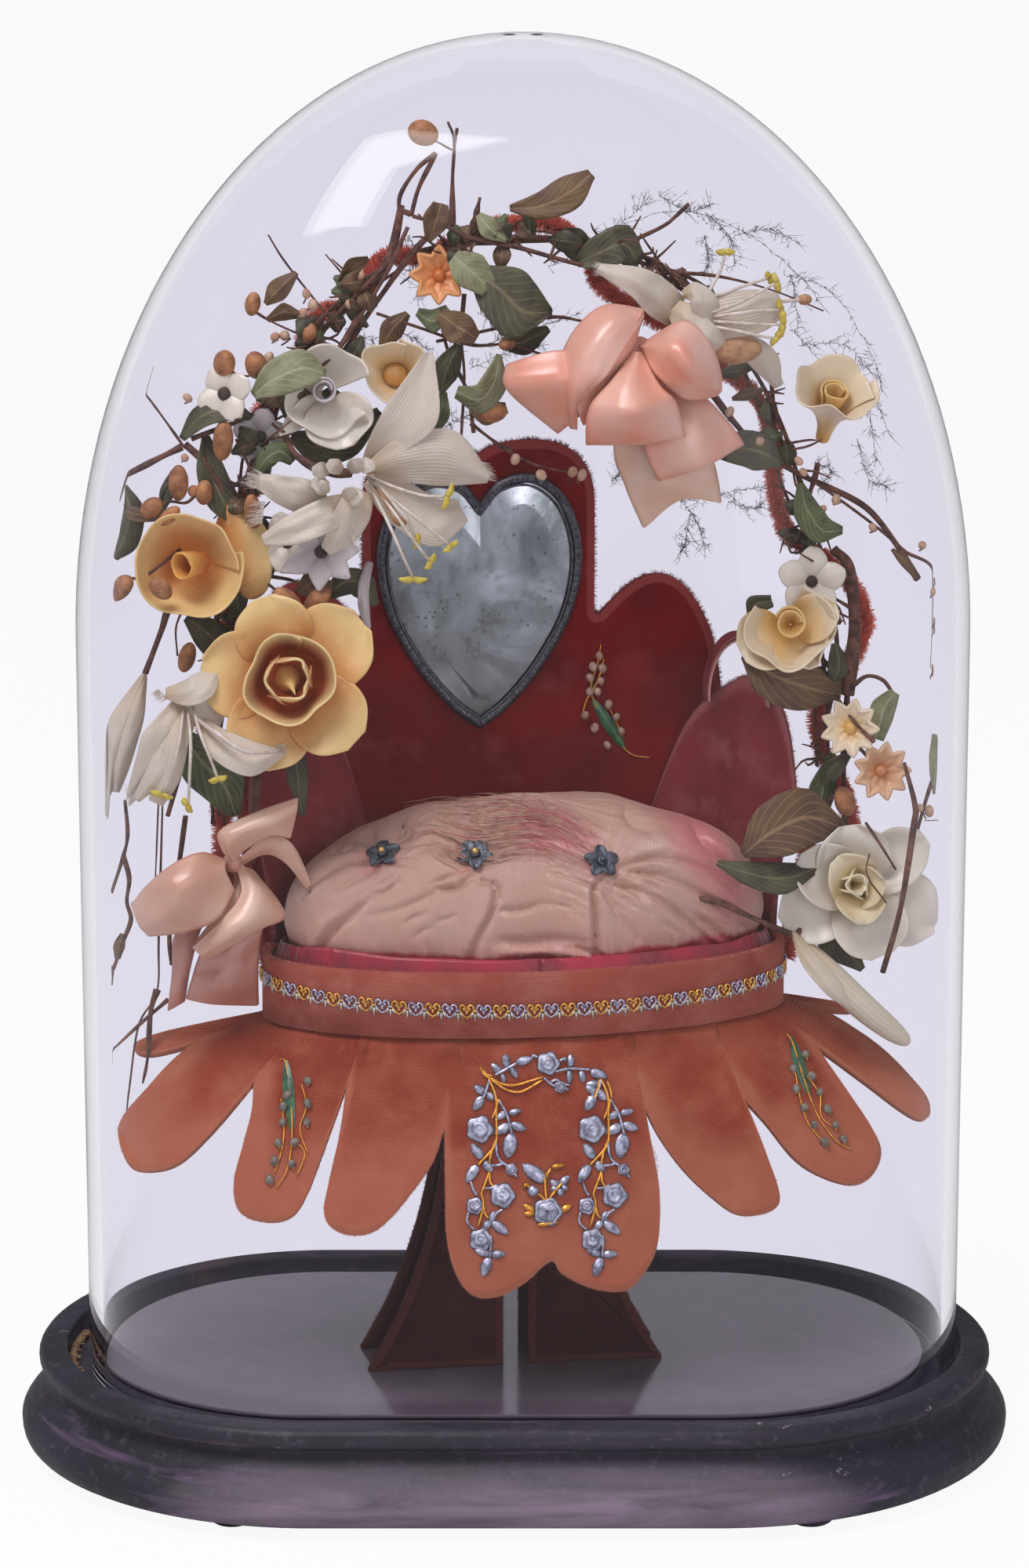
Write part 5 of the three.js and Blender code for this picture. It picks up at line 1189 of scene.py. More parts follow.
class GLOBE_OT_cushion(bpy.types.Operator):
    """The tufted satin cushion, with the silk strip under it and the metal flowers on its tufts"""

    bl_idname = "globe.cushion"
    bl_label = "Cushion"

    def execute(self, context):
        self.pillow()
        self.threads()
        self.hem()
        self.tufts()
        return {"FINISHED"}

    def surface(self, turn, share):
        """The cushion's skin before its folds: share runs from the middle of the top to under its rim."""
        if share <= TOP_SHARE:
            level = math.pi / 2 * share / TOP_SHARE
            x, y = CUSHION_X * math.sin(level) * math.sin(turn), -CUSHION_Y * math.sin(level) * math.cos(turn)
            return Vector((x, y, crown_height(x, y)))
        below = (share - TOP_SHARE) / (1 - TOP_SHARE)
        drawn = 1 - 0.1 * min(1, below * 1.3) ** 1.2 if below < 0.8 else lerp(0.9, 0.0, (below - 0.8) / 0.2)
        x, y = CUSHION_X * drawn * math.sin(turn), -CUSHION_Y * drawn * math.cos(turn)
        return Vector((x, y, CUSHION_BOTTOM + CUSHION_RIM * max(0, 1 - below / 0.8)))

    def pillow(self):
        runs = sorted_by_place(fold_lines())
        tuft_depth, fold_depth = size("tuft_depth"), size("fold_depth")
        bm = bmesh.new()

        def skin(u, v):
            # The faces are finer in front than behind.
            return self.surface(0.62 * math.sin(2 * math.pi * u) - 2 * math.pi * u, v)

        verts = patch(bm, 400, 150, skin, welded=True)
        bm.normal_update()
        moves = []
        for vert in verts:
            place, normal = vert.co.copy(), vert.normal.copy()
            x, y = place.x, place.y
            plan = math.hypot(x / CUSHION_X, y / CUSHION_Y)
            top = min(1, max(0, (place.z - CUSHION_BOTTOM - 6) / 12))
            world = STAND_IN_WORLD @ place
            front = min(1, max(0, 0.55 - (STAND_IN_WORLD.to_3x3() @ normal).y * 2.2)) if place.z > BAND_TOP - 4 else 0
            px, py = pixel_of(world)
            depth = folded(px, py, runs) * fold_depth * front * top
            depth += 2.4 * noise.noise(Vector((x / 26, y / 20, 5.2))) * top
            turn = math.atan2(x, -y)
            # Behind, where the photograph doesn't show it, the satin is gathered to the same hidden tufts.
            behind = min(1, max(0, (y + 2) / 12)) * top
            ray = abs(math.sin(turn * 5.0 + 0.7 * noise.noise(Vector((plan * 3, turn, 0)))))
            depth += 2.2 * behind * (1 - min(1, ray * 2.4)) * min(1, plan * 1.5)
            for k, (sx, sy) in enumerate(TUFTS):
                dx, dy = x - sx * CUSHION_X, y - sy * CUSHION_Y
                away = math.hypot(dx, dy)
                if 1.5 < away < 26:
                    spoke = math.atan2(dy, dx)
                    star = math.cos(spoke * (9 + k) + 3 * noise.noise(Vector((spoke * 2, k * 7.0, 1))))
                    depth += 0.75 * max(0, star) ** 3 * math.exp(-away / 9) * top
            rim = math.exp(-((place.z - BAND_TOP - 1) / 7) ** 2)
            gather = noise.noise(Vector((turn * 26, place.z / 30, 2))) + 0.5 * noise.noise(Vector((turn * 60, 0, 9)))
            depth += 0.7 * rim * gather
            slack = noise.noise(Vector((turn * 14 + place.z / 9, plan * 4, 3)))
            depth += 0.35 * slack * top
            moves.append((vert, place - normal * depth - Vector((0, 0, tuft_depth * tuft_pull(x, y) * top))))
        for vert, place in moves:
            vert.co = place
        pillow = piece(bm, "cushion_satin", ["cushion"], "pale_satin", [self.satin_skin()])

    def satin_skin(self):
        """Old satin: pink where the colour of the lining bleeds, brown foxing and fine warp lines."""
        main = colour("pale_satin")
        finish = Finish("pale_satin", Roughness=0.36, Sheen_Weight=0.3, Sheen_Roughness=0.4, Specular_IOR_Level=0.75)
        cloud = finish.patches([(0.35, 0.0), (0.68, 1.0)], 48, 4)
        shade = finish.mix(cloud, linear(208, 172, 156), main)
        blush = finish.ramp(finish.noise(30, 3, finish.where((1, 1, 1.3))), [(0.55, 0.0), (0.75, 0.5)])
        shade = finish.mix(blush, shade, linear(210, 146, 134))
        for px, py, reach in (
            (487, 1080, 0.011), (600, 1100, 0.009), (765, 1100, 0.011), (690, 1050, 0.02), (740, 1062, 0.014),
            (935, 1130, 0.022), (900, 1080, 0.02), (880, 1050, 0.022), (470, 1090, 0.012),
        ):
            x, y, z = (c * 0.001 for c in self.on_crown(px, py))
            here = finish.node("TexCoord").outputs["Object"]
            away = finish.node("VectorMath", {0: here, 1: (x, y, z)}, operation="DISTANCE").outputs["Value"]
            torn = finish.plus(away, finish.times(finish.noise(240, 3), 0.006))
            stain = finish.ramp(finish.sum("DIVIDE", torn, reach), [(0.3, 0.8), (1.0, 0.0)])
            shade = finish.mix(stain, shade, linear(216, 116, 122))
        spots = finish.cells(52)
        fox = finish.ramp(spots, [(0.03, 0.9), (0.07, 0.0)])
        shade = finish.mix(fox, shade, linear(120, 76, 60))
        parts = finish.node("SeparateXYZ", {0: finish.where()})
        low = finish.plus(parts.outputs[2], finish.times(finish.noise(60, 2), 0.006))
        base = BAND_TOP * 0.001
        foot = finish.ramp(finish.sum("DIVIDE", finish.minus(low, base), 0.02), [(0.2, 0.7), (0.8, 0.0)])
        shade = finish.mix(foot, shade, linear(210, 142, 132))
        ragged = finish.plus(low, finish.times(finish.noise(420, 3, finish.where((1, 1, 0.2))), 0.0022))
        tide = finish.sum("DIVIDE", finish.minus(ragged, base), 0.0115)
        shade = finish.mix(finish.ramp(tide, [(0.66, 1.0), (0.8, 0.0)]), shade, linear(178, 22, 48))
        warp = finish.waves(900, finish.where((1, 0.05, 0.05)), 1.5, "X")
        fine = finish.noise(1800, 3, finish.where((0.3, 1, 1)))
        shade = finish.mix(finish.times(fine, 0.22), shade, linear(168, 118, 104))
        slack = finish.noise(150, 4, finish.where((0.35, 1, 1)), 0.6)
        finish.feed(Base_Color=shade, Sheen_Tint=linear(250, 226, 214))
        height = finish.plus(finish.times(slack, 2.2), finish.plus(warp, fine))
        finish.bumped(height, 0.45, 0.35)
        return finish.material

    def on_crown(self, px, py):
        """Where a pixel of the photograph meets the front of the cushion, in the world's millimetres."""
        for i in range(200):
            point = seen_at(px, py, lerp(-60, 10, i / 199))
            own = WORLD_IN_STAND @ point
            inside = (own.x / CUSHION_X) ** 2 + (own.y / CUSHION_Y) ** 2 < 1
            if inside and own.z <= crown_height(own.x, own.y):
                break
        return point

    def threads(self):
        """Warp threads that have come loose over the middle of the cushion."""
        rng = scatter("threads")
        bm = bmesh.new()
        for _ in range(150):
            row = rng.random()
            start, stop = sorted((rng.uniform(506, 700), rng.uniform(600, 772)))
            if stop - start < 40:
                continue
            drop = lerp(1026, 1084, row)
            bow = rng.uniform(-5, 5)
            points = []
            for i in range(6):
                share = i / 5
                px = lerp(start, stop, share)
                py = drop - 16 * math.sin(math.pi * (px - 500) / 280) * (1 - row * 0.7) + 12 * share
                py += bow * math.sin(math.pi * share)
                own = WORLD_IN_STAND @ self.on_crown(px, py)
                normal = crown_normal(own.x, own.y)
                lift = 0.25 + rng.uniform(0, 1.3) * math.sin(math.pi * share)
                sunk = size("tuft_depth") * tuft_pull(own.x, own.y)
                points.append(own + normal * lift - Vector((0, 0, sunk * 0.9)))
            rod(bm, points, [0.05, rng.uniform(0.11, 0.2), 0.05], 4, 9, 0 if rng.random() < 0.8 else 1)
        pale = plain("loose_thread", linear(214, 182, 158), linear(176, 130, 112), 300, 0.6, 0.1)
        pink = plain("pink_thread", linear(214, 120, 124), linear(184, 84, 92), 300, 0.6, 0.1)
        piece(bm, "cushion_threads", [], "pale_satin", [pale, pink])

    def hem(self):
        """Crimson silk, turned over the edge of the band and pulled into small gathers."""
        bm = bmesh.new()

        def place(u, v):
            turn = 2 * math.pi * u
            gather = 0.55 * noise.noise(Vector((turn * 22, 0, 0))) + 0.3 * noise.noise(Vector((turn * 70, 3, 0)))
            rise = 2.2 * math.exp(-((turn - 5.35) / 0.35) ** 2) + 0.8 * noise.noise(Vector((turn * 4, 8, 0)))
            lift = lerp(-4, 3.2 + rise, v)
            return on_band(turn, -WALL - 0.9 - 2.8 * v + gather * (0.4 + v), BAND_TOP - SEAT_BOTTOM + lift)

        patch(bm, 420, 6, place, welded=True)
        finish = Finish("crimson_silk", Roughness=0.42, Sheen_Weight=0.4)
        cloud = finish.patches([(0.36, 0.0), (0.64, 1.0)], 60, 4)
        shade = finish.mix(cloud, linear(120, 12, 34), colour("crimson_silk"))
        worn = finish.patches([(0.6, 0.0), (0.8, 0.6)], 90, 4, rough=0.7)
        finish.feed(Base_Color=finish.mix(worn, shade, linear(196, 92, 96)))
        finish.bumped(finish.noise(700, 3), 0.3, 0.2)
        piece(bm, "cushion_hem_silk", ["cushion_hem"], "crimson_silk", [finish.material], wall=0.5)

    def tufts(self):
        tin = metal("dark_pewter", linear(86, 92, 98), linear(52, 54, 58), 0.5, 700)
        brass = metal("brass_pin", linear(206, 176, 104), linear(130, 96, 50), 0.3, 900)
        for name, (sx, sy) in zip(("left", "middle", "right"), TUFTS):
            x, y = sx * CUSHION_X, sy * CUSHION_Y
            normal = crown_normal(x, y)
            seat = Vector((x, y, crown_height(x, y) - size("tuft_depth"))) + normal * 1.2
            bm = bmesh.new()
            for i in range(5):
                turn = 2 * math.pi * i / 5 + sx

                def petal(u, v, turn=turn):
                    reach = 6.2 * v
                    half = 2.35 * math.sin(math.pi * min(1, v * 0.9 + 0.06)) ** 0.7
                    side = (2 * u - 1) * half
                    lift = 1.1 * math.sin(math.pi * 0.8 * v) - 0.35 * (1 - abs(2 * u - 1)) * v + 0.25 * abs(2 * u - 1)
                    sine, cosine = math.sin(turn), math.cos(turn)
                    return Vector((reach * cosine - side * sine, reach * sine + side * cosine, lift))

                patch(bm, 6, 7, petal)
            ball(bm, (0, 0, 1.5), 1.7, stretch=0.45, segments=12, rings=8)
            ball(bm, (0, 0, 2.5), 1.15, stretch=0.8, material=1 if name != "right" else 0, segments=12, rings=8)
            rod(bm, [(0, 0, -3), (0, 0, 2)], [0.5], 8, 3, 1)
            upright = normal.to_track_quat("Z", "Y").to_matrix().to_4x4()
            bmesh.ops.transform(bm, matrix=Matrix.Translation(seat) @ upright, verts=bm.verts)
            node = f"tuft_flower_{name}"
            piece(bm, node + "_tin", [node], "dark_pewter", [tin, brass], wall=0.25, offset=0)


# ---- Backboard, mirror and wings ----

HEART = ((0, 0.88), (0.22, 0.98), (0.55, 1), (0.86, 0.9), (1, 0.7), (0.9, 0.46), (0.6, 0.24), (0.26, 0.08), (0, 0))


def heart_outline(half_width, height, foot):
    """A heart in the plane of x and z, anticlockwise from its notch."""
    half = [along([Vector(point) for point in HEART], i / 60) for i in range(61)]
    right = [(point.x * half_width + BOARD_SHIFT, SEAT_BOTTOM + foot + point.y * height) for point in half]
    left = [(2 * BOARD_SHIFT - x, z) for x, z in right[-2:0:-1]]
    return right + left


def board_outline():
    """The backboard's outline: two scallops on top and a lobe at each side."""
    w, h, lobe, reach = 40.5, 190.0, 139.0, 48.0
    half = [(0, 0.975 * h)]
    half += arc((0, 0.975 * h), (0.12 * w, h), (0.45 * w, h), 8)
    half += arc((0.45 * w, h), (w, h), (w, 0.88 * h), 14)
    half += [(w, 0.92 * lobe + 2)] + arc((w, 0.92 * lobe + 2), (w, 0.92 * lobe), (w + 2, 0.92 * lobe + 0.8), 3)
    half += [(w + 0.2 * reach, 0.98 * lobe)]
    half += arc((w + 0.2 * reach, 0.98 * lobe), (w + 0.6 * reach, 1.1 * lobe), (w + 0.86 * reach, 0.88 * lobe), 12)
    half += arc((w + 0.86 * reach, 0.88 * lobe), (w + 1.1 * reach, 0.6 * lobe), (w + 0.75 * reach, 0), 18)
    points = half + [(-x, z) for x, z in half[:0:-1]]
    return [(x + BOARD_SHIFT, z + SEAT_BOTTOM) for x, z in points]


class GLOBE_OT_backboard(bpy.types.Operator):
    """The velvet backboard and the heart mirror on it"""

    bl_idname = "globe.backboard"
    bl_label = "Backboard and mirror"

    def execute(self, context):
        skin = velvet(
            "wine_velvet", colour("wine_velvet"), linear(150, 66, 64), linear(56, 10, 18), edge=0.8, shine=0.45
        )
        pile = plain("wine_pile", linear(128, 62, 60), linear(88, 30, 34), 900, 0.95, 0.1)
        outline = widened(board_outline(), 3)
        bm = bmesh.new()
        board(bm, outline, 3.7, 0.8, 0.4)
        edge_nap(bm, scatter("backboard"), outline, -3.7, 0, 5200, size("nap_length") * 1.25, 1)
        bmesh.ops.translate(bm, verts=bm.verts, vec=(0, BOARD_FRONT + 4.1, 0))
        piece(bm, "backboard_velvet", ["backboard"], "wine_velvet", [skin, pile])
        self.mirror()
        return {"FINISHED"}

    def mirror(self):
        """A heart of bevelled glass in a rope of beads."""
        back = BOARD_FRONT - CLEARANCE
        outline = [Vector((x, 0, z)) for x, z in heart_outline(34.2, 85.6, 91.2)]
        closed = outline + outline[:2]
        bm = bmesh.new()
        rod(bm, [point + Vector((0, back - 1.5, 0)) for point in closed], [1.75], 10, 240)
        lengths = lengths_along(outline + outline[:1])
        count = int(lengths[-1] / 1.9)
        i = 0
        for n in range(count):
            wanted = lengths[-1] * n / count
            while lengths[i + 1] < wanted:
                i += 1
            share = (wanted - lengths[i]) / max(1e-6, lengths[i + 1] - lengths[i])
            point = outline[i].lerp(outline[(i + 1) % len(outline)], share)
            run = (outline[(i + 1) % len(outline)] - outline[i]).normalized()
            outward = Vector((run.z, 0, -run.x))
            ball(bm, point - outward * 0.1 + Vector((0, back - 3.2, 0)), 0.72, segments=6, rings=4)
        inner = [Vector((x, 0, z)) for x, z in heart_outline(32.2, 81.5, 93.2)]
        rod(bm, [point + Vector((0, back - 2.6, 0)) for point in inner + inner[:2]], [0.5], 6, 240)
        pewter = metal("mirror_pewter", linear(92, 92, 98), linear(46, 44, 48), 0.42, 600)
        piece(bm, "mirror_frame_beads", ["mirror_frame"], "dark_pewter", [pewter])

        bm = bmesh.new()
        plate(bm, heart_outline(33.0, 83.0, 92.5), back - 0.4, 1.2)
        front = [face for face in bm.faces if face.normal.y < -0.9]
        bmesh.ops.inset_region(bm, faces=front, thickness=7.5, depth=1.0, use_even_offset=True)
        piece(bm, "mirror_glass_bevelled", ["mirror_glass"], "old_mirror", [self.silvering()])

    def silvering(self):
        """Old silvering: grey clouds, dark pin spots, and darker and browner towards the bottom."""
        finish = Finish("old_mirror", Metallic=0.92)
        cloud = finish.noise(26, 5, distortion=1.2, rough=0.6)
        shade = finish.ramp(
            cloud, [(0.34, linear(96, 104, 104)), (0.5, linear(136, 144, 144)), (0.66, linear(172, 178, 182))]
        )
        spots = finish.ramp(finish.cells(420), [(0.12, 1.0), (0.2, 0.0)])
        kept = finish.patches([(0.45, 0.0), (0.6, 0.9)], 40, 3)
        shade = finish.mix(finish.times(spots, kept), shade, linear(44, 46, 44))
        haze = finish.patches([(0.55, 0.0), (0.72, 0.7)], 75, 6, rough=0.75)
        shade = finish.mix(haze, shade, linear(88, 92, 84))
        # Below a wavy height the silvering turns darker and browner.
        level = finish.node("SeparateXYZ", {0: finish.where()}).outputs[2]
        tip = finish.plus(level, finish.times(cloud, 0.05))
        shade = finish.mix(finish.ramp(finish.times(tip, 2), [(0.55, 0.6), (0.68, 0.0)]), shade, linear(84, 78, 70))
        finish.feed(Base_Color=shade, Roughness=finish.ramp(cloud, [(0.35, 0.32), (0.7, 0.1)]))
        finish.bumped(finish.noise(20, 2), 0.08, 0.5)
        return finish.material


WING_SHARES = (0.62, 0.84, 0.97, 1, 0.94, 0.8, 0.5)


def wing_point(side, u, lift, lean):
    """A point of a wing: round the seat's edge by u, up by the lift and leaning out."""
    turn = lerp(math.radians(106 if side < 0 else 98), math.radians(148), u)
    half_x, half_y = SEAT_X - WALL / 2 + lean, SEAT_Y - WALL / 2 + lean
    return Vector((side * half_x * math.sin(turn), -half_y * math.cos(turn), BAND_TOP + CLEARANCE + lift))


class GLOBE_OT_wings(bpy.types.Operator):
    """The two velvet wings beside the backboard. The right one carries a curled strap"""

    bl_idname = "globe.wings"
    bl_label = "Wings"

    def execute(self, context):
        rng = scatter("wings")
        skin = velvet(
            "faded_velvet", colour("faded_velvet"), linear(188, 122, 122), linear(88, 26, 34), edge=0.93, shine=0.6
        )
        lining = velvet("strap_lining", linear(212, 158, 150), linear(228, 186, 178), linear(168, 106, 100))
        pile = plain("wing_pile", linear(200, 132, 124), linear(160, 84, 82), 900, 0.95, 0.1)
        for side, name in ((-1, "left_wing"), (1, "right_wing")):

            def blade(u, v, side=side):
                height = 85 * along(WING_SHARES, u)
                lift = height * v
                # The corners at its top are rounded.
                lift -= 7 * v * (abs(2 * u - 1) ** 6)
                return wing_point(side, u, lift, 8 * v * v + 1.2 * math.sin(math.pi * u) * v)

            bm = bmesh.new()
            patch(bm, 46, 26, blade if side > 0 else lambda u, v: blade(1 - u, v))
            edge = [blade(0.0, i / 20) for i in range(20)] + [blade(i / 40, 1.0) for i in range(41)]

            def hair(_, edge=edge):
                i = rng.randrange(len(edge) - 1)
                root = edge[i].lerp(edge[i + 1], rng.random())
                lean = tossed(rng, z=(-0.2, 1))
                tip = root + lean.normalized() * size("nap_length") * (1.4 - 0.7 * rng.random())
                return root, tip, (edge[i + 1] - edge[i]).normalized() * 0.12

            slot_name = "rust_velvet" if side < 0 else "wine_velvet"
            piece(bm, name + "_velvet", [name], slot_name, [skin], wall=2.6, offset=0)
            bm = bmesh.new()
            blades(bm, 2600, hair)
            piece(bm, name + "_pile", [], slot_name, [pile])
        self.strap(skin, lining)
        return {"FINISHED"}

    def strap(self, skin, lining):
        """The strap rises from the wing, curls over and comes down behind it."""
        bm = bmesh.new()

        def place(u, v, wall=0.0):
            bow = math.pi * u
            lift = 76.5 + (24 + wall) * math.sin(bow) ** 0.85
            point = wing_point(1, 0.55 - (0.2 + wall / 200) * math.cos(bow), lift, 8)
            return point - Vector((0, 10 * (v - 0.3), 0))

        patch(bm, 40, 8, place)
        patch(bm, 40, 8, lambda u, v: place(1 - u, v, -1.4), 1)
        piece(bm, "right_wing_strap", [], "wine_velvet", [skin, lining], wall=0.6, offset=0)


# ---- Garland ----

ARCH_DEPTH, ARCH_SLANT = -4.4, 0.0376
BROAD = (0.34, 0.72, 0.94, 1.0, 0.96, 0.78, 0.3)
POINTED = (0.3, 0.8, 1.0, 0.92, 0.7, 0.4, 0.04)
OVAL_PETAL = (0.3, 0.74, 0.96, 1.0, 0.92, 0.7, 0.2)


def spot(px, py, out=0.0):
    """The place of a pixel of the photograph, so far in front of the arch, in the world's millimetres."""
    return seen_at(px, py, ARCH_SLANT * (px - PHOTO_WIDTH / 2) + ARCH_DEPTH - out)


def under_glass(bm):
    """Draws in whatever would touch the dome."""
    wall = size("dome_wall")
    spring, arched = DOME_APEX - DOME_ARCHED, DOME_ARCHED - wall - GLASS_GAP
    for vert in bm.verts:
        x, y, z = vert.co
        rise = min(0.998, max(0, (z - spring) / arched))
        reach = (DOME_RADIUS - wall - GLASS_GAP) * math.sqrt(1 - rise * rise)
        straight = HALF_STRAIGHT * reach / DOME_RADIUS
        middle = DOME_SHIFT + min(max(x - DOME_SHIFT, -straight), straight)
        away = math.hypot(x - middle, y)
        if away > reach:
            vert.co = Vector((middle + (x - middle) * reach / away, y * reach / away, z))


def hung(bm, name, nodes, slot_name, materials, wall=0.0, levels=0):
    """A finished piece of the garland, from a mesh in the world's millimetres."""
    under_glass(bm)
    return piece(bm, name, nodes, slot_name, materials, TO_METRES, levels=levels, wall=wall, offset=0)


def flower_at(px, py, out, towards):
    """The place and turn of a flower: its z axis looks the way it faces, its y axis up."""
    front = Vector(towards).normalized()
    right = Vector((0, 0, 1)).cross(front).normalized()
    turn = Matrix((right, front.cross(right), front)).transposed().to_4x4()
    return Matrix.Translation(spot(px, py, out)) @ turn


def heart(bm, at, height, radius, stretch, material=1):
    """The round heart of a flower."""
    ball(bm, at @ Vector((0, 0, height)), radius, at.to_3x3() @ Vector((0, 0, 1)), stretch, material)


def petal(bm, at, turn, length, width, lift, shape, cup, ruffle, root, material=0, grid=(8, 9)):
    """One petal in a flower's own frame. Its lifts are the angles that it rises at, from its root to its tip."""
    spine = [Vector((root, 0, 0))]
    for i in range(24):
        angle = math.radians(along(lift, (i + 0.5) / 24))
        x, y = spine[-1].x + math.cos(angle) * length / 24, spine[-1].y + math.sin(angle) * length / 24
        spine.append(Vector((x, y, angle)))
    spine[0].z = spine[1].z
    heading = math.radians(turn)
    outward = Vector((math.cos(heading), math.sin(heading), 0))
    sideways = Vector((-outward.y, outward.x, 0))

    def place(u, v):
        share = 1 - (1 - v) ** 1.5
        reach, height, angle = along(spine, share)
        side = 2 * u - 1
        half = width / 2 * max(0.0, along(shape, share))
        lifted = cup * half * side * side
        lifted += ruffle * (0.3 + share) * (0.4 + abs(side)) * noise.noise(Vector((side * 1.6, share * 3, turn)))
        rise = Vector((0, 0, height + math.cos(angle) * lifted))
        return at @ (outward * (reach - math.sin(angle) * lifted) + sideways * half * side + rise)

    patch(bm, *grid, place, material)


def trumpet(bm, at, rim, depth, throat, turns, flare, rise, wave, wind, lip, material, grid):
    """A sheet wound round a throat, as a calla is: it opens towards z, with a wide and wavy rim."""

    def place(u, v):
        turn = math.radians(lerp(*turns, u))
        uneven = noise.noise(Vector((math.cos(turn) * 1.3, math.sin(turn) * 1.3, rim + u)))
        radius = lerp(throat, rim * (1 + 2 * wave * uneven), v**flare) * (1 - wind * (0.5 - u))
        curl = noise.noise(Vector((math.cos(turn) * 1.6, math.sin(turn) * 1.6, depth)))
        height = depth * v**rise + lip * v * v * curl
        return at @ Vector((radius * math.cos(turn), radius * math.sin(turn), height))

    patch(bm, *grid, place, material)


def star(bm, at, radius, points):
    """A thick star with many short points round a hollow."""

    def place(u, v):
        turn = 2 * math.pi * u
        spike = abs((u * points) % 1 * 2 - 1)
        reach = radius * v * (1 - 0.36 * v * (1 - spike**1.4))
        height = 3.2 * v**2.2 + 0.9 * math.sin(math.pi * v) * (spike - 0.5) - 1.4 * max(0, 1 - v * 4)
        return at @ Vector((reach * math.cos(turn), reach * math.sin(turn), height))

    patch(bm, points * 8, 9, place, welded=True)


def cloth(bm, rails, columns=10, rows=16, material=0, ruffle=0.0, jag=0.0, grain=0.0):
    """A sheet drawn over rails, which are pixels of the photograph with a distance in front of the arch."""
    tracks = [[spot(*point) for point in rail] for rail in rails]

    def place(u, v):
        point = along([along(track, v) for track in tracks], u)
        side = 2 * u - 1
        if jag:
            middle = along([along(track, v) for track in tracks], 0.5)
            point += (point - middle) * jag * ((v * 15) % 1) * abs(side) ** 6
        if ruffle:
            crease = noise.noise(Vector((u * 2.6, v * 3.4, grain))) + 0.4 * noise.noise(Vector((u * 7, v * 7, grain)))
            point += Vector((0.2, -1, 0.3)) * crease * ruffle * (0.35 + 0.65 * math.sin(math.pi * min(1, v * 1.1)))
        return point

    patch(bm, columns, rows, place, material)


def blade_of(bm, line, widths, bow, tilt=0.0, **settings):
    """A petal or leaf: a line of (px, py, out), widths in pixels, and how far its middle and one side stand out."""
    rails = ([], [], [])
    for i, (px, py, out) in enumerate(line):
        before, after = line[max(0, i - 1)], line[min(len(line) - 1, i + 1)]
        dx, dy = after[0] - before[0], after[1] - before[1]
        long = math.hypot(dx, dy) or 1
        nx, ny = -dy / long * widths[i] / 2, dx / long * widths[i] / 2
        lean = tilt * widths[i] * 0.136
        rails[0].append((px + nx, py + ny, out + lean))
        rails[1].append((px, py, out + bow))
        rails[2].append((px - nx, py - ny, out - lean))
    cloth(bm, rails, **settings)


def wire(bm, points, radii, sides=6, rings=12, material=0):
    """A rod through pixels of the photograph."""
    rod(bm, [spot(*point) for point in points], radii, sides, rings, material)


def bead(bm, px, py, out, radius, stretch=1.0, lean=(0, 0, 1), material=0, segments=10, rings=7):
    ball(bm, spot(px, py, out), radius, lean, stretch, material, segments, rings)


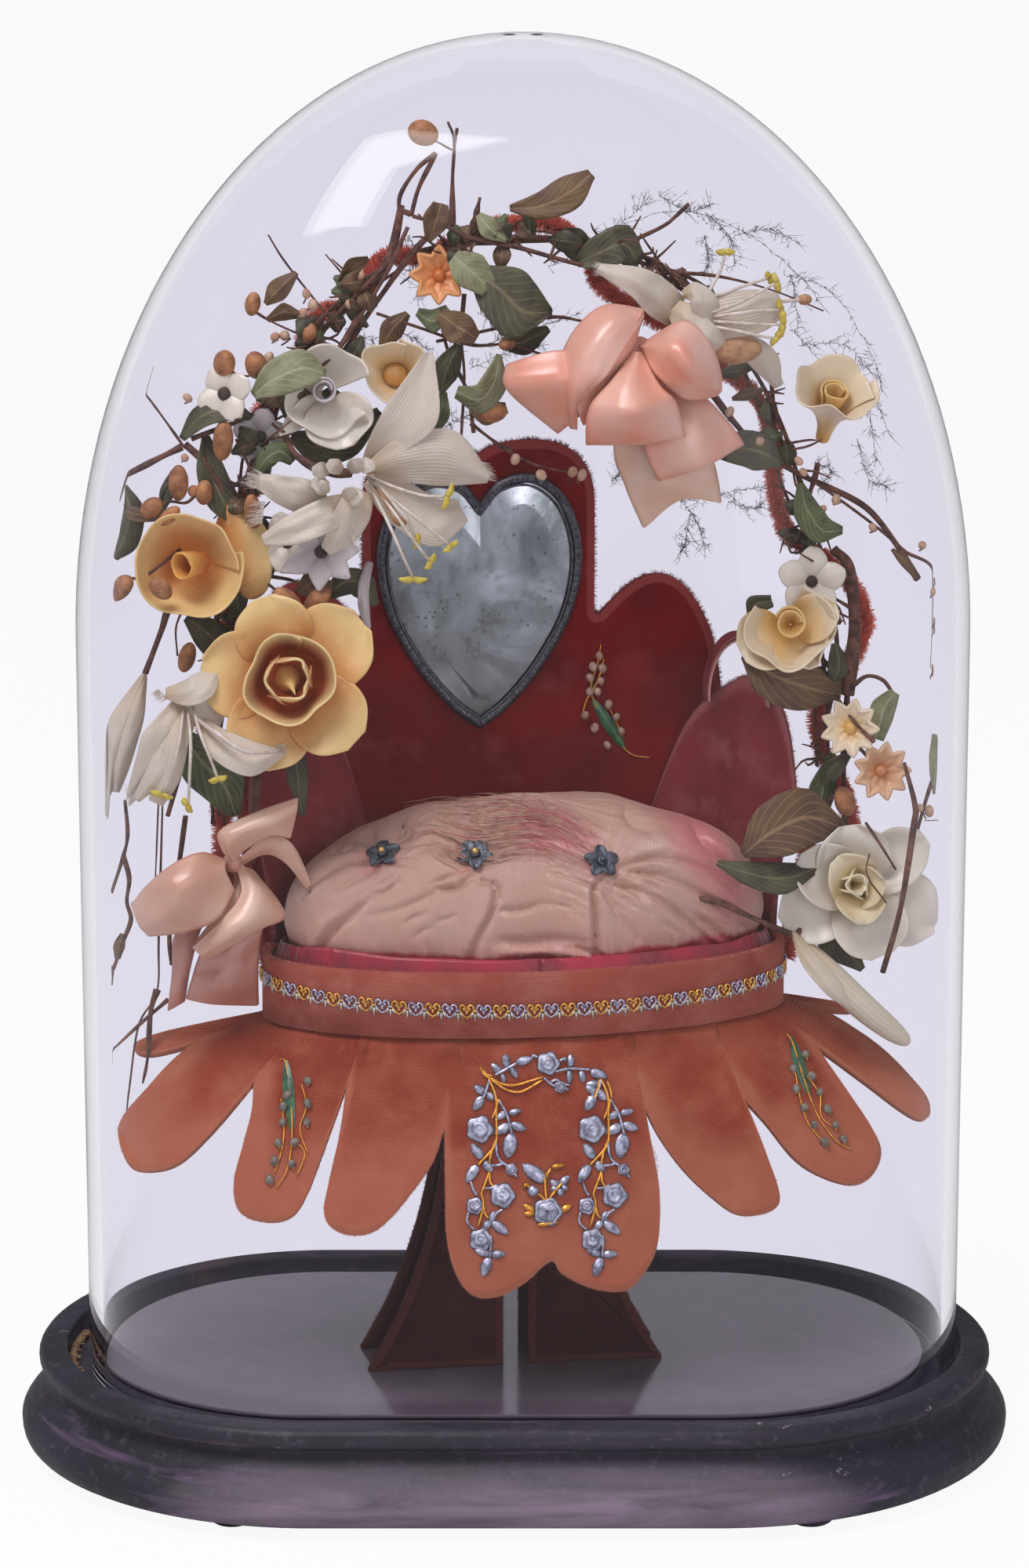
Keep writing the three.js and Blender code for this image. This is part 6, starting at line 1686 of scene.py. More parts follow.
class GLOBE_OT_wax_flowers(bpy.types.Operator):
    """The flowers of dipped wax: magnolia, callas, blossoms, stars and the big rose"""

    bl_idname = "globe.wax_flowers"
    bl_label = "Wax flowers"

    def execute(self, context):
        yellow, cream, white = colour("yellow_wax"), colour("cream_wax"), colour("white_wax")
        self.yellow = wax("yellow_wax", yellow, linear(206, 132, 62), linear(244, 222, 170), (0.12, 0.7))
        self.glow = wax("yellow_heart", linear(226, 168, 88), linear(176, 92, 36), linear(236, 190, 120), (0.2, 0.9))
        self.cream = wax("cream_wax", cream, linear(222, 178, 96), linear(246, 240, 222), (0.1, 0.75))
        self.cream_heart = wax("cream_heart", linear(228, 196, 128), linear(190, 138, 66), cream, (0.1, 0.9))
        self.white = wax("white_wax", white, linear(206, 196, 180), linear(240, 240, 240), (0.0, 0.5), 0.34)
        greys = linear(196, 192, 192), linear(158, 150, 150), linear(224, 222, 224)
        self.grey = wax("grey_wax", *greys, (0.0, 0.6), 0.36)
        self.orange = wax("orange_wax", colour("orange_wax"), linear(196, 112, 52), linear(238, 196, 150), (0.2, 0.9))
        # Painted shade: a dark brown for the hollow hearts of the blossoms and the star flower.
        self.dark = plain("hollow_shade", linear(70, 54, 44), linear(40, 30, 26), 300, 0.8, 0.1)
        self.magnolia()
        self.callas()
        self.blossoms()
        self.stars()
        self.rose()
        return {"FINISHED"}

    def magnolia(self):
        at = flower_at(369, 868, 23, (0.02, -1, 0.2))
        bm = bmesh.new()
        petals = (107, 26, 27, 4), (39, 28, 30, -4), (-42, 27, 28, 2), (-112, 27, 29, -3), (173, 26, 30, 0)
        for turn, long, wide, drop in petals:
            petal(bm, at, turn, long, wide, (30, 14 + drop, -8 + drop), BROAD, 0.14, 1.6, 4.5, grid=(10, 12))
        hung(bm, "yellow_magnolia_petals", ["yellow_magnolia"], "yellow_wax", [self.yellow], wall=0.9, levels=1)
        bm = bmesh.new()
        inner, innermost = (at @ Matrix.Translation((0, 0.4, height)) for height in (2, 4))
        trumpet(bm, inner, 15.0, 15, 4, (70, 470), 0.5, 1.5, 0.09, 0.14, 3.0, 0, (46, 14))
        for turn, long, wide in ((60, 15, 17), (-55, 14, 18), (185, 15, 17)):
            petal(bm, innermost, turn, long, wide, (74, 70, 96), BROAD, 0.7, 1.2, 4, grid=(10, 12))
        # The cup grades from brown-orange at its throat to pale yellow at its rim. The brown-orange is painted shade of
        # the deep throat.
        cup = wax("cup_wax_shaded_throat", linear(240, 216, 156), linear(168, 78, 28), linear(236, 190, 120), (0.45, 1.02))
        hung(bm, "yellow_magnolia_cup", [], "yellow_wax", [cup], wall=0.9, levels=1)
        bm = bmesh.new()
        path = [at @ Vector(point) for point in ((-1, 1, 1), (-0.6, 0.6, 6), (0.6, -1.2, 11), (2.2, -4.4, 16.5))]
        rod(bm, path, [5.4, 6.0, 4.6, 2.6, 0.9, 0.2], 18, 18)
        pistil = wax("pistil_wax", linear(240, 206, 128), linear(214, 140, 60), linear(246, 224, 170), (0.1, 0.7))
        hung(bm, "yellow_magnolia_pistil", [], "yellow_wax", [pistil])

    def callas(self):
        bm = bmesh.new()
        at = flower_at(240, 714, 4, (0.06, -1, 0.1))
        trumpet(bm, at, 17.6, 15, 2.5, (-10, 372), 0.62, 1.5, 0.1, 0.12, 3.6, 0, (52, 16))
        petal(bm, flower_at(262, 712, 6, (0.3, -1, 0.1)), 12, 20, 34, (70, 26, 8), BROAD, -0.1, 2.0, 4, grid=(12, 12))
        at = flower_at(256, 716, 12, (-0.62, -0.8, 0.0))
        trumpet(bm, at, 4.4, 10, 3.6, (0, 420), 1.0, 1.0, 0.05, 0.22, 0.6, 1, (28, 10))
        hung(bm, "yellow_calla_spathe", ["yellow_calla"], "yellow_wax", [self.yellow, self.glow], wall=0.9, levels=1)

        bm = bmesh.new()
        at = flower_at(419, 500, 8, (0.06, -1, 0.16))
        trumpet(bm, at, 14.6, 9, 2.5, (20, 330), 0.75, 1.4, 0.1, 0.1, 4.0, 0, (48, 14))
        petal(bm, at, -72, 19, 24, (40, 10, 30), BROAD, 0.4, 2.0, 2, grid=(10, 12))
        petal(bm, at, -140, 20, 9, (40, 0, -20), POINTED, 0.5, 1.0, 3)
        trumpet(bm, at @ Matrix.Translation((-2, 0.2, 3)), 3.7, 8, 2.8, (0, 500), 1.0, 1.0, 0.03, 0.42, 0.4, 1, (30, 8))
        hung(bm, "white_rose_petals", ["white_rose"], "white_wax", [self.white, self.grey], wall=0.9, levels=1)

        bm = bmesh.new()
        at = flower_at(505, 482, 2, (-0.06, -1, 0.38))
        trumpet(bm, at, 11, 14, 2.2, (60, 440), 0.9, 1.1, 0.16, 0.14, 3.0, 0, (44, 12))
        heart(bm, at, 4.2, 4.0, 0.3)
        hung(bm, "small_calla_spathe", ["small_calla"], "cream_wax", [self.cream, self.cream_heart], wall=0.8, levels=1)

        bm = bmesh.new()
        at = flower_at(1050, 560, 2, (0.14, -0.62, 0.78))
        trumpet(bm, at, 13.6, 27, 2.0, (-30, 372), 1.7, 0.8, 0.14, 0.16, 3.5, 0, (50, 18))
        at = at @ Matrix.Translation((0.4, 1.2, 13))
        trumpet(bm, at, 4.2, 10, 2.0, (0, 560), 0.8, 1.0, 0.05, 0.5, 0.6, 1, (36, 9))
        hung(bm, "right_calla_spathe", ["right_calla"], "cream_wax", [self.cream, self.cream_heart], wall=0.8, levels=1)

        bm = bmesh.new()
        at = flower_at(1007, 800, 14, (-0.04, -1, 0.26))
        trumpet(bm, at, 14.6, 11, 2.4, (150, 432), 0.7, 1.3, 0.1, 0.1, 4.0, 0, (48, 14))
        petal(bm, at, 18, 19, 17, (50, 20), BROAD, 0.3, 1.6, 2)
        petal(bm, at, -58, 17, 20, (46, 16, 50), BROAD, 0.5, 2.0, 2)
        petal(bm, at, -150, 18, 22, (44, 14, -8), BROAD, 0.3, 1.6, 2)
        trumpet(bm, at @ Matrix.Translation((0.5, 0.8, 4)), 4.8, 7, 0.2, (0, 520), 0.6, 1.0, 0.06, 0.4, 0.5, 1, (32, 8))
        hung(bm, "cream_calla_spathe", ["cream_calla"], "cream_wax", [self.cream, self.cream_heart], wall=0.8, levels=1)

    def blossoms(self):
        for name, node, px, py, out, towards, first, petals, long, wide, skin in (
            ("pale_blossoms", "pale_blossoms", 366, 692, 12, (-0.15, -1, 0.25), 40, 5, 9.6, 9.4, self.white),
            ("round_blossom", "round_blossom", 288, 503, 11, (-0.3, -1, 0.25), 30, 4, 8.6, 9.6, self.white),
            ("grey_blossom", "", 331, 556, 6, (0.1, -1, -0.05), 10, 5, 8.8, 8.6, self.grey),
            ("five_petal", "five_petal_flower", 1036, 741, 12, (0.05, -1, 0.1), 86, 5, 11.4, 10.4, self.white),
        ):
            bm = bmesh.new()
            at = flower_at(px, py, out, towards)
            for i in range(petals):
                turn = first + 360 / petals * i
                petal(bm, at, turn, long, wide, (30, 6, -12), OVAL_PETAL, -0.22, 0.7, 0.9, grid=(7, 9))
            # The heart takes the flower's second material, the painted shade of its hollow.
            heart(bm, at, 1.2, 1.5, 0.4)
            thick = 2.6 if petals == 4 else 1.7
            hung(bm, name + "_petals", [node] if node else [], "white_wax", [skin, self.dark], wall=thick, levels=1)

    def stars(self):
        bm = bmesh.new()
        at = flower_at(410, 704, 22, (-0.1, -1, 0.22))
        for turn in (4, 58, 132, 207, 268, 318):
            petal(bm, at, turn, 12.0 if turn != 207 else 14, 9.4, (24, 4, -14), POINTED, -0.16, 1.0, 1.2, grid=(7, 9))
        # The heart takes the second material, the painted shade of the hollow centre.
        heart(bm, at, 1.0, 1.9, 0.3)
        blade_of(bm, [(472, 716, 16), (464, 745, 18), (464, 775, 18), (470, 802, 16)], [6, 14, 13, 4], 1.0, ruffle=1.0)
        hung(bm, "star_flower_petals", ["star_flower"], "white_wax", [self.grey, self.dark], wall=1.1, levels=1)
        tan = wax("tan_wax", linear(222, 186, 150), linear(196, 132, 84), linear(240, 216, 190), (0.2, 0.9))
        for name, px, py, out, towards, radius, points, slot_name, skin in (
            ("orange_star", 560, 352, 8, (0.0, -1, 0.25), 10.6, 8, "orange_wax", self.orange),
            ("cream_star", 1086, 928, 20, (-0.2, -1, 0.2), 10.8, 9, "cream_wax", self.cream),
            ("tan_star", 1124, 982, 22, (0.15, -1, 0.1), 10.8, 9, "orange_wax", tan),
        ):
            bm = bmesh.new()
            at = flower_at(px, py, out, towards)
            star(bm, at, radius, points)
            heart(bm, at, 0.6, 1.7, 0.8, 0)
            hung(bm, name + "_wax", [name], slot_name, [skin], wall=1.5, levels=1)

    def rose(self):
        bm = bmesh.new()
        at = flower_at(1088, 1130, 16, (0.1, -1, 0.22))
        for turn, long, wide, lift, cup in (
            (208, 27, 24, (34, 4, -18), 0.2),
            (-24, 31, 27, (24, 0, -14), 0.16),
            (34, 29, 21, (30, 6, 20), 0.4),
            (-70, 25, 27, (40, 12, -8), 0.24),
            (96, 22, 27, (50, 24, 4), 0.3),
            (158, 24, 23, (56, 26, -6), 0.34),
        ):
            petal(bm, at, turn, long, wide, lift, BROAD, cup, 2.4, 2.0, grid=(10, 12))
        inner = (128, 18, 19, (78, 46, 10)), (8, 16, 16, (80, 60, 40)), (-84, 17, 18, (78, 40, 12))
        for turn, long, wide, lift in inner:
            petal(bm, at @ Matrix.Translation((0, 0, 2)), turn, long, wide, lift, BROAD, 0.5, 2.0, 1.0, 1)
        for turn in (60, 190, 300):
            petal(bm, at @ Matrix.Translation((-1, 1, 3)), turn, 12, 12, (84, 76, 60), BROAD, 0.7, 1.2, 0.6, 1)
        heart_wax = wax("rose_heart", linear(228, 220, 190), linear(214, 190, 130), linear(240, 236, 220), (0.0, 0.9))
        skins = [self.white, heart_wax]
        hung(bm, "big_white_rose_petals", ["big_white_rose"], "white_wax", skins, wall=0.8, levels=1)


class GLOBE_OT_silk_flowers(bpy.types.Operator):
    """Lilies and buds of stiffened silk, frayed at their edges"""

    bl_idname = "globe.silk_flowers"
    bl_label = "Silk flowers"

    def execute(self, context):
        silk = colour("silk")
        self.skins = [
            silk_petal("white_silk", silk, linear(204, 184, 150), linear(180, 168, 150)),
            plain("silk_thread", linear(234, 228, 218), linear(196, 186, 170), 300, 0.5, 0.1),
            plain("pollen", linear(226, 212, 104), linear(186, 166, 66), 500, 0.9, 0.4),
            plain("tan_bud", linear(196, 156, 116), linear(150, 108, 76), 260, 0.7, 0.3),
        ]
        self.satin_lily()
        self.top_lily()
        self.low_lily()
        self.buds()
        return {"FINISHED"}

    def frayed(self, bm, rng, ends, count, reach):
        """Loose threads where silk is cut across: ends are two pixels and a direction in pixels."""
        roots = []
        for ax, ay, bx, by, dx, dy, out in ends:
            a = spot(ax, ay, out)
            roots.append((a, spot(bx, by, out), spot(ax + dx, ay + dy, out) - a))

        def blade(_):
            a, b, away = rng.choice(roots)
            root = a.lerp(b, rng.random())
            lean = tossed(rng) * 0.35
            tip = root + (away.normalized() + lean) * reach * rng.uniform(0.3, 1)
            return root - away.normalized(), tip, (b - a).normalized() * 0.1

        blades(bm, count, blade, 1)

    def lobes(self, bm, grain, rows):
        """Lobes of silk: pixels along each, its widths, how its middle and one side stand out, and its ruffle."""
        for i, (line, widths, bow, tilt, ruffle) in enumerate(rows):
            blade_of(bm, line, widths, bow, tilt, ruffle=ruffle, grain=grain + i)

    def stamens(self, bm, rows):
        """Threads from the throat, each with a split yellow end."""
        for path, (dx, dy), long in rows:
            wire(bm, path, [0.5, 0.6, 0.55, 0.5], 6, 10, 1)
            px, py, out = path[-1]
            for share in (-1, 1):
                tip = (px + dx * share * long, py + dy * share * long, out + 0.8)
                bend = (px + dx * share * long * 0.5 - dy * 2, py + dy * share * long * 0.5 + dx * 2, out + 0.3)
                wire(bm, [(px, py, out), bend, tip], [0.9, 1.25, 1.0, 0.35], 6, 6, 2)

    def satin_lily(self):
        rng = scatter("satin lily")
        bm = bmesh.new()
        self.lobes(bm, 1, (
            ([(468, 598, 18), (490, 568, 26), (528, 524, 32), (548, 450, 28)], [20, 44, 68, 12], -1.6, 0.25, 1.4),
            ([(466, 602, 18), (512, 588, 26), (572, 584, 30), (624, 612, 28)], [18, 58, 74, 10], 2.6, -0.2, 1.8),
            ([(468, 612, 16), (508, 640, 20), (556, 668, 22), (590, 650, 18)], [18, 56, 62, 34], 1.6, 0.3, 1.4),
            ([(420, 652, 20), (388, 634, 24), (352, 622, 24), (326, 612, 20)], [22, 46, 34, 18], 1.4, 0.2, 2.6),
            ([(452, 640, 24), (420, 655, 28), (372, 676, 28), (334, 690, 24)], [26, 44, 40, 14], 1.6, -0.2, 2.4),
            ([(462, 625, 26), (450, 655, 28), (430, 690, 26), (416, 704, 24)], [30, 46, 36, 18], 1.2, 0.3, 2.0),
        ))
        for i in range(9):
            px, py = 436 + rng.uniform(-22, 22), 614 + rng.uniform(-22, 24)
            heading = rng.uniform(0, 2 * math.pi)
            far = (px + 24 * math.cos(heading), py + 18 * math.sin(heading), 30 + rng.uniform(-3, 4))
            line = [(px, py, 26), ((px + far[0]) / 2, (py + far[1]) / 2, 31), far]
            tilt = rng.uniform(-0.6, 0.6)
            blade_of(bm, line, [12, 22, 10], 1.0, tilt, columns=5, rows=7, ruffle=1.6, grain=i)
        hung(bm, "satin_lily_petals", ["satin_lily"], "white_silk", self.skins[:1], wall=0.35, levels=1)
        bm = bmesh.new()
        self.stamens(
            bm,
            (
                ([(468, 606, 24), (505, 622, 32), (540, 632, 36), (570, 633, 36)], (0.35, -0.94), 18),
                ([(470, 610, 24), (505, 640, 34), (545, 672, 38), (574, 696, 36)], (0.62, -0.5), 14),
                ([(472, 614, 24), (500, 650, 34), (528, 690, 38), (548, 716, 36)], (0.5, -0.8), 12),
                ([(470, 618, 24), (492, 660, 36), (512, 705, 40), (527, 738, 38)], (1.0, 0.02), 18),
                ([(474, 606, 24), (500, 640, 34), (520, 664, 36), (530, 690, 34)], (0.2, -1.0), 10),
            ),
        )
        wire(bm, [(470, 608, 22), (490, 634, 30), (506, 662, 34), (518, 668, 34)], [0.9, 1.1, 1.2, 1.7, 0.6], 8, 10, 3)
        ends = (
            (330, 602, 322, 622, -14, -3, 22), (334, 640, 330, 668, -14, 2, 22), (406, 600, 418, 620, -12, -10, 28),
            (352, 608, 372, 614, 0, 12, 24),
        )
        self.frayed(bm, rng, ends, 260, 5)
        self.frayed(bm, rng, ((616, 590, 622, 612, 10, 4, 28), (440, 650, 455, 700, 6, 4, 28)), 160, 3.4)
        hung(bm, "satin_lily_stamens", [], "white_silk", self.skins)

    def top_lily(self):
        rng = scatter("top lily")
        bm = bmesh.new()
        self.lobes(bm, 7, (
            ([(872, 412, 16), (846, 386, 22), (812, 360, 24), (762, 342, 20)], [26, 50, 40, 12], 1.4, -0.3, 1.4),
            ([(878, 418, 18), (920, 406, 24), (968, 396, 24), (998, 388, 20)], [26, 58, 56, 30], 2.0, 0.2, 1.4),
            ([(900, 438, 16), (948, 440, 20), (978, 462, 20), (994, 494, 16)], [18, 34, 36, 10], 1.2, -0.2, 1.2),
            ([(870, 376, 20), (884, 372, 24), (898, 386, 26), (900, 420, 24)], [10, 26, 36, 30], 2.4, 0.3, 1.6),
            ([(858, 392, 20), (878, 410, 26), (900, 432, 28), (926, 446, 24)], [24, 46, 44, 22], 2.2, 0.0, 2.0),
        ))
        hung(bm, "top_lily_petals", ["top_lily"], "white_silk", self.skins[:1], wall=0.35, levels=1)
        bm = bmesh.new()
        wire(bm, [(868, 402, 14), (888, 412, 20), (912, 420, 22)], [4.4, 5.0, 4.4, 1.0], 12, 10, 1)
        self.stamens(
            bm,
            (
                ([(898, 384, 24), (908, 366, 24), (920, 344, 22), (926, 320, 20)], (1.0, 0.0), 12),
                ([(905, 400, 26), (940, 388, 28), (970, 372, 26), (992, 360, 24)], (0.3, 0.95), 13),
                ([(910, 404, 26), (940, 400, 30), (972, 396, 30), (998, 396, 28)], (0.25, 0.97), 16),
                ([(910, 410, 26), (940, 412, 30), (972, 414, 30), (1000, 414, 28)], (-0.1, 1.0), 16),
                ([(908, 416, 26), (940, 422, 30), (966, 428, 30), (992, 432, 28)], (-0.6, 0.8), 12),
                ([(904, 380, 24), (930, 372, 24), (958, 362, 22), (984, 354, 20)], (0.5, 0.9), 9),
            ),
        )
        wire(bm, [(912, 402, 24), (950, 394, 24), (990, 386, 20), (1026, 382, 18)], [0.7, 0.6, 0.6, 0.7], 6, 12, 1)
        bead(bm, 1027, 382, 18, 1.9, 1.3, (1, 0, 0), 3)
        bead(bm, 942, 447, 26, 4.6, 1.75, (1, 0, 0.12), 3, 14, 10)
        self.frayed(bm, rng, ((764, 336, 766, 352, -10, -2, 20), (985, 476, 1000, 486, 5, 10, 16)), 120, 3)
        hung(bm, "top_lily_stamens", [], "white_silk", self.skins)

    def low_lily(self):
        rng = scatter("low lily")
        bm = bmesh.new()
        self.lobes(bm, 12, (
            ([(240, 892, 18), (222, 920, 24), (190, 965, 26), (158, 1018, 20)], [26, 40, 42, 10], 1.6, 0.3, 1.4),
            ([(246, 896, 20), (228, 935, 26), (206, 980, 28), (176, 1020, 22)], [20, 34, 32, 10], 1.6, -0.3, 1.2),
            ([(240, 900, 22), (226, 950, 28), (216, 990, 28), (200, 1024, 24)], [16, 30, 30, 20], 2.0, 0.1, 1.0),
            ([(212, 884, 24), (238, 884, 28), (262, 872, 28), (278, 858, 24)], [14, 34, 36, 8], 1.4, 0.5, 1.2),
            ([(240, 886, 24), (256, 892, 26), (270, 910, 24), (272, 930, 20)], [22, 44, 40, 14], 1.4, -0.3, 1.2),
            ([(256, 920, 26), (280, 948, 34), (322, 968, 38), (362, 960, 34)], [14, 40, 46, 8], 1.8, 0.5, 1.4),
        ))
        hung(bm, "low_lily_petals", ["low_lily"], "white_silk", self.skins[:1], wall=0.35, levels=1)
        bm = bmesh.new()
        self.stamens(
            bm,
            (
                ([(246, 900, 26), (256, 935, 34), (268, 965, 38), (278, 992, 36)], (0.96, -0.26), 12),
                ([(240, 905, 26), (244, 945, 34), (243, 985, 36), (241, 1026, 34)], (0.5, 0.85), 11),
                ([(234, 905, 26), (230, 945, 30), (220, 985, 30), (208, 1012, 28)], (0.95, 0.3), 15),
            ),
        )
        wire(bm, [(250, 916, 28), (276, 934, 38), (314, 958, 44), (360, 958, 36)], [0.7, 0.9, 0.8, 0.4], 6, 14, 1)
        path = [(230, 920, 22), (206, 965, 24), (184, 1000, 22), (168, 1026, 18)]
        wire(bm, path, [1.6, 1.8, 1.6, 1.5, 0.4], 8, 12, 1)
        ends = ((150, 1000, 170, 1020, -8, 8, 20), (355, 950, 364, 966, 10, -1, 34), (200, 880, 212, 892, -10, 6, 24))
        self.frayed(bm, rng, ends, 160, 3)
        hung(bm, "low_lily_stamens", [], "white_silk", self.skins)

    def buds(self):
        bm = bmesh.new()
        self.lobes(bm, 18, (
            ([(184, 858, -2), (164, 915, 2), (138, 978, 4), (116, 1044, -2)], [5, 40, 44, 12], 4.4, 0.1, 0.6),
            ([(185, 860, -1), (172, 912, 5), (156, 970, 6), (150, 1010, 3)], [5, 24, 26, 8], 2.6, -0.3, 0.6),
            ([(183, 860, -3), (156, 922, 0), (128, 990, 0), (113, 1040, -3)], [4, 30, 34, 16], -4.0, 0.2, 0.6),
        ))
        hung(bm, "left_long_bud_silk", ["left_long_bud"], "white_silk", self.skins[:1], wall=0.4, levels=1)
        bm = bmesh.new()
        path = [(1014, 1190, 22), (1050, 1232, 24), (1100, 1282, 24), (1150, 1322, 22), (1162, 1328, 21)]
        wire(bm, path, [0.9, 3.4, 4.6, 4.7, 3.8, 2.0, 0.3], 14, 24)
        fold = [(1012, 1188, 24), (1032, 1222, 28), (1062, 1258, 30), (1086, 1286, 28)]
        blade_of(bm, fold, [6, 22, 24, 6], 1.6, 0.3, ruffle=0.7, grain=21)
        cream = silk_petal("bud_silk", linear(226, 218, 196), linear(210, 190, 150), linear(196, 176, 146))
        hung(bm, "right_long_bud_silk", ["right_long_bud"], "white_silk", [cream], wall=0.3)


# The ribbons of each bow: three rails of (px, py, out), how far a loop comes back behind (0 for a single sheet),
# then the material, the ruffle and the grid.
UPPER_RIBBONS = (
    ((
        [(804, 446, 26), (745, 446, 34), (700, 448, 36), (647, 464, 28)],
        [(806, 450, 28), (742, 478, 40), (700, 488, 42), (648, 498, 32)],
        [(808, 454, 26), (752, 520, 34), (735, 535, 34), (712, 554, 27)],
    ), 14, 0, 0.8, (12, 34)),
    ((
        [(815, 440, 34), (872, 408, 44), (908, 440, 44), (921, 482, 34)],
        [(815, 442, 38), (858, 446, 56), (890, 478, 56), (920, 498, 42)],
        [(815, 445, 34), (838, 482, 46), (872, 510, 46), (912, 506, 36)],
    ), 16, 0, 0.8, (12, 34)),
    ((
        [(820, 394, 32), (770, 389, 36), (732, 420, 36), (712, 466, 34), (716, 518, 32), (727, 547, 30)],
        [(820, 398, 36), (782, 410, 46), (752, 452, 48), (733, 492, 46), (730, 524, 40), (732, 548, 34)],
        [(822, 404, 38), (800, 440, 46), (776, 478, 48), (752, 502, 46), (738, 518, 42), (736, 549, 36)],
    ), 0, 0, 0.9, (14, 30)),
    ((
        [(822, 392, 38), (798, 437, 45), (770, 478, 47), (750, 502, 46), (735, 516, 42)],
        [(820, 404, 34), (804, 448, 40), (782, 480, 42), (760, 512, 42), (740, 536, 40)],
        [(812, 430, 28), (806, 462, 32), (790, 490, 34), (766, 522, 36), (744, 544, 36)],
    ), 0, 0, 0.4, (8, 24)),
    ((
        [(808, 446, 38), (780, 484, 48), (750, 520, 50), (746, 566, 44)],
        [(812, 448, 42), (802, 500, 56), (806, 530, 60), (812, 566, 50)],
        [(818, 448, 38), (842, 492, 48), (864, 514, 50), (874, 556, 42)],
    ), 16, 0, 2.0, (12, 34)),
    ((
        [(826, 470, 26), (832, 520, 30), (820, 568, 34), (838, 613, 30)],
        [(840, 468, 28), (878, 520, 38), (882, 566, 42), (896, 596, 38)],
        [(852, 466, 26), (900, 508, 32), (930, 538, 34), (950, 566, 30)],
    ), 14, 0, 1.2, (12, 34)),
    ((
        [(806, 500, 16), (782, 566, 20), (796, 620, 20), (820, 676, 18)],
        [(826, 500, 18), (830, 570, 26), (848, 612, 26), (868, 638, 22)],
        [(852, 500, 16), (906, 580, 20), (916, 612, 20), (921, 642, 18)],
    ), 0, 1, 1.2, (12, 24)),
)
LOWER_RIBBONS = (
    ((
        [(290, 1096, 24), (256, 1086, 32), (214, 1106, 32), (170, 1148, 24)],
        [(288, 1108, 30), (244, 1126, 40), (206, 1150, 40), (171, 1168, 28)],
        [(300, 1136, 26), (278, 1172, 34), (242, 1188, 34), (194, 1194, 26)],
    ), 12, 0, 0.7, (12, 34)),
    ((
        [(296, 1100, 22), (282, 1082, 28), (280, 1058, 30), (328, 1034, 30), (380, 1016, 26)],
        [(298, 1102, 24), (292, 1084, 32), (302, 1066, 34), (338, 1050, 34), (378, 1036, 28)],
        [(300, 1104, 20), (306, 1090, 24), (322, 1078, 26), (346, 1066, 28), (370, 1070, 24)],
    ), 0, 0, 0.7, (10, 26)),
    ((
        [(300, 1098, 16), (340, 1066, 20), (372, 1076, 20), (397, 1128, 18)],
        [(302, 1102, 17), (338, 1080, 20), (370, 1088, 21), (394, 1131, 18)],
        [(304, 1106, 16), (336, 1090, 18), (362, 1100, 20), (389, 1133, 17)],
    ), 0, 0, 0.5, (8, 22)),
    ((
        [(300, 1104, 22), (306, 1140, 28), (278, 1176, 32), (247, 1206, 28)],
        [(310, 1104, 22), (330, 1140, 30), (306, 1182, 36), (258, 1216, 30)],
        [(322, 1108, 18), (364, 1166, 24), (330, 1186, 30), (262, 1224, 26)],
    ), 10, 0, 0.8, (12, 34)),
    ((
        [(252, 1176, 10), (222, 1192, 12), (219, 1240, 12), (213, 1290, 8)],
        [(256, 1176, 11), (236, 1196, 14), (230, 1242, 14), (224, 1284, 9)],
        [(260, 1176, 10), (252, 1198, 12), (242, 1240, 12), (236, 1277, 8)],
    ), 0, 1, 0.7, (8, 18)),
    ((
        [(270, 1170, 12), (252, 1222, 16), (243, 1250, 16), (236, 1274, 12)],
        [(300, 1170, 14), (293, 1216, 20), (284, 1256, 20), (272, 1281, 14)],
        [(340, 1170, 12), (333, 1196, 15), (329, 1240, 15), (330, 1283, 11)],
    ), 0, 1, 2.2, (12, 20)),
    # The inside of the big loop, seen through its opening, in the darker satin: painted shade.
    ((
        [(290, 1100, 26), (276, 1110, 25), (271, 1128, 24), (278, 1146, 25)],
        [(292, 1102, 18), (286, 1116, 16), (284, 1130, 16), (288, 1140, 18)],
        [(295, 1104, 25), (300, 1118, 24), (297, 1132, 24), (286, 1147, 25)],
    ), 0, 2, 0.2, (10, 12)),
)


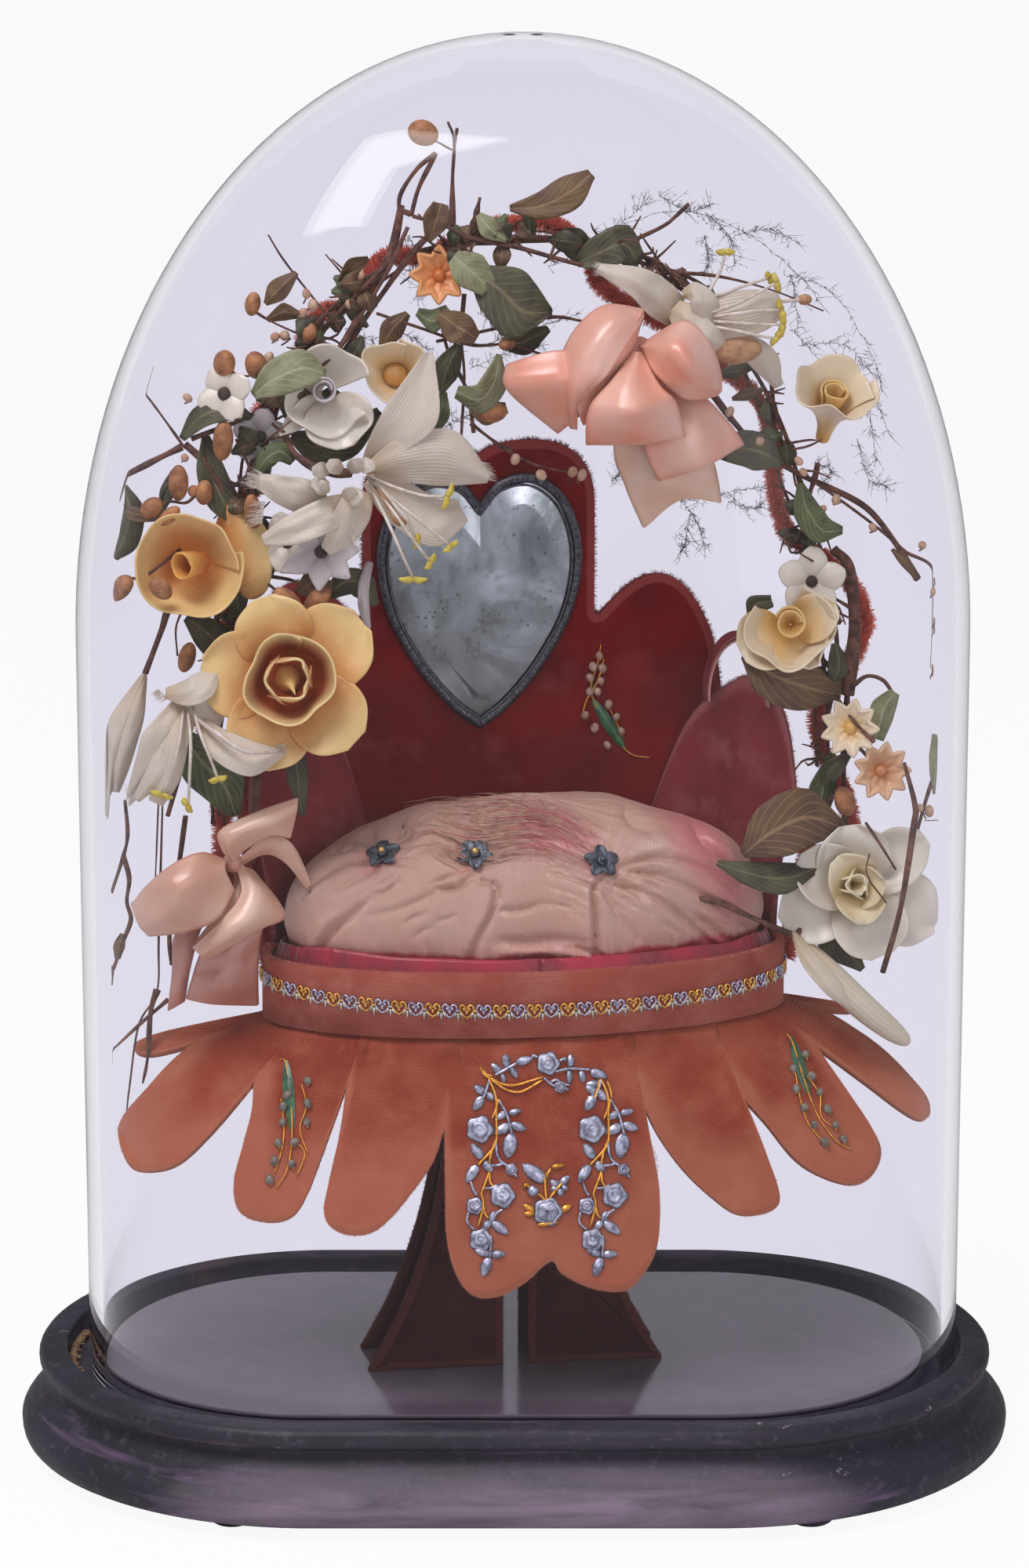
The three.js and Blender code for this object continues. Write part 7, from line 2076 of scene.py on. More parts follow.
class GLOBE_OT_bows(bpy.types.Operator):
    """Two bows of wide satin ribbon"""

    bl_idname = "globe.bows"
    bl_label = "Bows"

    def execute(self, context):
        # Each satin's third colour is the darker tone it has in shaded folds, painted along its woven edges. Its last
        # colour is its highlight tone, painted in cloudy patches.
        upper = [
            satin("peach_satin", colour("peach_satin"), linear(206, 124, 98), linear(246, 208, 188)),
            satin("beige_satin", linear(222, 182, 154), linear(190, 140, 112), linear(240, 214, 192)),
        ]
        lower = [
            satin("tan_satin", colour("tan_satin"), linear(186, 108, 82), linear(240, 212, 188)),
            satin("dusky_satin", linear(186, 118, 102), linear(140, 74, 64), linear(214, 160, 142)),
            # A darker copy of the satin for the inside of the lower bow's big loop: painted shade.
            satin("loop_inside_shade_satin", linear(196, 98, 62), linear(150, 66, 42), linear(222, 132, 92)),
        ]
        bow = self.bow("upper", UPPER_RIBBONS, 1, (815, 446, 32, 4.4, 0.8), upper)
        bow = self.bow("lower", LOWER_RIBBONS, 11, (296, 1100, 22, 3.4, 0.9), lower)
        return {"FINISHED"}

    def bow(self, side, ribbons, grain, knot, skins):
        """One bow: its ribbons, then the knot as (px, py, out), radius and stretch."""
        bm = bmesh.new()
        for i, (rails, behind, material, ruffle, grid) in enumerate(ribbons):
            rails = [self.turned_over(rail, behind) for rail in rails] if behind else rails
            cloth(bm, rails, *grid, material, ruffle, grain=grain + i)
        bead(bm, *knot, (0.3, -1, 0), 0, 14, 10)
        return hung(bm, f"{side}_bow_ribbon", [f"{side}_bow"], "peach_satin", skins, wall=0.35, levels=1)

    def turned_over(self, rail, behind):
        """A rail that runs out of the knot, turned over at its end and brought back behind."""
        (kx, ky, ko), (mx, my, mo), (ex, ey, eo) = rail[0], rail[len(rail) // 2], rail[-1]
        return [
            *rail,
            (ex - (ex - kx) * 0.1, ey - (ey - ky) * 0.1, eo - behind * 0.55),
            ((mx + kx) / 2 + (ex - kx) * 0.14, (my + ky) / 2 + (ey - ky) * 0.14, mo - behind),
            (kx, ky, ko - behind * 0.3),
        ]


def even(points, steps):
    """The same run of points in even steps."""
    fine = [along(points, i / 1600) for i in range(1601)]
    lengths = lengths_along(fine)
    found, i = [], 0
    for n in range(steps + 1):
        while i < 1600 and lengths[i] < lengths[-1] * n / steps:
            i += 1
        found.append(fine[i])
    return found


def arch_point(share, plane=12.0, wavy=True):
    """A point on the arch, in the world's millimetres, from its left foot to its right."""
    turn = math.pi * (1 - share)
    rise = max(0.0, math.sin(turn)) ** 0.75
    pinch = (1 - (SEAT_X + 0.15) / ARCH_HALF_WIDTH) * (1 - rise) ** 4
    x = ARCH_HALF_WIDTH * math.copysign(abs(math.cos(turn)) ** 0.75, math.cos(turn)) * (1 - pinch)
    point = Vector((x, plane, SEAT_BOTTOM + CLEARANCE + ARCH_HEIGHT * rise))
    if wavy:
        fade = min(1, 12 * min(share, 1 - share))
        away = Vector((x / ARCH_HALF_WIDTH, 0, 1 if 0.3 < share < 0.7 else 0)).normalized()
        point += away * 3.2 * fade * math.sin(2 * math.pi * 13 * share)
    return STAND_IN_WORLD @ point


# Where the chenille shows in the photograph, from over the middle down the right side.
CHENILLE_RIGHT = (
    (650, 286), (712, 288), (748, 322), (768, 366), (820, 398), (872, 428), (922, 470), (966, 506), (987, 560),
    (989, 620), (1006, 680), (1046, 706), (1086, 742), (1107, 792), (1090, 838), (1060, 872), (1045, 918),
    (1052, 962), (1078, 1006), (1090, 1062), (1092, 1112),
)


class GLOBE_OT_chenille_arch(bpy.types.Operator):
    """The wavy arch of chenille that everything is bound to"""

    bl_idname = "globe.chenille_arch"
    bl_label = "Chenille arch"

    def execute(self, context):
        rng = scatter("chenille")
        pile = size("chenille_pile")
        bm = bmesh.new()
        steps = 400
        left = [arch_point(lerp(0.004, 0.46, i / 48)) for i in range(49)]
        right = [spot(px, py, -4.5) for px, py in CHENILLE_RIGHT]
        right += [arch_point(share) for share in (0.955, 0.97, 0.984, 0.996)]
        path = even(left + right, steps)
        runs = [(path[min(i + 1, steps)] - path[max(i - 1, 0)]).normalized() for i in range(steps + 1)]
        core = 5.3 - pile

        def place(u, v):
            i = round(v * steps)
            side = runs[i].cross(Vector((0, 1, 0))).normalized()
            turn = -2 * math.pi * u
            uneven = noise.noise(path[i] / 3 + Vector((math.cos(turn), math.sin(turn), 0)))
            radius = core * (1 + 0.25 * uneven) * (0 < i < steps)
            return path[i] + (side * math.cos(turn) + side.cross(runs[i]) * math.sin(turn)) * radius

        patch(bm, 9, steps, place, welded=True)

        def blade(_):
            i = rng.randrange(steps)
            root = path[i].lerp(path[i + 1], rng.random())
            side = runs[i].cross(Vector((0, 1, 0))).normalized()
            turn = rng.uniform(0, 2 * math.pi)
            out = side * math.cos(turn) + side.cross(runs[i]) * math.sin(turn)
            lean = runs[i] * rng.uniform(-0.5, 0.5) + out.cross(runs[i]) * rng.uniform(-0.4, 0.4)
            worn = 0.62 + 0.5 * noise.noise(root / 9)
            tip = root + out * core + (out + lean) * pile * worn * rng.uniform(0.5, 1.0)
            return root + out * core * 0.8, tip, runs[i] * 0.2

        blades(bm, 26000, blade, 1)
        main = colour("chenille")
        skins = [
            plain("chenille_core", main, linear(150, 60, 50), 300, 0.95, 0.5),
            plain("chenille", linear(246, 160, 136), linear(210, 104, 84), 110, 0.95, 0.2),
        ]
        hung(bm, "chenille_arch_pile", ["chenille_arch"], "chenille", skins)
        return {"FINISHED"}


# Twigs as pixels with a distance in front of the arch, and their radius at both ends.
LEFT_TWIGS = (
    (((165, 470, 6), (200, 520, 6), (236, 572, 8)), 0.3, 0.6),
    (((130, 640, 8), (150, 616, 9), (190, 592, 9), (232, 570, 8)), 0.9, 1.5),
    (((236, 566, 8), (262, 592, 9), (288, 640, 8), (304, 720, 6), (302, 800, 5)), 1.8, 1.4),
    (((555, 292, 4), (520, 330, 5), (470, 400, 6), (420, 470, 6), (330, 525, 7), (244, 560, 8)), 1.2, 1.5),
    (((512, 262, 5), (500, 318, 6), (474, 372, 7), (446, 424, 8), (412, 470, 8)), 1.6, 1.3),
    (((520, 290, 9), (495, 345, 10), (462, 400, 11), (430, 446, 11), (396, 480, 9)), 0.9, 0.7),
    (((405, 422, 8), (450, 380, 9), (500, 330, 9)), 0.6, 0.9),
    (((360, 548, 10), (372, 575, 13), (396, 594, 18), (424, 602, 22), (448, 604, 25)), 1.7, 2.0),
    (((240, 770, 6), (216, 776, 6), (205, 805, 4), (185, 858, 0)), 1.5, 1.2),
    (((232, 778, 8), (224, 802, 8), (226, 836, 8)), 0.5, 0.5),
    (((302, 790, 4), (312, 890, 4), (326, 1000, 6), (318, 1100, 8)), 1.5, 1.8),
    (((300, 780, 2), (262, 860, 4), (244, 900, 12), (236, 960, 14), (214, 1040, 10)), 1.0, 0.9),
    (((161, 1020, 6), (164, 1063, 5), (159, 1091, 5), (145, 1138, 4)), 0.9, 0.7),
    (((159, 1091, 5), (166, 1120, 5), (163, 1149, 4), (168, 1172, 4), (159, 1199, 3), (147, 1236, 3)), 1.0, 0.9),
    (((202, 1020, 4), (198, 1120, 2)), 0.4, 0.3),
    (((207, 1020, 2), (202, 1191, 0), (200, 1263, 0), (177, 1307, 0), (166, 1384, 0), (162, 1420, 0)), 0.5, 0.3),
    (((236, 1040, 3), (228, 1100, 3), (216, 1186, 1), (218, 1230, 0)), 1.3, 0.8),
    (((214, 1274, -1), (175, 1309, 0), (125, 1359, 2)), 1.0, 0.4),
    (((200, 1262, 0), (192, 1290, 0), (188, 1349, 0), (182, 1381, 0)), 1.5, 0.5),
    (((322, 396, 8), (345, 410, 8), (385, 428, 8), (420, 440, 8)), 0.5, 0.7),
    (((286, 468, 8), (310, 480, 8), (345, 470, 8), (390, 450, 8)), 0.5, 0.7),
    (((190, 655, 12), (215, 640, 12), (240, 640, 12), (262, 612, 10)), 0.5, 0.7),
    (((150, 752, 12), (168, 738, 12), (186, 735, 12), (230, 700, 8)), 0.5, 0.7),
    (((300, 560, 8), (318, 600, 10), (322, 650, 10), (312, 720, 8)), 0.6, 0.8),
    (((365, 765, 18), (345, 748, 12), (322, 730, 8)), 0.7, 0.9),
    (((400, 762, 18), (376, 742, 14), (345, 735, 8)), 0.7, 0.9),
    (((430, 742, 14), (404, 748, 15), (380, 746, 14)), 0.4, 0.5),
    (((342, 300, 6), (360, 330, 6), (392, 372, 7), (432, 420, 8)), 0.4, 0.7),
    (((455, 352, 8), (468, 372, 8), (480, 392, 8)), 0.4, 0.6),
)
TOP_TWIGS = (
    (((524, 274, 6), (510, 266, 6), (512, 246, 6), (532, 216, 6), (556, 196, 6)), 1.1, 1.0),
    (((524, 276, 6), (534, 240, 5), (552, 204, 6), (556, 196, 6)), 1.1, 0.9),
    (((571, 156, 4), (579, 180, 4), (577, 230, 4), (577, 292, 4)), 0.5, 1.3),
    (((583, 164, 4), (580, 184, 4)), 0.7, 0.5),
    (((540, 174, 5), (558, 182, 5), (576, 192, 4)), 0.4, 0.4),
    (((526, 276, 8), (566, 288, 9), (600, 304, 10), (660, 316, 10), (740, 338, 9), (818, 352, 8)), 1.0, 1.2),
    (((600, 300, 5), (606, 278, 5), (612, 252, 5)), 1.8, 0.8),
    (((810, 350, 6), (900, 350, 5), (980, 368, 4), (1052, 396, 2)), 0.9, 0.35),
    (((810, 306, 5), (850, 286, 4), (880, 260, 4)), 0.8, 1.1),
    (((592, 375, 6), (588, 430, 7), (592, 480, 8), (588, 560, 8)), 1.0, 0.7),
    (((556, 436, 7), (620, 422, 8), (700, 405, 9), (744, 410, 8)), 0.8, 0.7),
    (((600, 540, 8), (640, 570, 9), (680, 592, 10), (732, 604, 10)), 0.9, 0.5),
    (((560, 400, 8), (572, 450, 9), (596, 500, 9), (604, 552, 8)), 0.7, 0.9),
    (((655, 584, 9), (650, 572, 9), (644, 566, 9)), 0.5, 0.5),
    (((480, 400, 8), (540, 420, 9), (600, 440, 9), (650, 440, 9), (702, 456, 10)), 0.7, 0.6),
)
RIGHT_TWIGS = (
    (((870, 470, 8), (905, 495, 9), (940, 540, 9), (975, 578, 9), (1010, 600, 8), (1045, 618, 8), (1115, 668, 6),
    (1160, 705, 4)), 1.2, 0.6),
    (((1160, 705, 4), (1193, 722, 3), (1201, 761, 2), (1214, 806, 1), (1216, 850, 0)), 0.8, 0.5),
    (((880, 470, 6), (920, 520, 7), (960, 562, 7), (1020, 604, 6), (1060, 622, 5), (1110, 650, 4), (1150, 700, 4),
    (1174, 738, 3)), 0.9, 1.5),
    (((1045, 590, 6), (1040, 612, 6), (1030, 640, 5)), 1.4, 1.0),
    (((1064, 700, 6), (1084, 724, 7), (1092, 798, 7), (1083, 886, 7)), 1.9, 3.0),
    (((1083, 880, 6), (1078, 960, 5), (1080, 1040, 5)), 1.3, 1.1),
    (((1088, 876, 9), (1107, 862, 10), (1128, 867, 11), (1142, 886, 12)), 1.2, 0.9),
    (((1067, 886, 12), (1091, 920, 22), (1116, 946, 27)), 0.7, 0.9),
    (((1154, 972, 27), (1167, 1027, 34), (1164, 1055, 40), (1152, 1133, 44), (1142, 1182, 42), (1126, 1239, 36)),
    1.0, 1.5),
    (((1181, 1046, 20), (1228, 1045, 16)), 0.22, 0.14),
    (((1105, 1049, 30), (1122, 1076, 42), (1142, 1108, 38)), 0.8, 0.5),
    (((1109, 1088, 38), (1106, 1116, 41), (1130, 1151, 42)), 0.4, 0.4),
    (((870, 1144, 30), (916, 1150, 30), (956, 1168, 28), (1016, 1194, 24)), 1.1, 1.6),
    (((1016, 1194, 24), (1030, 1170, 16), (1050, 1130, 8), (1078, 1060, 6)), 1.4, 1.4),
    (((1205, 935, 8), (1196, 985, 9), (1184, 1022, 10), (1172, 1060, 14)), 0.8, 0.9),
    (((1086, 928, 14), (1084, 900, 9), (1083, 880, 7)), 0.8, 0.9),
    (((1124, 985, 14), (1104, 960, 9), (1082, 940, 7)), 0.8, 0.9),
    (((1036, 742, 8), (1062, 760, 7), (1088, 776, 7)), 0.8, 0.9),
    (((1020, 812, 6), (1056, 846, 7), (1082, 880, 7)), 1.0, 1.1),
    (((1080, 1040, 6), (1068, 1150, 5), (1050, 1240, 4)), 2.2, 1.8),
    (((1030, 1080, 8), (1052, 1030, 8), (1078, 1004, 7)), 0.9, 1.0),
)
# Leaves as a midrib with widths in pixels: a kind, how far one side leans forward, and the teeth at the edge.
LEFT_LEAVES = (
    ("dark", ((262, 556, 8), (268, 600, 10), (284, 640, 10), (300, 668, 8)), (10, 36, 38, 6), 0.4, 0),
    ("dark", ((232, 560, 9), (256, 532, 12), (290, 522, 13), (320, 532, 11)), (8, 28, 30, 8), 0.6, 0),
    ("dark", ((320, 640, 8), (306, 690, 9), (300, 740, 9), (304, 795, 7)), (10, 38, 42, 8), -0.4, 0),
    ("dark", ((236, 788, 5), (262, 806, 8), (288, 836, 9), (300, 876, 7)), (8, 40, 42, 6), 0.3, 0),
    ("green", ((326, 604, 12), (340, 584, 14), (358, 576, 14), (372, 590, 13)), (8, 26, 26, 10), 0.4, 0),
    ("dark", ((370, 556, 8), (402, 570, 9), (442, 560, 10), (484, 524, 9)), (14, 44, 48, 10), -0.3, 0),
    ("pale", ((322, 504, 14), (350, 484, 18), (386, 470, 19), (414, 478, 17)), (10, 46, 50, 12), 0.3, 0),
    ("brown", ((338, 388, 6), (354, 370, 8), (378, 348, 8)), (6, 28, 6), 0.4, 0),
    ("brown", ((340, 408, 6), (362, 398, 8), (384, 402, 8)), (6, 22, 6), -0.4, 0),
    ("dark", ((414, 762, 15), (440, 742, 17), (462, 746, 17), (480, 772, 16)), (8, 34, 36, 8), 0.3, 0),
    ("brown", ((378, 756, 17), (396, 744, 19), (424, 748, 19)), (10, 34, 12), 0.2, 0),
    ("green", ((236, 940, 12), (256, 970, 16), (284, 1000, 17), (300, 1040, 14)), (24, 60, 60, 14), 0.3, 0),
    ("dark", ((372, 940, 10), (378, 985, 11), (384, 1040, 10)), (20, 28, 8), 0.2, 0),
    ("dark", ((160, 620, 9), (168, 650, 11), (160, 690, 10), (148, 712, 8)), (10, 34, 36, 10), 0.3, 0),
    ("brown", ((156, 645, 12), (176, 656, 14), (210, 660, 14)), (6, 18, 8), 0.3, 0),
    ("dark", ((330, 660, 6), (344, 700, 7), (338, 740, 7)), (12, 34, 10), -0.3, 0),
    ("green", ((540, 560, 8), (560, 530, 10), (566, 500, 9)), (8, 26, 8), 0.2, 0),
    ("brown", ((146, 1232, 3), (140, 1246, 4), (138, 1256, 3)), (5, 14, 4), 0.2, 0),
    ("brown", ((158, 1190, 4), (154, 1206, 4), (152, 1222, 4)), (5, 13, 6), 0.2, 0),
    ("dark", ((205, 655, 8), (214, 626, 9), (222, 600, 8)), (6, 18, 6), 0.3, 0),
    ("dark", ((430, 480, 7), (452, 452, 9), (462, 430, 8)), (8, 26, 8), 0.3, 0),
    ("brown", ((470, 330, 7), (450, 340, 8), (432, 360, 8)), (6, 22, 6), 0.4, 0),
    ("dark", ((392, 520, 5), (420, 512, 7), (450, 520, 7)), (10, 36, 10), 0.4, 0),
)
TOP_LEAVES = (
    ("brown", ((650, 266, 6), (688, 264, 8), (726, 246, 9), (754, 222, 8)), (8, 34, 44, 14), 0.3, 0.05),
    ("dark", ((735, 336, 9), (762, 324, 12), (796, 312, 13), (814, 334, 11)), (10, 44, 50, 22), 0.2, 0),
    ("dark", ((612, 352, 12), (640, 372, 15), (668, 398, 16), (704, 398, 14)), (34, 74, 78, 8), 0.1, 0),
    ("pale", ((636, 452, 14), (630, 488, 17), (610, 510, 18), (582, 500, 16)), (6, 34, 38, 16), 0.5, 0),
    ("brown", ((562, 260, 9), (556, 282, 11), (546, 308, 10)), (20, 34, 8), 0.2, 0),
    ("pale", ((578, 328, 13), (598, 344, 15), (624, 368, 14)), (20, 48, 26), 0.2, 0),
    ("green", ((532, 398, 10), (552, 410, 12), (572, 394, 12)), (10, 30, 12), 0.2, 0),
    ("brown", ((560, 400, 13), (584, 418, 15), (608, 432, 14)), (12, 42, 16), 0.3, 0),
    ("pale", ((610, 274, 10), (624, 292, 12), (646, 308, 11)), (8, 26, 5), 0.3, 0),
    ("dark", ((585, 440, 10), (570, 470, 12), (562, 500, 11)), (10, 34, 10), 0.4, 0),
    ("brown", ((600, 520, 10), (620, 528, 12), (646, 520, 11)), (12, 30, 14), 0.3, 0),
    ("dark", ((700, 420, 8), (668, 436, 9), (640, 442, 9)), (8, 34, 10), 0.4, 0),
    ("brown", ((520, 400, 8), (500, 420, 9), (486, 446, 8)), (8, 30, 8), 0.3, 0),
    ("green", ((560, 500, 8), (546, 530, 9), (540, 560, 8)), (8, 26, 8), 0.3, 0),
)
RIGHT_LEAVES = (
    ("dark", ((916, 582, 10), (944, 572, 13), (974, 578, 14), (998, 592, 12)), (8, 42, 46, 8), 0.3, 0.09),
    ("green", ((1022, 616, 10), (1030, 650, 13), (1050, 676, 14), (1076, 676, 12)), (8, 34, 36, 10), 0.4, 0),
    ("brown", ((948, 1090, 28), (984, 1062, 30), (1030, 1042, 26), (1078, 1056, 18)), (10, 68, 74, 14), 0.3, 0.05),
    ("dark", ((914, 1100, 32), (956, 1114, 32), (1000, 1120, 28), (1046, 1106, 22)), (6, 30, 40, 10), 0.7, 0.05),
    ("brown", ((950, 834, 16), (982, 858, 18), (1028, 876, 17), (1074, 886, 12)), (12, 58, 62, 10), 0.2, 0.07),
    ("dark", ((958, 792, 10), (964, 772, 11), (986, 766, 11)), (8, 26, 16), 0.2, 0),
    ("dark", ((1040, 1180, 10), (1070, 1202, 13), (1102, 1236, 12)), (10, 46, 8), 0.3, 0.06),
    ("pale", ((1143, 882, 14), (1128, 904, 16), (1118, 942, 15)), (14, 32, 22), 0.3, 0),
    ("pale", ((1196, 1012, 10), (1198, 978, 12), (1206, 938, 12)), (4, 20, 26), 0.4, 0),
    ("dark", ((1066, 820, 9), (1072, 850, 10), (1062, 872, 9)), (8, 30, 8), 0.5, 0),
    ("dark", ((1050, 1000, 8), (1064, 980, 10), (1084, 962, 9)), (6, 26, 8), 0.5, 0),
    ("green", ((1064, 960, 6), (1050, 1010, 8), (1046, 1050, 8)), (8, 34, 8), 0.5, 0),
    ("brown", ((1140, 700, 5), (1156, 716, 6), (1174, 740, 6)), (4, 12, 4), 0.3, 0),
)
# Buds and berries: pixel, distance in front of the arch, radius in millimetres, stretch and lean.
LEFT_BUDS = (
    (322, 388, 8, 2.6, 1.6, 0.2), (286, 464, 10, 3.7, 1.25, 0.1), (326, 466, 11, 3.7, 1.3, -0.2),
    (284, 562, 13, 3.5, 2.0, 0.1), (228, 616, 12, 3.3, 1.9, 0.05), (246, 626, 12, 1.7, 1.2, 0.3),
    (260, 628, 12, 2.9, 1.5, 0.1), (194, 648, 13, 3.1, 1.4, 1.0), (216, 658, 14, 2.4, 1.9, 1.2),
    (322, 652, 14, 3.0, 2.0, -0.1), (156, 750, 13, 3.4, 1.6, 0.9), (206, 750, 22, 3.2, 1.4, -0.9),
    (366, 766, 22, 3.4, 1.7, -1.0), (404, 766, 21, 3.6, 1.7, 0.9), (238, 838, 10, 2.9, 1.9, 0.3),
    (392, 425, 9, 2.8, 1.4, 0.4),
)
BERRIES = (
    (390, 375, 8), (398, 390, 8), (385, 400, 8), (350, 430, 9), (362, 428, 9), (342, 457, 10), (460, 352, 9),
    (445, 388, 9), (236, 584, 12), (240, 508, 11), (657, 586, 12), (690, 606, 12), (730, 602, 12), (742, 606, 12),
    (932, 525, 12), (970, 563, 12), (1020, 588, 11), (1026, 602, 11), (1050, 650, 9), (1068, 637, 9),
    (1115, 672, 8), (1180, 695, 6), (1207, 741, 5), (1196, 754, 5), (1201, 792, 4), (1207, 802, 4), (1206, 853, 3),
    (1216, 855, 3), (1189, 1034, 12), (1176, 1030, 12),
)
FERN_STEMS = (
    ((760, 296), (860, 270), (940, 290), (1010, 340), (1060, 400)), ((900, 270), (930, 300), (940, 340)),
    ((940, 300), (985, 292), (1020, 310)), ((1000, 350), (1060, 370), (1110, 440), (1130, 500)), ((1010, 420),
    (1060, 470), (1110, 500), (1140, 560)), ((1020, 440), (1080, 440), (1110, 470)), ((1100, 480), (1112, 530),
    (1120, 590)), ((1095, 560), (1110, 610), (1134, 620)), ((868, 640), (900, 632), (940, 626), (976, 620)),
    ((880, 660), (874, 690), (868, 705)), ((870, 640), (890, 670), (900, 700)), ((930, 640), (965, 648),
    (975, 640)), ((780, 614), (790, 606), (800, 600)), ((620, 440), (680, 420), (740, 400)), ((600, 470),
    (650, 450), (700, 440)), ((615, 400), (640, 430), (660, 450)), ((700, 340), (740, 320), (800, 280), (830, 250)),
    ((480, 480), (540, 470), (600, 430)), ((500, 420), (540, 440), (560, 480)), ((440, 420), (480, 440),
    (520, 480)), ((520, 300), (540, 340), (530, 380)), ((500, 330), (530, 350), (560, 330)), ((840, 250),
    (880, 268), (910, 260)), ((560, 560), (575, 540), (600, 530)), ((1040, 590), (1060, 600), (1046, 625)),
    ((690, 290), (730, 300), (760, 330)), ((900, 300), (905, 330), (898, 350)), ((1010, 350), (1016, 380),
    (1020, 420)),
)


def near_calla(px, py):
    """Whether a pixel is over the open throat of the yellow calla."""
    return math.hypot(px - 240, py - 714) < 74


class GLOBE_OT_branches(bpy.types.Operator):
    """Wired twigs with cloth leaves, buds, berries and dried fern"""

    bl_idname = "globe.branches"
    bl_label = "Branches"

    def execute(self, context):
        bark = plain("bark", colour("bark"), linear(62, 40, 36), 260, 0.85, 0.8)
        green, brown = colour("leaf_green"), colour("leaf_brown")
        self.skins = [
            bark,
            leaf_skin("leaf_dark", linear(84, 84, 58), linear(128, 124, 90), linear(50, 46, 34)),
            leaf_skin("leaf_green", green, linear(150, 158, 118), linear(66, 74, 48)),
            leaf_skin("leaf_brown", brown, linear(160, 134, 96), linear(82, 58, 44)),
            leaf_skin("leaf_pale", linear(152, 158, 124), linear(182, 188, 152), linear(118, 118, 82)),
            plain("bud", colour("bud"), linear(132, 84, 54), 260, 0.6, 0.4),
            plain("berry", colour("berry"), linear(176, 136, 110), 300, 0.5, 0.2),
            plain("fern", linear(64, 72, 56), linear(36, 42, 34), 120, 0.8, 0.1),
        ]
        self.branch("left", 0.05, 0.4, LEFT_TWIGS, LEFT_LEAVES)
        self.branch("top", 0.43, 0.66, TOP_TWIGS, TOP_LEAVES)
        self.branch("right", 0.935, 0.69, RIGHT_TWIGS, RIGHT_LEAVES)
        self.fern()
        return {"FINISHED"}

    def branch(self, side, start, stop, twigs, leaves):
        rng = scatter("branch " + side)
        bm = bmesh.new()
        for strand in range(3):
            points = []
            for i in range(15):
                share = lerp(start, stop, i / 14)
                wind = 2.1 * strand + 9 * i / 14
                off = Vector((math.cos(wind) * (1 + strand), 0.7 * math.sin(wind), 0.5 * math.sin(wind * 1.7))) * 1.7
                points.append(arch_point(share, 6.0, False) + off)
            rod(bm, points, [0.5, 0.85, 0.55, 0.8, 0.5], 7, 90)
        for points, first, last in twigs:
            swell = [lerp(first, last, i / 6) * rng.uniform(0.6, 1.0) for i in range(7)]
            wire(bm, points, swell, 7, 8 + 5 * len(points))
        for _ in range(70 if side == "left" else 46):
            share = lerp(start, stop, rng.random())
            root = arch_point(share, rng.uniform(0, 6), False)
            away = tossed(rng, y=(-0.8, 0.1)).normalized() * rng.uniform(6, 17)
            if near_calla(*pixel_of(root + away * 0.5)):
                continue
            bend = tossed(rng) * 2.5
            rod(bm, [root, root + away * 0.5 + bend, root + away], [rng.uniform(0.35, 0.7), 0.45, 0.25], 5, 5)
        hung(bm, f"branch_{side}_twigs", [f"branch_{side}"], "twigs_and_leaves", self.skins[:1])

        bm = bmesh.new()
        kinds = {"dark": 1, "green": 2, "brown": 3, "pale": 4}
        for i, (kind, line, widths, lean, jag) in enumerate(leaves):
            bow = rng.uniform(-1.6, 1.2)
            blade_of(bm, line, widths, bow, lean, material=kinds[kind], ruffle=1.3, jag=jag, grain=i)
        # Scraps of leaf between the ones that show.
        for i in range(44 if side == "left" else 16):
            share = lerp(start, stop, rng.uniform(0.12, 0.98))
            px, py = pixel_of(arch_point(share, 4, False))
            heading, long = rng.uniform(0, 2 * math.pi), rng.uniform(24, 46)
            if near_calla(px, py):
                continue
            tip = (px + long * math.cos(heading), py + long * math.sin(heading), rng.uniform(1, 9))
            middle = ((px + tip[0]) / 2, (py + tip[1]) / 2, tip[2] + 2)
            line, widths = [(px, py, 3), middle, tip], [4, rng.uniform(16, 30), 4]
            tilt, kind = rng.uniform(-0.8, 0.8), rng.choice((1, 1, 2, 3, 3))
            blade_of(bm, line, widths, 1.0, tilt, columns=6, rows=9, material=kind, ruffle=1.6, grain=40 + i)
        hung(bm, f"branch_{side}_leaves", [], "twigs_and_leaves", self.skins, wall=0.3)

        bm = bmesh.new()
        if side == "left":
            for px, py, out, radius, stretch, lean in LEFT_BUDS:
                bead(bm, px, py, out, radius, stretch, (lean, -0.2, 1), 5, 14, 10)
        if side == "top":
            bead(bm, 539, 170, 5, 4.3, 1.25, (-1, 0, 0.4), 5, 14, 10)
            bead(bm, 646, 439, 14, 2.2, 1.3, (1, 0, 0.2), 5)
            bead(bm, 702, 457, 14, 1.9, 1.2, (0, 0, 1), 5)
            bead(bm, 628, 527, 12, 3.4, 1.5, (1, 0, 0.2), 5)
        if side == "right":
            bead(bm, 1079, 1022, 14, 3.6, 1.5, (-0.3, 0, 1), 5, 14, 10)
        for px, py, out in BERRIES:
            if (side == "left" and px < 500) or (side == "top" and 500 < px < 800) or (side == "right" and px > 800):
                bead(bm, px, py, out, rng.uniform(1.3, 1.75), rng.uniform(1.0, 1.4), (rng.uniform(-1, 1), 0, 1), 6)
                bend, end = px + rng.uniform(-8, 8), py + rng.uniform(4, 14)
                wire(bm, [(px, py, out), (bend, py + 4, out - 1), (px - 4, end, out - 3)], [0.3], 5, 4)
        hung(bm, f"branch_{side}_buds", [], "twigs_and_leaves", self.skins)

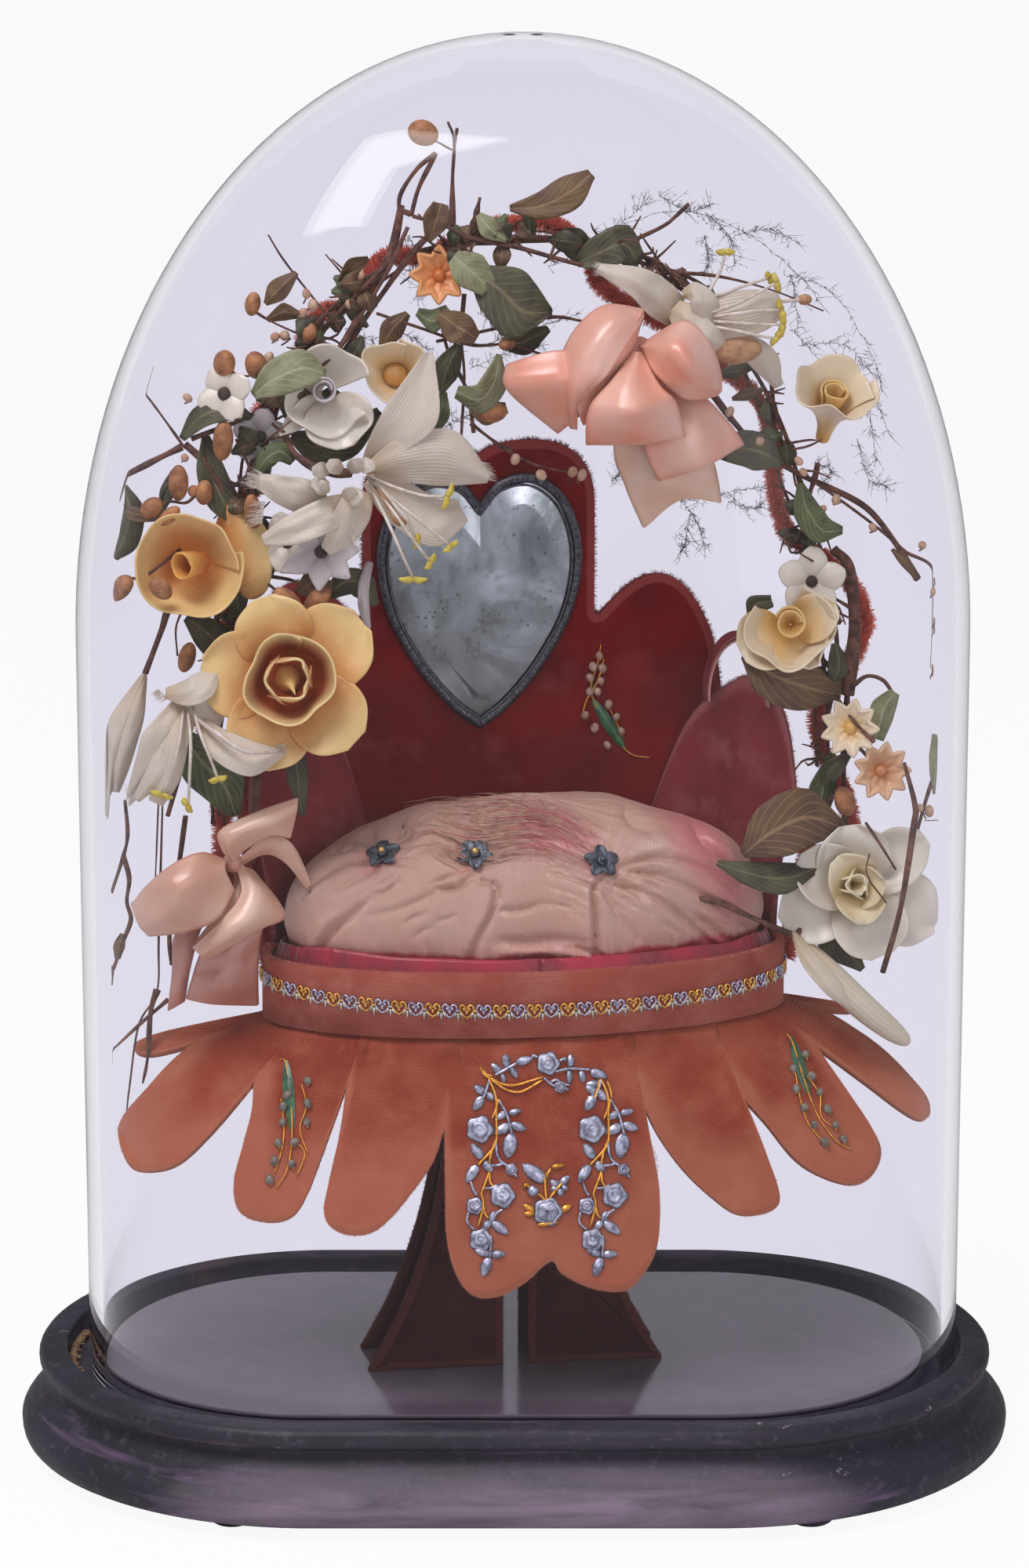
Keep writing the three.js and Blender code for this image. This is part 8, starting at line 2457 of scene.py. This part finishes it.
    def fern(self):
        """Dried fern, as fine as hair."""
        rng = scatter("fern")
        hairs = []
        for stem in FERN_STEMS:
            depth = rng.uniform(-2, 9)
            track = [spot(px, py, depth + rng.uniform(-2, 2)) for px, py in stem]
            points = []
            for i in range(35):
                stray = Vector((rng.uniform(-1, 1), 0, rng.uniform(-1, 1))) * 0.35
                points.append(along(track, i / 34) + stray)
            for a, b in zip(points, points[1:]):
                hairs.append((a, b, 0.13))
                run = (b - a).normalized()
                for _ in range(2):
                    if rng.random() < 0.62:
                        side = tossed(rng, y=(-0.6, 0.6))
                        tip = a + (run * 0.7 + side) * rng.uniform(1.2, 5.5)
                        hairs.append((a, tip, 0.09))
                        for _ in range(rng.randint(0, 5)):
                            root = a.lerp(tip, rng.uniform(0.3, 1))
                            needle = tossed(rng, y=(-0.5, 0.5))
                            hairs.append((root, root + (needle + run * 0.5) * rng.uniform(0.6, 2.0), 0.08))
        bm = bmesh.new()

        def blade(i):
            a, b, half = hairs[i]
            return a, b, (b - a).cross(Vector((0, 1, 0.2))).normalized() * half

        blades(bm, len(hairs), blade)
        hung(bm, "branch_top_fern", [], "twigs_and_leaves", [self.skins[7]])


# ---- Stamped ornaments ----

# The apron's garland is noted at this many times the photograph's size, from this pixel of it.
GARLAND_SCALE, GARLAND_CORNER = 4.48, (560, 1310)
# Each silver leaf of a spray: root, tip and width. A stem also has its metal, and a rose its radius.
SPRAY_LEAVES = (
    (268, 378, 198, 335, 52), (268, 378, 322, 412, 46), (252, 392, 196, 474, 56), (392, 488, 316, 522, 44),
    (396, 492, 468, 474, 42), (408, 556, 312, 608, 60), (408, 552, 494, 582, 56), (416, 604, 388, 748, 84),
    (248, 752, 186, 664, 58), (222, 784, 154, 886, 62), (256, 764, 302, 824, 56), (292, 1112, 318, 1050, 44),
    (300, 1112, 394, 1178, 60), (290, 1104, 252, 1156, 46), (288, 1296, 202, 1272, 50), (294, 1298, 376, 1294, 50),
    (288, 1312, 246, 1422, 62),
)
SPRAY_STEMS = (
    (((286, 300), (262, 378), (246, 404)), 0), (((284, 296), (322, 392), (326, 520)), 1), (((340, 410), (318, 480),
    (300, 520)), 1), (((340, 412), (386, 500), (416, 610)), 0), (((326, 520), (326, 640), (300, 700), (222, 786)),
    1), (((320, 650), (296, 720), (286, 776)), 1), (((324, 650), (330, 720), (352, 764), (402, 800), (446, 856)),
    0), (((286, 826), (262, 890), (240, 948)), 1), (((288, 830), (290, 880), (312, 912)), 1), (((180, 882),
    (196, 930), (214, 960)), 0), (((240, 948), (252, 1000), (246, 1050), (222, 1136)), 1), (((252, 1010),
    (260, 1060), (280, 1090)), 1), (((166, 1056), (160, 1110), (198, 1152)), 0), (((296, 1190), (294, 1250),
    (290, 1310)), 0), (((262, 920), (300, 916), (330, 900)), 0), (((300, 790), (340, 786), (370, 772)), 0),
    (((360, 1040), (330, 1060), (312, 1084)), 0),
)
SPRAY_ROSES = ((232, 582, 78), (362, 960, 72), (205, 1020, 50), (238, 1214, 66), (412, 812, 34))
TOP_LEAVES_STAMPED = (
    (390, 232, 374, 148, 50), (352, 262, 298, 206, 48), (404, 226, 446, 286, 42), (436, 204, 534, 176, 54),
    (360, 266, 372, 318, 34), (748, 228, 752, 154, 44), (744, 242, 742, 318, 38), (812, 244, 822, 314, 44),
    (862, 250, 958, 284, 60), (920, 318, 838, 326, 44), (900, 360, 962, 404, 44), (892, 388, 832, 468, 60),
)
TOP_STEMS_STAMPED = (
    (((320, 272), (380, 240), (440, 204)), 0), (((294, 290), (360, 322), (440, 328), (592, 282)), 1), (((300, 300),
    (380, 354), (470, 366), (590, 300)), 1), (((234, 230), (258, 268), (292, 292)), 1), (((250, 240), (270, 268),
    (300, 276)), 1), (((664, 254), (740, 236), (860, 240)), 0), (((916, 300), (906, 350), (884, 404)), 1),
    (((960, 310), (978, 360), (984, 400)), 1), (((600, 290), (650, 330), (740, 356)), 0), (((560, 170), (540, 160),
    (530, 170)), 0), (((690, 190), (720, 176), (716, 190)), 0), (((640, 310), (670, 300), (700, 320), (746, 330)),
    0),
)
# The bouquet's leaves and stems, noted like the sprays; each leaf's last number is its metal.
BOUQUET_LEAVES = (
    (612, 884, 474, 782, 84, 0), (606, 862, 640, 800, 26, 1), (640, 800, 712, 784, 34, 1),
    (688, 904, 742, 846, 46, 0), (684, 912, 636, 872, 48, 0), (684, 918, 634, 924, 40, 0),
    (690, 918, 694, 964, 42, 0), (696, 912, 736, 920, 40, 0), (546, 1050, 482, 1012, 44, 1),
    (546, 1064, 484, 1066, 40, 1), (694, 1052, 754, 1014, 44, 1), (560, 1130, 680, 1110, 34, 1),
    (506, 884, 478, 920, 26, 1),
)
BOUQUET_STEMS = (
    ((612, 986), (606, 930), (604, 862)), ((604, 986), (580, 960), (560, 950)), ((626, 986), (650, 950),
    (700, 890)), ((500, 900), (520, 915)),
)
# Each enamelled sprig in pixels of the photograph: its leaf, its wires and its beads.
LEFT_SPRIG = (
    (364, 1352, 372, 1446, 15),
    (
        ((356, 1350), (364, 1356), (370, 1400), (372, 1450), (366, 1490), (352, 1515)),
        ((384, 1382), (390, 1410), (382, 1440), (392, 1470)),
        ((358, 1400), (362, 1440), (358, 1470), (350, 1496)),
        ((372, 1452), (388, 1470), (378, 1500)),
    ),
    (
        (392, 1378), (366, 1396), (361, 1411), (392, 1407), (360, 1431), (391, 1431), (355, 1457), (375, 1456),
        (350, 1480), (372, 1484), (344, 1504),
    ),
)
RIGHT_SPRIG = (
    (1010, 1322, 1034, 1400, 15),
    (
        ((1004, 1318), (1012, 1330), (1026, 1376), (1042, 1420), (1064, 1452), (1086, 1466)),
        ((1030, 1372), (1046, 1396), (1048, 1424), (1068, 1440)),
        ((1014, 1360), (1020, 1396), (1030, 1430), (1050, 1456)),
    ),
    (
        (1028, 1344), (1012, 1362), (1036, 1372), (1016, 1388), (1046, 1392), (1026, 1412), (1056, 1414),
        (1038, 1434), (1066, 1434), (1052, 1456), (1076, 1452),
    ),
)
BACK_SPRIG = (
    (756, 892, 798, 958, 15),
    (
        ((766, 822), (762, 846), (754, 872), (758, 896), (778, 930), (802, 960), (828, 966)),
        ((770, 840), (762, 868), (748, 892), (742, 914)),
        ((774, 896), (784, 918), (796, 942)),
    ),
    (
        (764, 836), (756, 850), (768, 852), (752, 864), (766, 868), (752, 882), (762, 882), (776, 898), (746, 912),
        (758, 928), (786, 914), (792, 932), (774, 950),
    ),
)


def on_surface(place, px, py, lift, start):
    """Solves for the point of a surface, place(a, b, lift), that shows at a pixel of the photograph."""
    a, b = start
    for _ in range(4):
        x, y = pixel_of(STAND_IN_WORLD @ place(a, b, lift))
        ax, ay = pixel_of(STAND_IN_WORLD @ place(a + 0.01, b, lift))
        bx, by = pixel_of(STAND_IN_WORLD @ place(a, b + 0.1, lift))
        ax, ay, bx, by = (ax - x) / 0.01, (ay - y) / 0.01, (bx - x) / 0.1, (by - y) / 0.1
        dx, dy = px - x, py - y
        spread = ax * by - ay * bx
        a, b = a + (dx * by - dy * bx) / spread, b + (dy * ax - dx * ay) / spread
    return place(a, b, lift)


class GLOBE_OT_ornaments(bpy.types.Operator):
    """Stamped metal sprays: the garland and the bouquet on the apron, and the three enamelled sprigs"""

    bl_idname = "globe.ornaments"
    bl_label = "Stamped ornaments"

    def execute(self, context):
        silver = metal("silver_foil", linear(176, 180, 194), linear(104, 106, 118), 0.4, 420, (0.42, 0.66))
        gilt = metal("gilt_wire", linear(222, 160, 66), linear(150, 92, 40), 0.32, 500)
        enamel = plain("green_enamel", linear(62, 116, 74), linear(38, 78, 52), 300, 0.3, 0.3)
        pearl = plain("sprig_bead", linear(150, 142, 128), linear(98, 92, 84), 400, 0.4, 0.3)
        cream = plain("sprig_pearl", linear(206, 178, 158), linear(150, 118, 100), 400, 0.35, 0.2)
        skins = [silver, gilt, enamel, pearl]

        def laid_on(x, y, lift):
            px, py = GARLAND_CORNER[0] + x / GARLAND_SCALE, GARLAND_CORNER[1] + y / GARLAND_SCALE
            return on_surface(on_apron, px, py, lift, (0.1, 30))

        bm = bmesh.new()
        for shift in (0, 640):
            for x, y, tx, ty, wide in SPRAY_LEAVES:
                self.leaf(bm, laid_on, x + shift, y, tx + shift, ty, wide)
            for points, material in SPRAY_STEMS:
                self.stem(bm, laid_on, [(x + shift, y) for x, y in points], material)
            for x, y, radius in SPRAY_ROSES:
                self.stamped_rose(bm, laid_on, x + shift, y, radius)
        for row in TOP_LEAVES_STAMPED:
            self.leaf(bm, laid_on, *row)
        for points, material in TOP_STEMS_STAMPED:
            self.stem(bm, laid_on, points, material)
        self.stamped_rose(bm, laid_on, 622, 206, 66)
        self.stamped_rose(bm, laid_on, 690, 340, 34)
        piece(bm, "apron_garland_stamping", ["apron_garland"], "silver_foil", skins, wall=0.22, offset=0)

        bm = bmesh.new()
        for x, y, tx, ty, wide, material in BOUQUET_LEAVES:
            self.leaf(bm, laid_on, x, y, tx, ty, wide, material)
        for points in BOUQUET_STEMS:
            self.stem(bm, laid_on, points, 1)
        ball(bm, laid_on(536, 934, 1.4), 1.9, (0, -1, 0.2), 0.7, 0)
        for radius, lift in ((82, 0.5), (60, 1.1), (38, 1.7), (18, 2.3)):
            self.stamped_rose(bm, laid_on, 620, 1052, radius, lift)
        piece(bm, "apron_bouquet_stamping", ["apron_bouquet"], "silver_foil", skins, wall=0.22, offset=0)

        def on_board(x, z, lift):
            return Vector((x, BOARD_FRONT - CLEARANCE - lift, z))

        for name, surface, start, sprig, metals in (
            ("apron_sprig_left", on_apron, (-0.9, 30), LEFT_SPRIG, skins),
            ("apron_sprig_right", on_apron, (0.9, 30), RIGHT_SPRIG, skins),
            ("backboard_sprig", on_board, (40, SEAT_BOTTOM + 100), BACK_SPRIG, [silver, gilt, enamel, cream]),
        ):

            def laid(px, py, lift, surface=surface, start=start):
                return on_surface(surface, px, py, lift, start)

            self.sprig(name, laid, sprig, metals)
        return {"FINISHED"}

    def leaf(self, bm, laid, x, y, tx, ty, wide, material=0):
        """A stamped leaf: it swells, with a raised midrib and a pressed edge."""
        long = math.hypot(tx - x, ty - y)
        nx, ny = -(ty - y) / long, (tx - x) / long

        def place(u, v):
            side = 2 * u - 1
            half = wide / 2 * math.sin(math.pi * (0.06 + 0.93 * v)) ** 0.75
            relief = 0.5 + 0.9 * math.sin(math.pi * v) * (1 - abs(side)) ** 0.8
            relief += 0.22 * math.sin(22 * (v - 0.5 * abs(side)))
            return laid(x + (tx - x) * v + nx * side * half, y + (ty - y) * v + ny * side * half, relief)

        patch(bm, 6, 8, place, material)

    def stem(self, bm, laid, points, material):
        rod(bm, [laid(x, y, 0.9) for x, y in points], [0.34, 0.44, 0.34], 6, 6 * len(points), material)

    def stamped_rose(self, bm, laid, x, y, radius, lift=0.5):
        """A rose pressed in foil: rings of petals over one another."""

        def place(u, v):
            turn = 2 * math.pi * u
            reach = radius * v * (1 + 0.1 * math.sin(5 * turn + 1.3) * v)
            swirl = 0.6 * abs(math.sin(2.5 * turn + 9 * v)) * math.sin(math.pi * min(1, v * 1.2))
            height = lift + 1.5 * (1 - v**2) + swirl + 0.4 * math.cos(14 * v)
            return laid(x + reach * math.cos(turn), y + reach * math.sin(turn), height)

        patch(bm, 22, 7, place, welded=True)

    def sprig(self, name, laid, sprig, skins):
        leaf, wires, beads = sprig
        rng = scatter(name)
        bm = bmesh.new()
        self.leaf(bm, laid, *leaf, 2)
        for points in wires:
            rod(bm, [laid(x, y, 0.8 + 0.4 * math.sin(x)) for x, y in points], [0.26, 0.34, 0.26], 6, 7 * len(points), 1)
        for x, y in beads:
            ball(bm, laid(x, y, 1.2), rng.uniform(1.25, 1.6), (rng.uniform(-1, 1), 0, 1), 1.15, 3, 10, 7)
            end = laid(x + rng.uniform(-3, 3), y + 7, 0.8)
            rod(bm, [laid(x, y, 1.6), end, laid(x + 3, y + 3, 1.0)], [0.22], 5, 6, 1)
        piece(bm, name + "_stamping", [name], "green_enamel", skins)


# ---- Stage ----


class GLOBE_OT_stage(bpy.types.Operator):
    """The floor, the lamps and the camera of the photograph"""

    bl_idname = "globe.stage"
    bl_label = "Floor, lamps and camera"

    def execute(self, context):
        scene = context.scene
        settings = scene.globe_stage
        bm = bmesh.new()
        bmesh.ops.create_grid(bm, x_segments=1, y_segments=1, size=60)
        mesh = bpy.data.meshes.new("floor")
        bm.to_mesh(mesh)
        bm.free()
        floor = bpy.data.objects.new("floor", mesh)
        scene.collection.objects.link(floor)
        finish = Finish("floor", Base_Color=tuple(settings.floor_colour), Roughness=0.9, Specular_IOR_Level=0.1)
        glow = finish.node("Emission", {"Color": (1, 1, 1), "Strength": 1.0})
        finish.show(finish.blend(finish.times(finish.rays("Camera", "Transmission"), 0.93), finish.shader, glow))
        mesh.materials.append(finish.material)

        world = bpy.data.worlds.new("studio")
        scene.world = world
        world.use_nodes = True
        world.node_tree.nodes.clear()
        sky = Recipe(world.node_tree)
        soft = sky.node("Background", {"Color": (1.0, 0.97, 0.95), "Strength": 0.3})
        white = sky.node("Background", {"Color": (1, 1, 1), "Strength": 1.0})
        sky.node("OutputWorld", {"Surface": sky.blend(sky.rays("Camera", "Transmission"), soft, white)})

        def lamp(name, place, aim, power, wide, high, tone=(1, 1, 1)):
            light = bpy.data.lights.new(name, "AREA")
            light.shape, light.size, light.size_y = "RECTANGLE", wide, high
            light.energy, light.color = power, tone
            holder = bpy.data.objects.new(name, light)
            holder.location = place
            holder.rotation_euler = (Vector(aim) - Vector(place)).to_track_quat("-Z", "Y").to_euler()
            holder.visible_glossy = name == "key"
            scene.collection.objects.link(holder)

        lamp("key", (-0.55, -0.75, 1.75), (0, 0, 0.25), settings.key_power * 0.62, 0.9, 0.7, (1, 0.98, 0.95))
        lamp("front", (0.7, -1.6, 0.7), (0, 0, 0.25), settings.key_power * 0.19, 0.8, 1.0, (1, 0.97, 0.94))

        data = bpy.data.cameras.new("camera")
        data.lens, data.sensor_width = LENS, SENSOR
        camera = bpy.data.objects.new("camera", data)
        camera.location = CAMERA_PLACE * 0.001
        camera.rotation_euler = (CAMERA_TILT, 0, 0)
        scene.collection.objects.link(camera)
        scene.camera = camera
        scene.view_settings.view_transform = "Standard"
        return {"FINISHED"}


class GLOBE_PT_panel(bpy.types.Panel):
    """Builds the globe piece by piece"""

    bl_label = "Bridal globe"
    bl_idname = "GLOBE_PT_panel"
    bl_space_type = "VIEW_3D"
    bl_region_type = "UI"
    bl_category = "Bridal globe"

    def draw(self, context):
        for operator in OPERATORS:
            self.layout.operator(operator.bl_idname)
        for settings, keys in (("globe_sizes", SIZES), ("globe_colours", COLOURS)):
            column = self.layout.column(align=True)
            for key in keys:
                column.prop(getattr(context.scene, settings), key)
        column = self.layout.column(align=True)
        for key in ("floor_colour", "key_power", "seed"):
            column.prop(context.scene.globe_stage, key)


SETTINGS = {"globe_sizes": GlobeSizes, "globe_colours": GlobeColours, "globe_stage": GlobeStage}
OPERATORS = (
    GLOBE_OT_plinth,
    GLOBE_OT_glass_dome,
    GLOBE_OT_legs,
    GLOBE_OT_apron,
    GLOBE_OT_gallery_band,
    GLOBE_OT_cushion,
    GLOBE_OT_backboard,
    GLOBE_OT_wings,
    GLOBE_OT_ornaments,
    GLOBE_OT_chenille_arch,
    GLOBE_OT_branches,
    GLOBE_OT_wax_flowers,
    GLOBE_OT_silk_flowers,
    GLOBE_OT_bows,
    GLOBE_OT_stage,
)


def register():
    for item in (*SETTINGS.values(), *OPERATORS, GLOBE_PT_panel):
        bpy.utils.register_class(item)
    for name, group in SETTINGS.items():
        setattr(bpy.types.Scene, name, PointerProperty(type=group))


def unregister():
    for name in SETTINGS:
        delattr(bpy.types.Scene, name)
    for item in reversed((*SETTINGS.values(), *OPERATORS, GLOBE_PT_panel)):
        bpy.utils.unregister_class(item)


def main():
    register()
    for operator in OPERATORS:
        getattr(bpy.ops.globe, operator.bl_idname.split(".")[1])()
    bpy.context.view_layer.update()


if __name__ == "__main__":
    main()
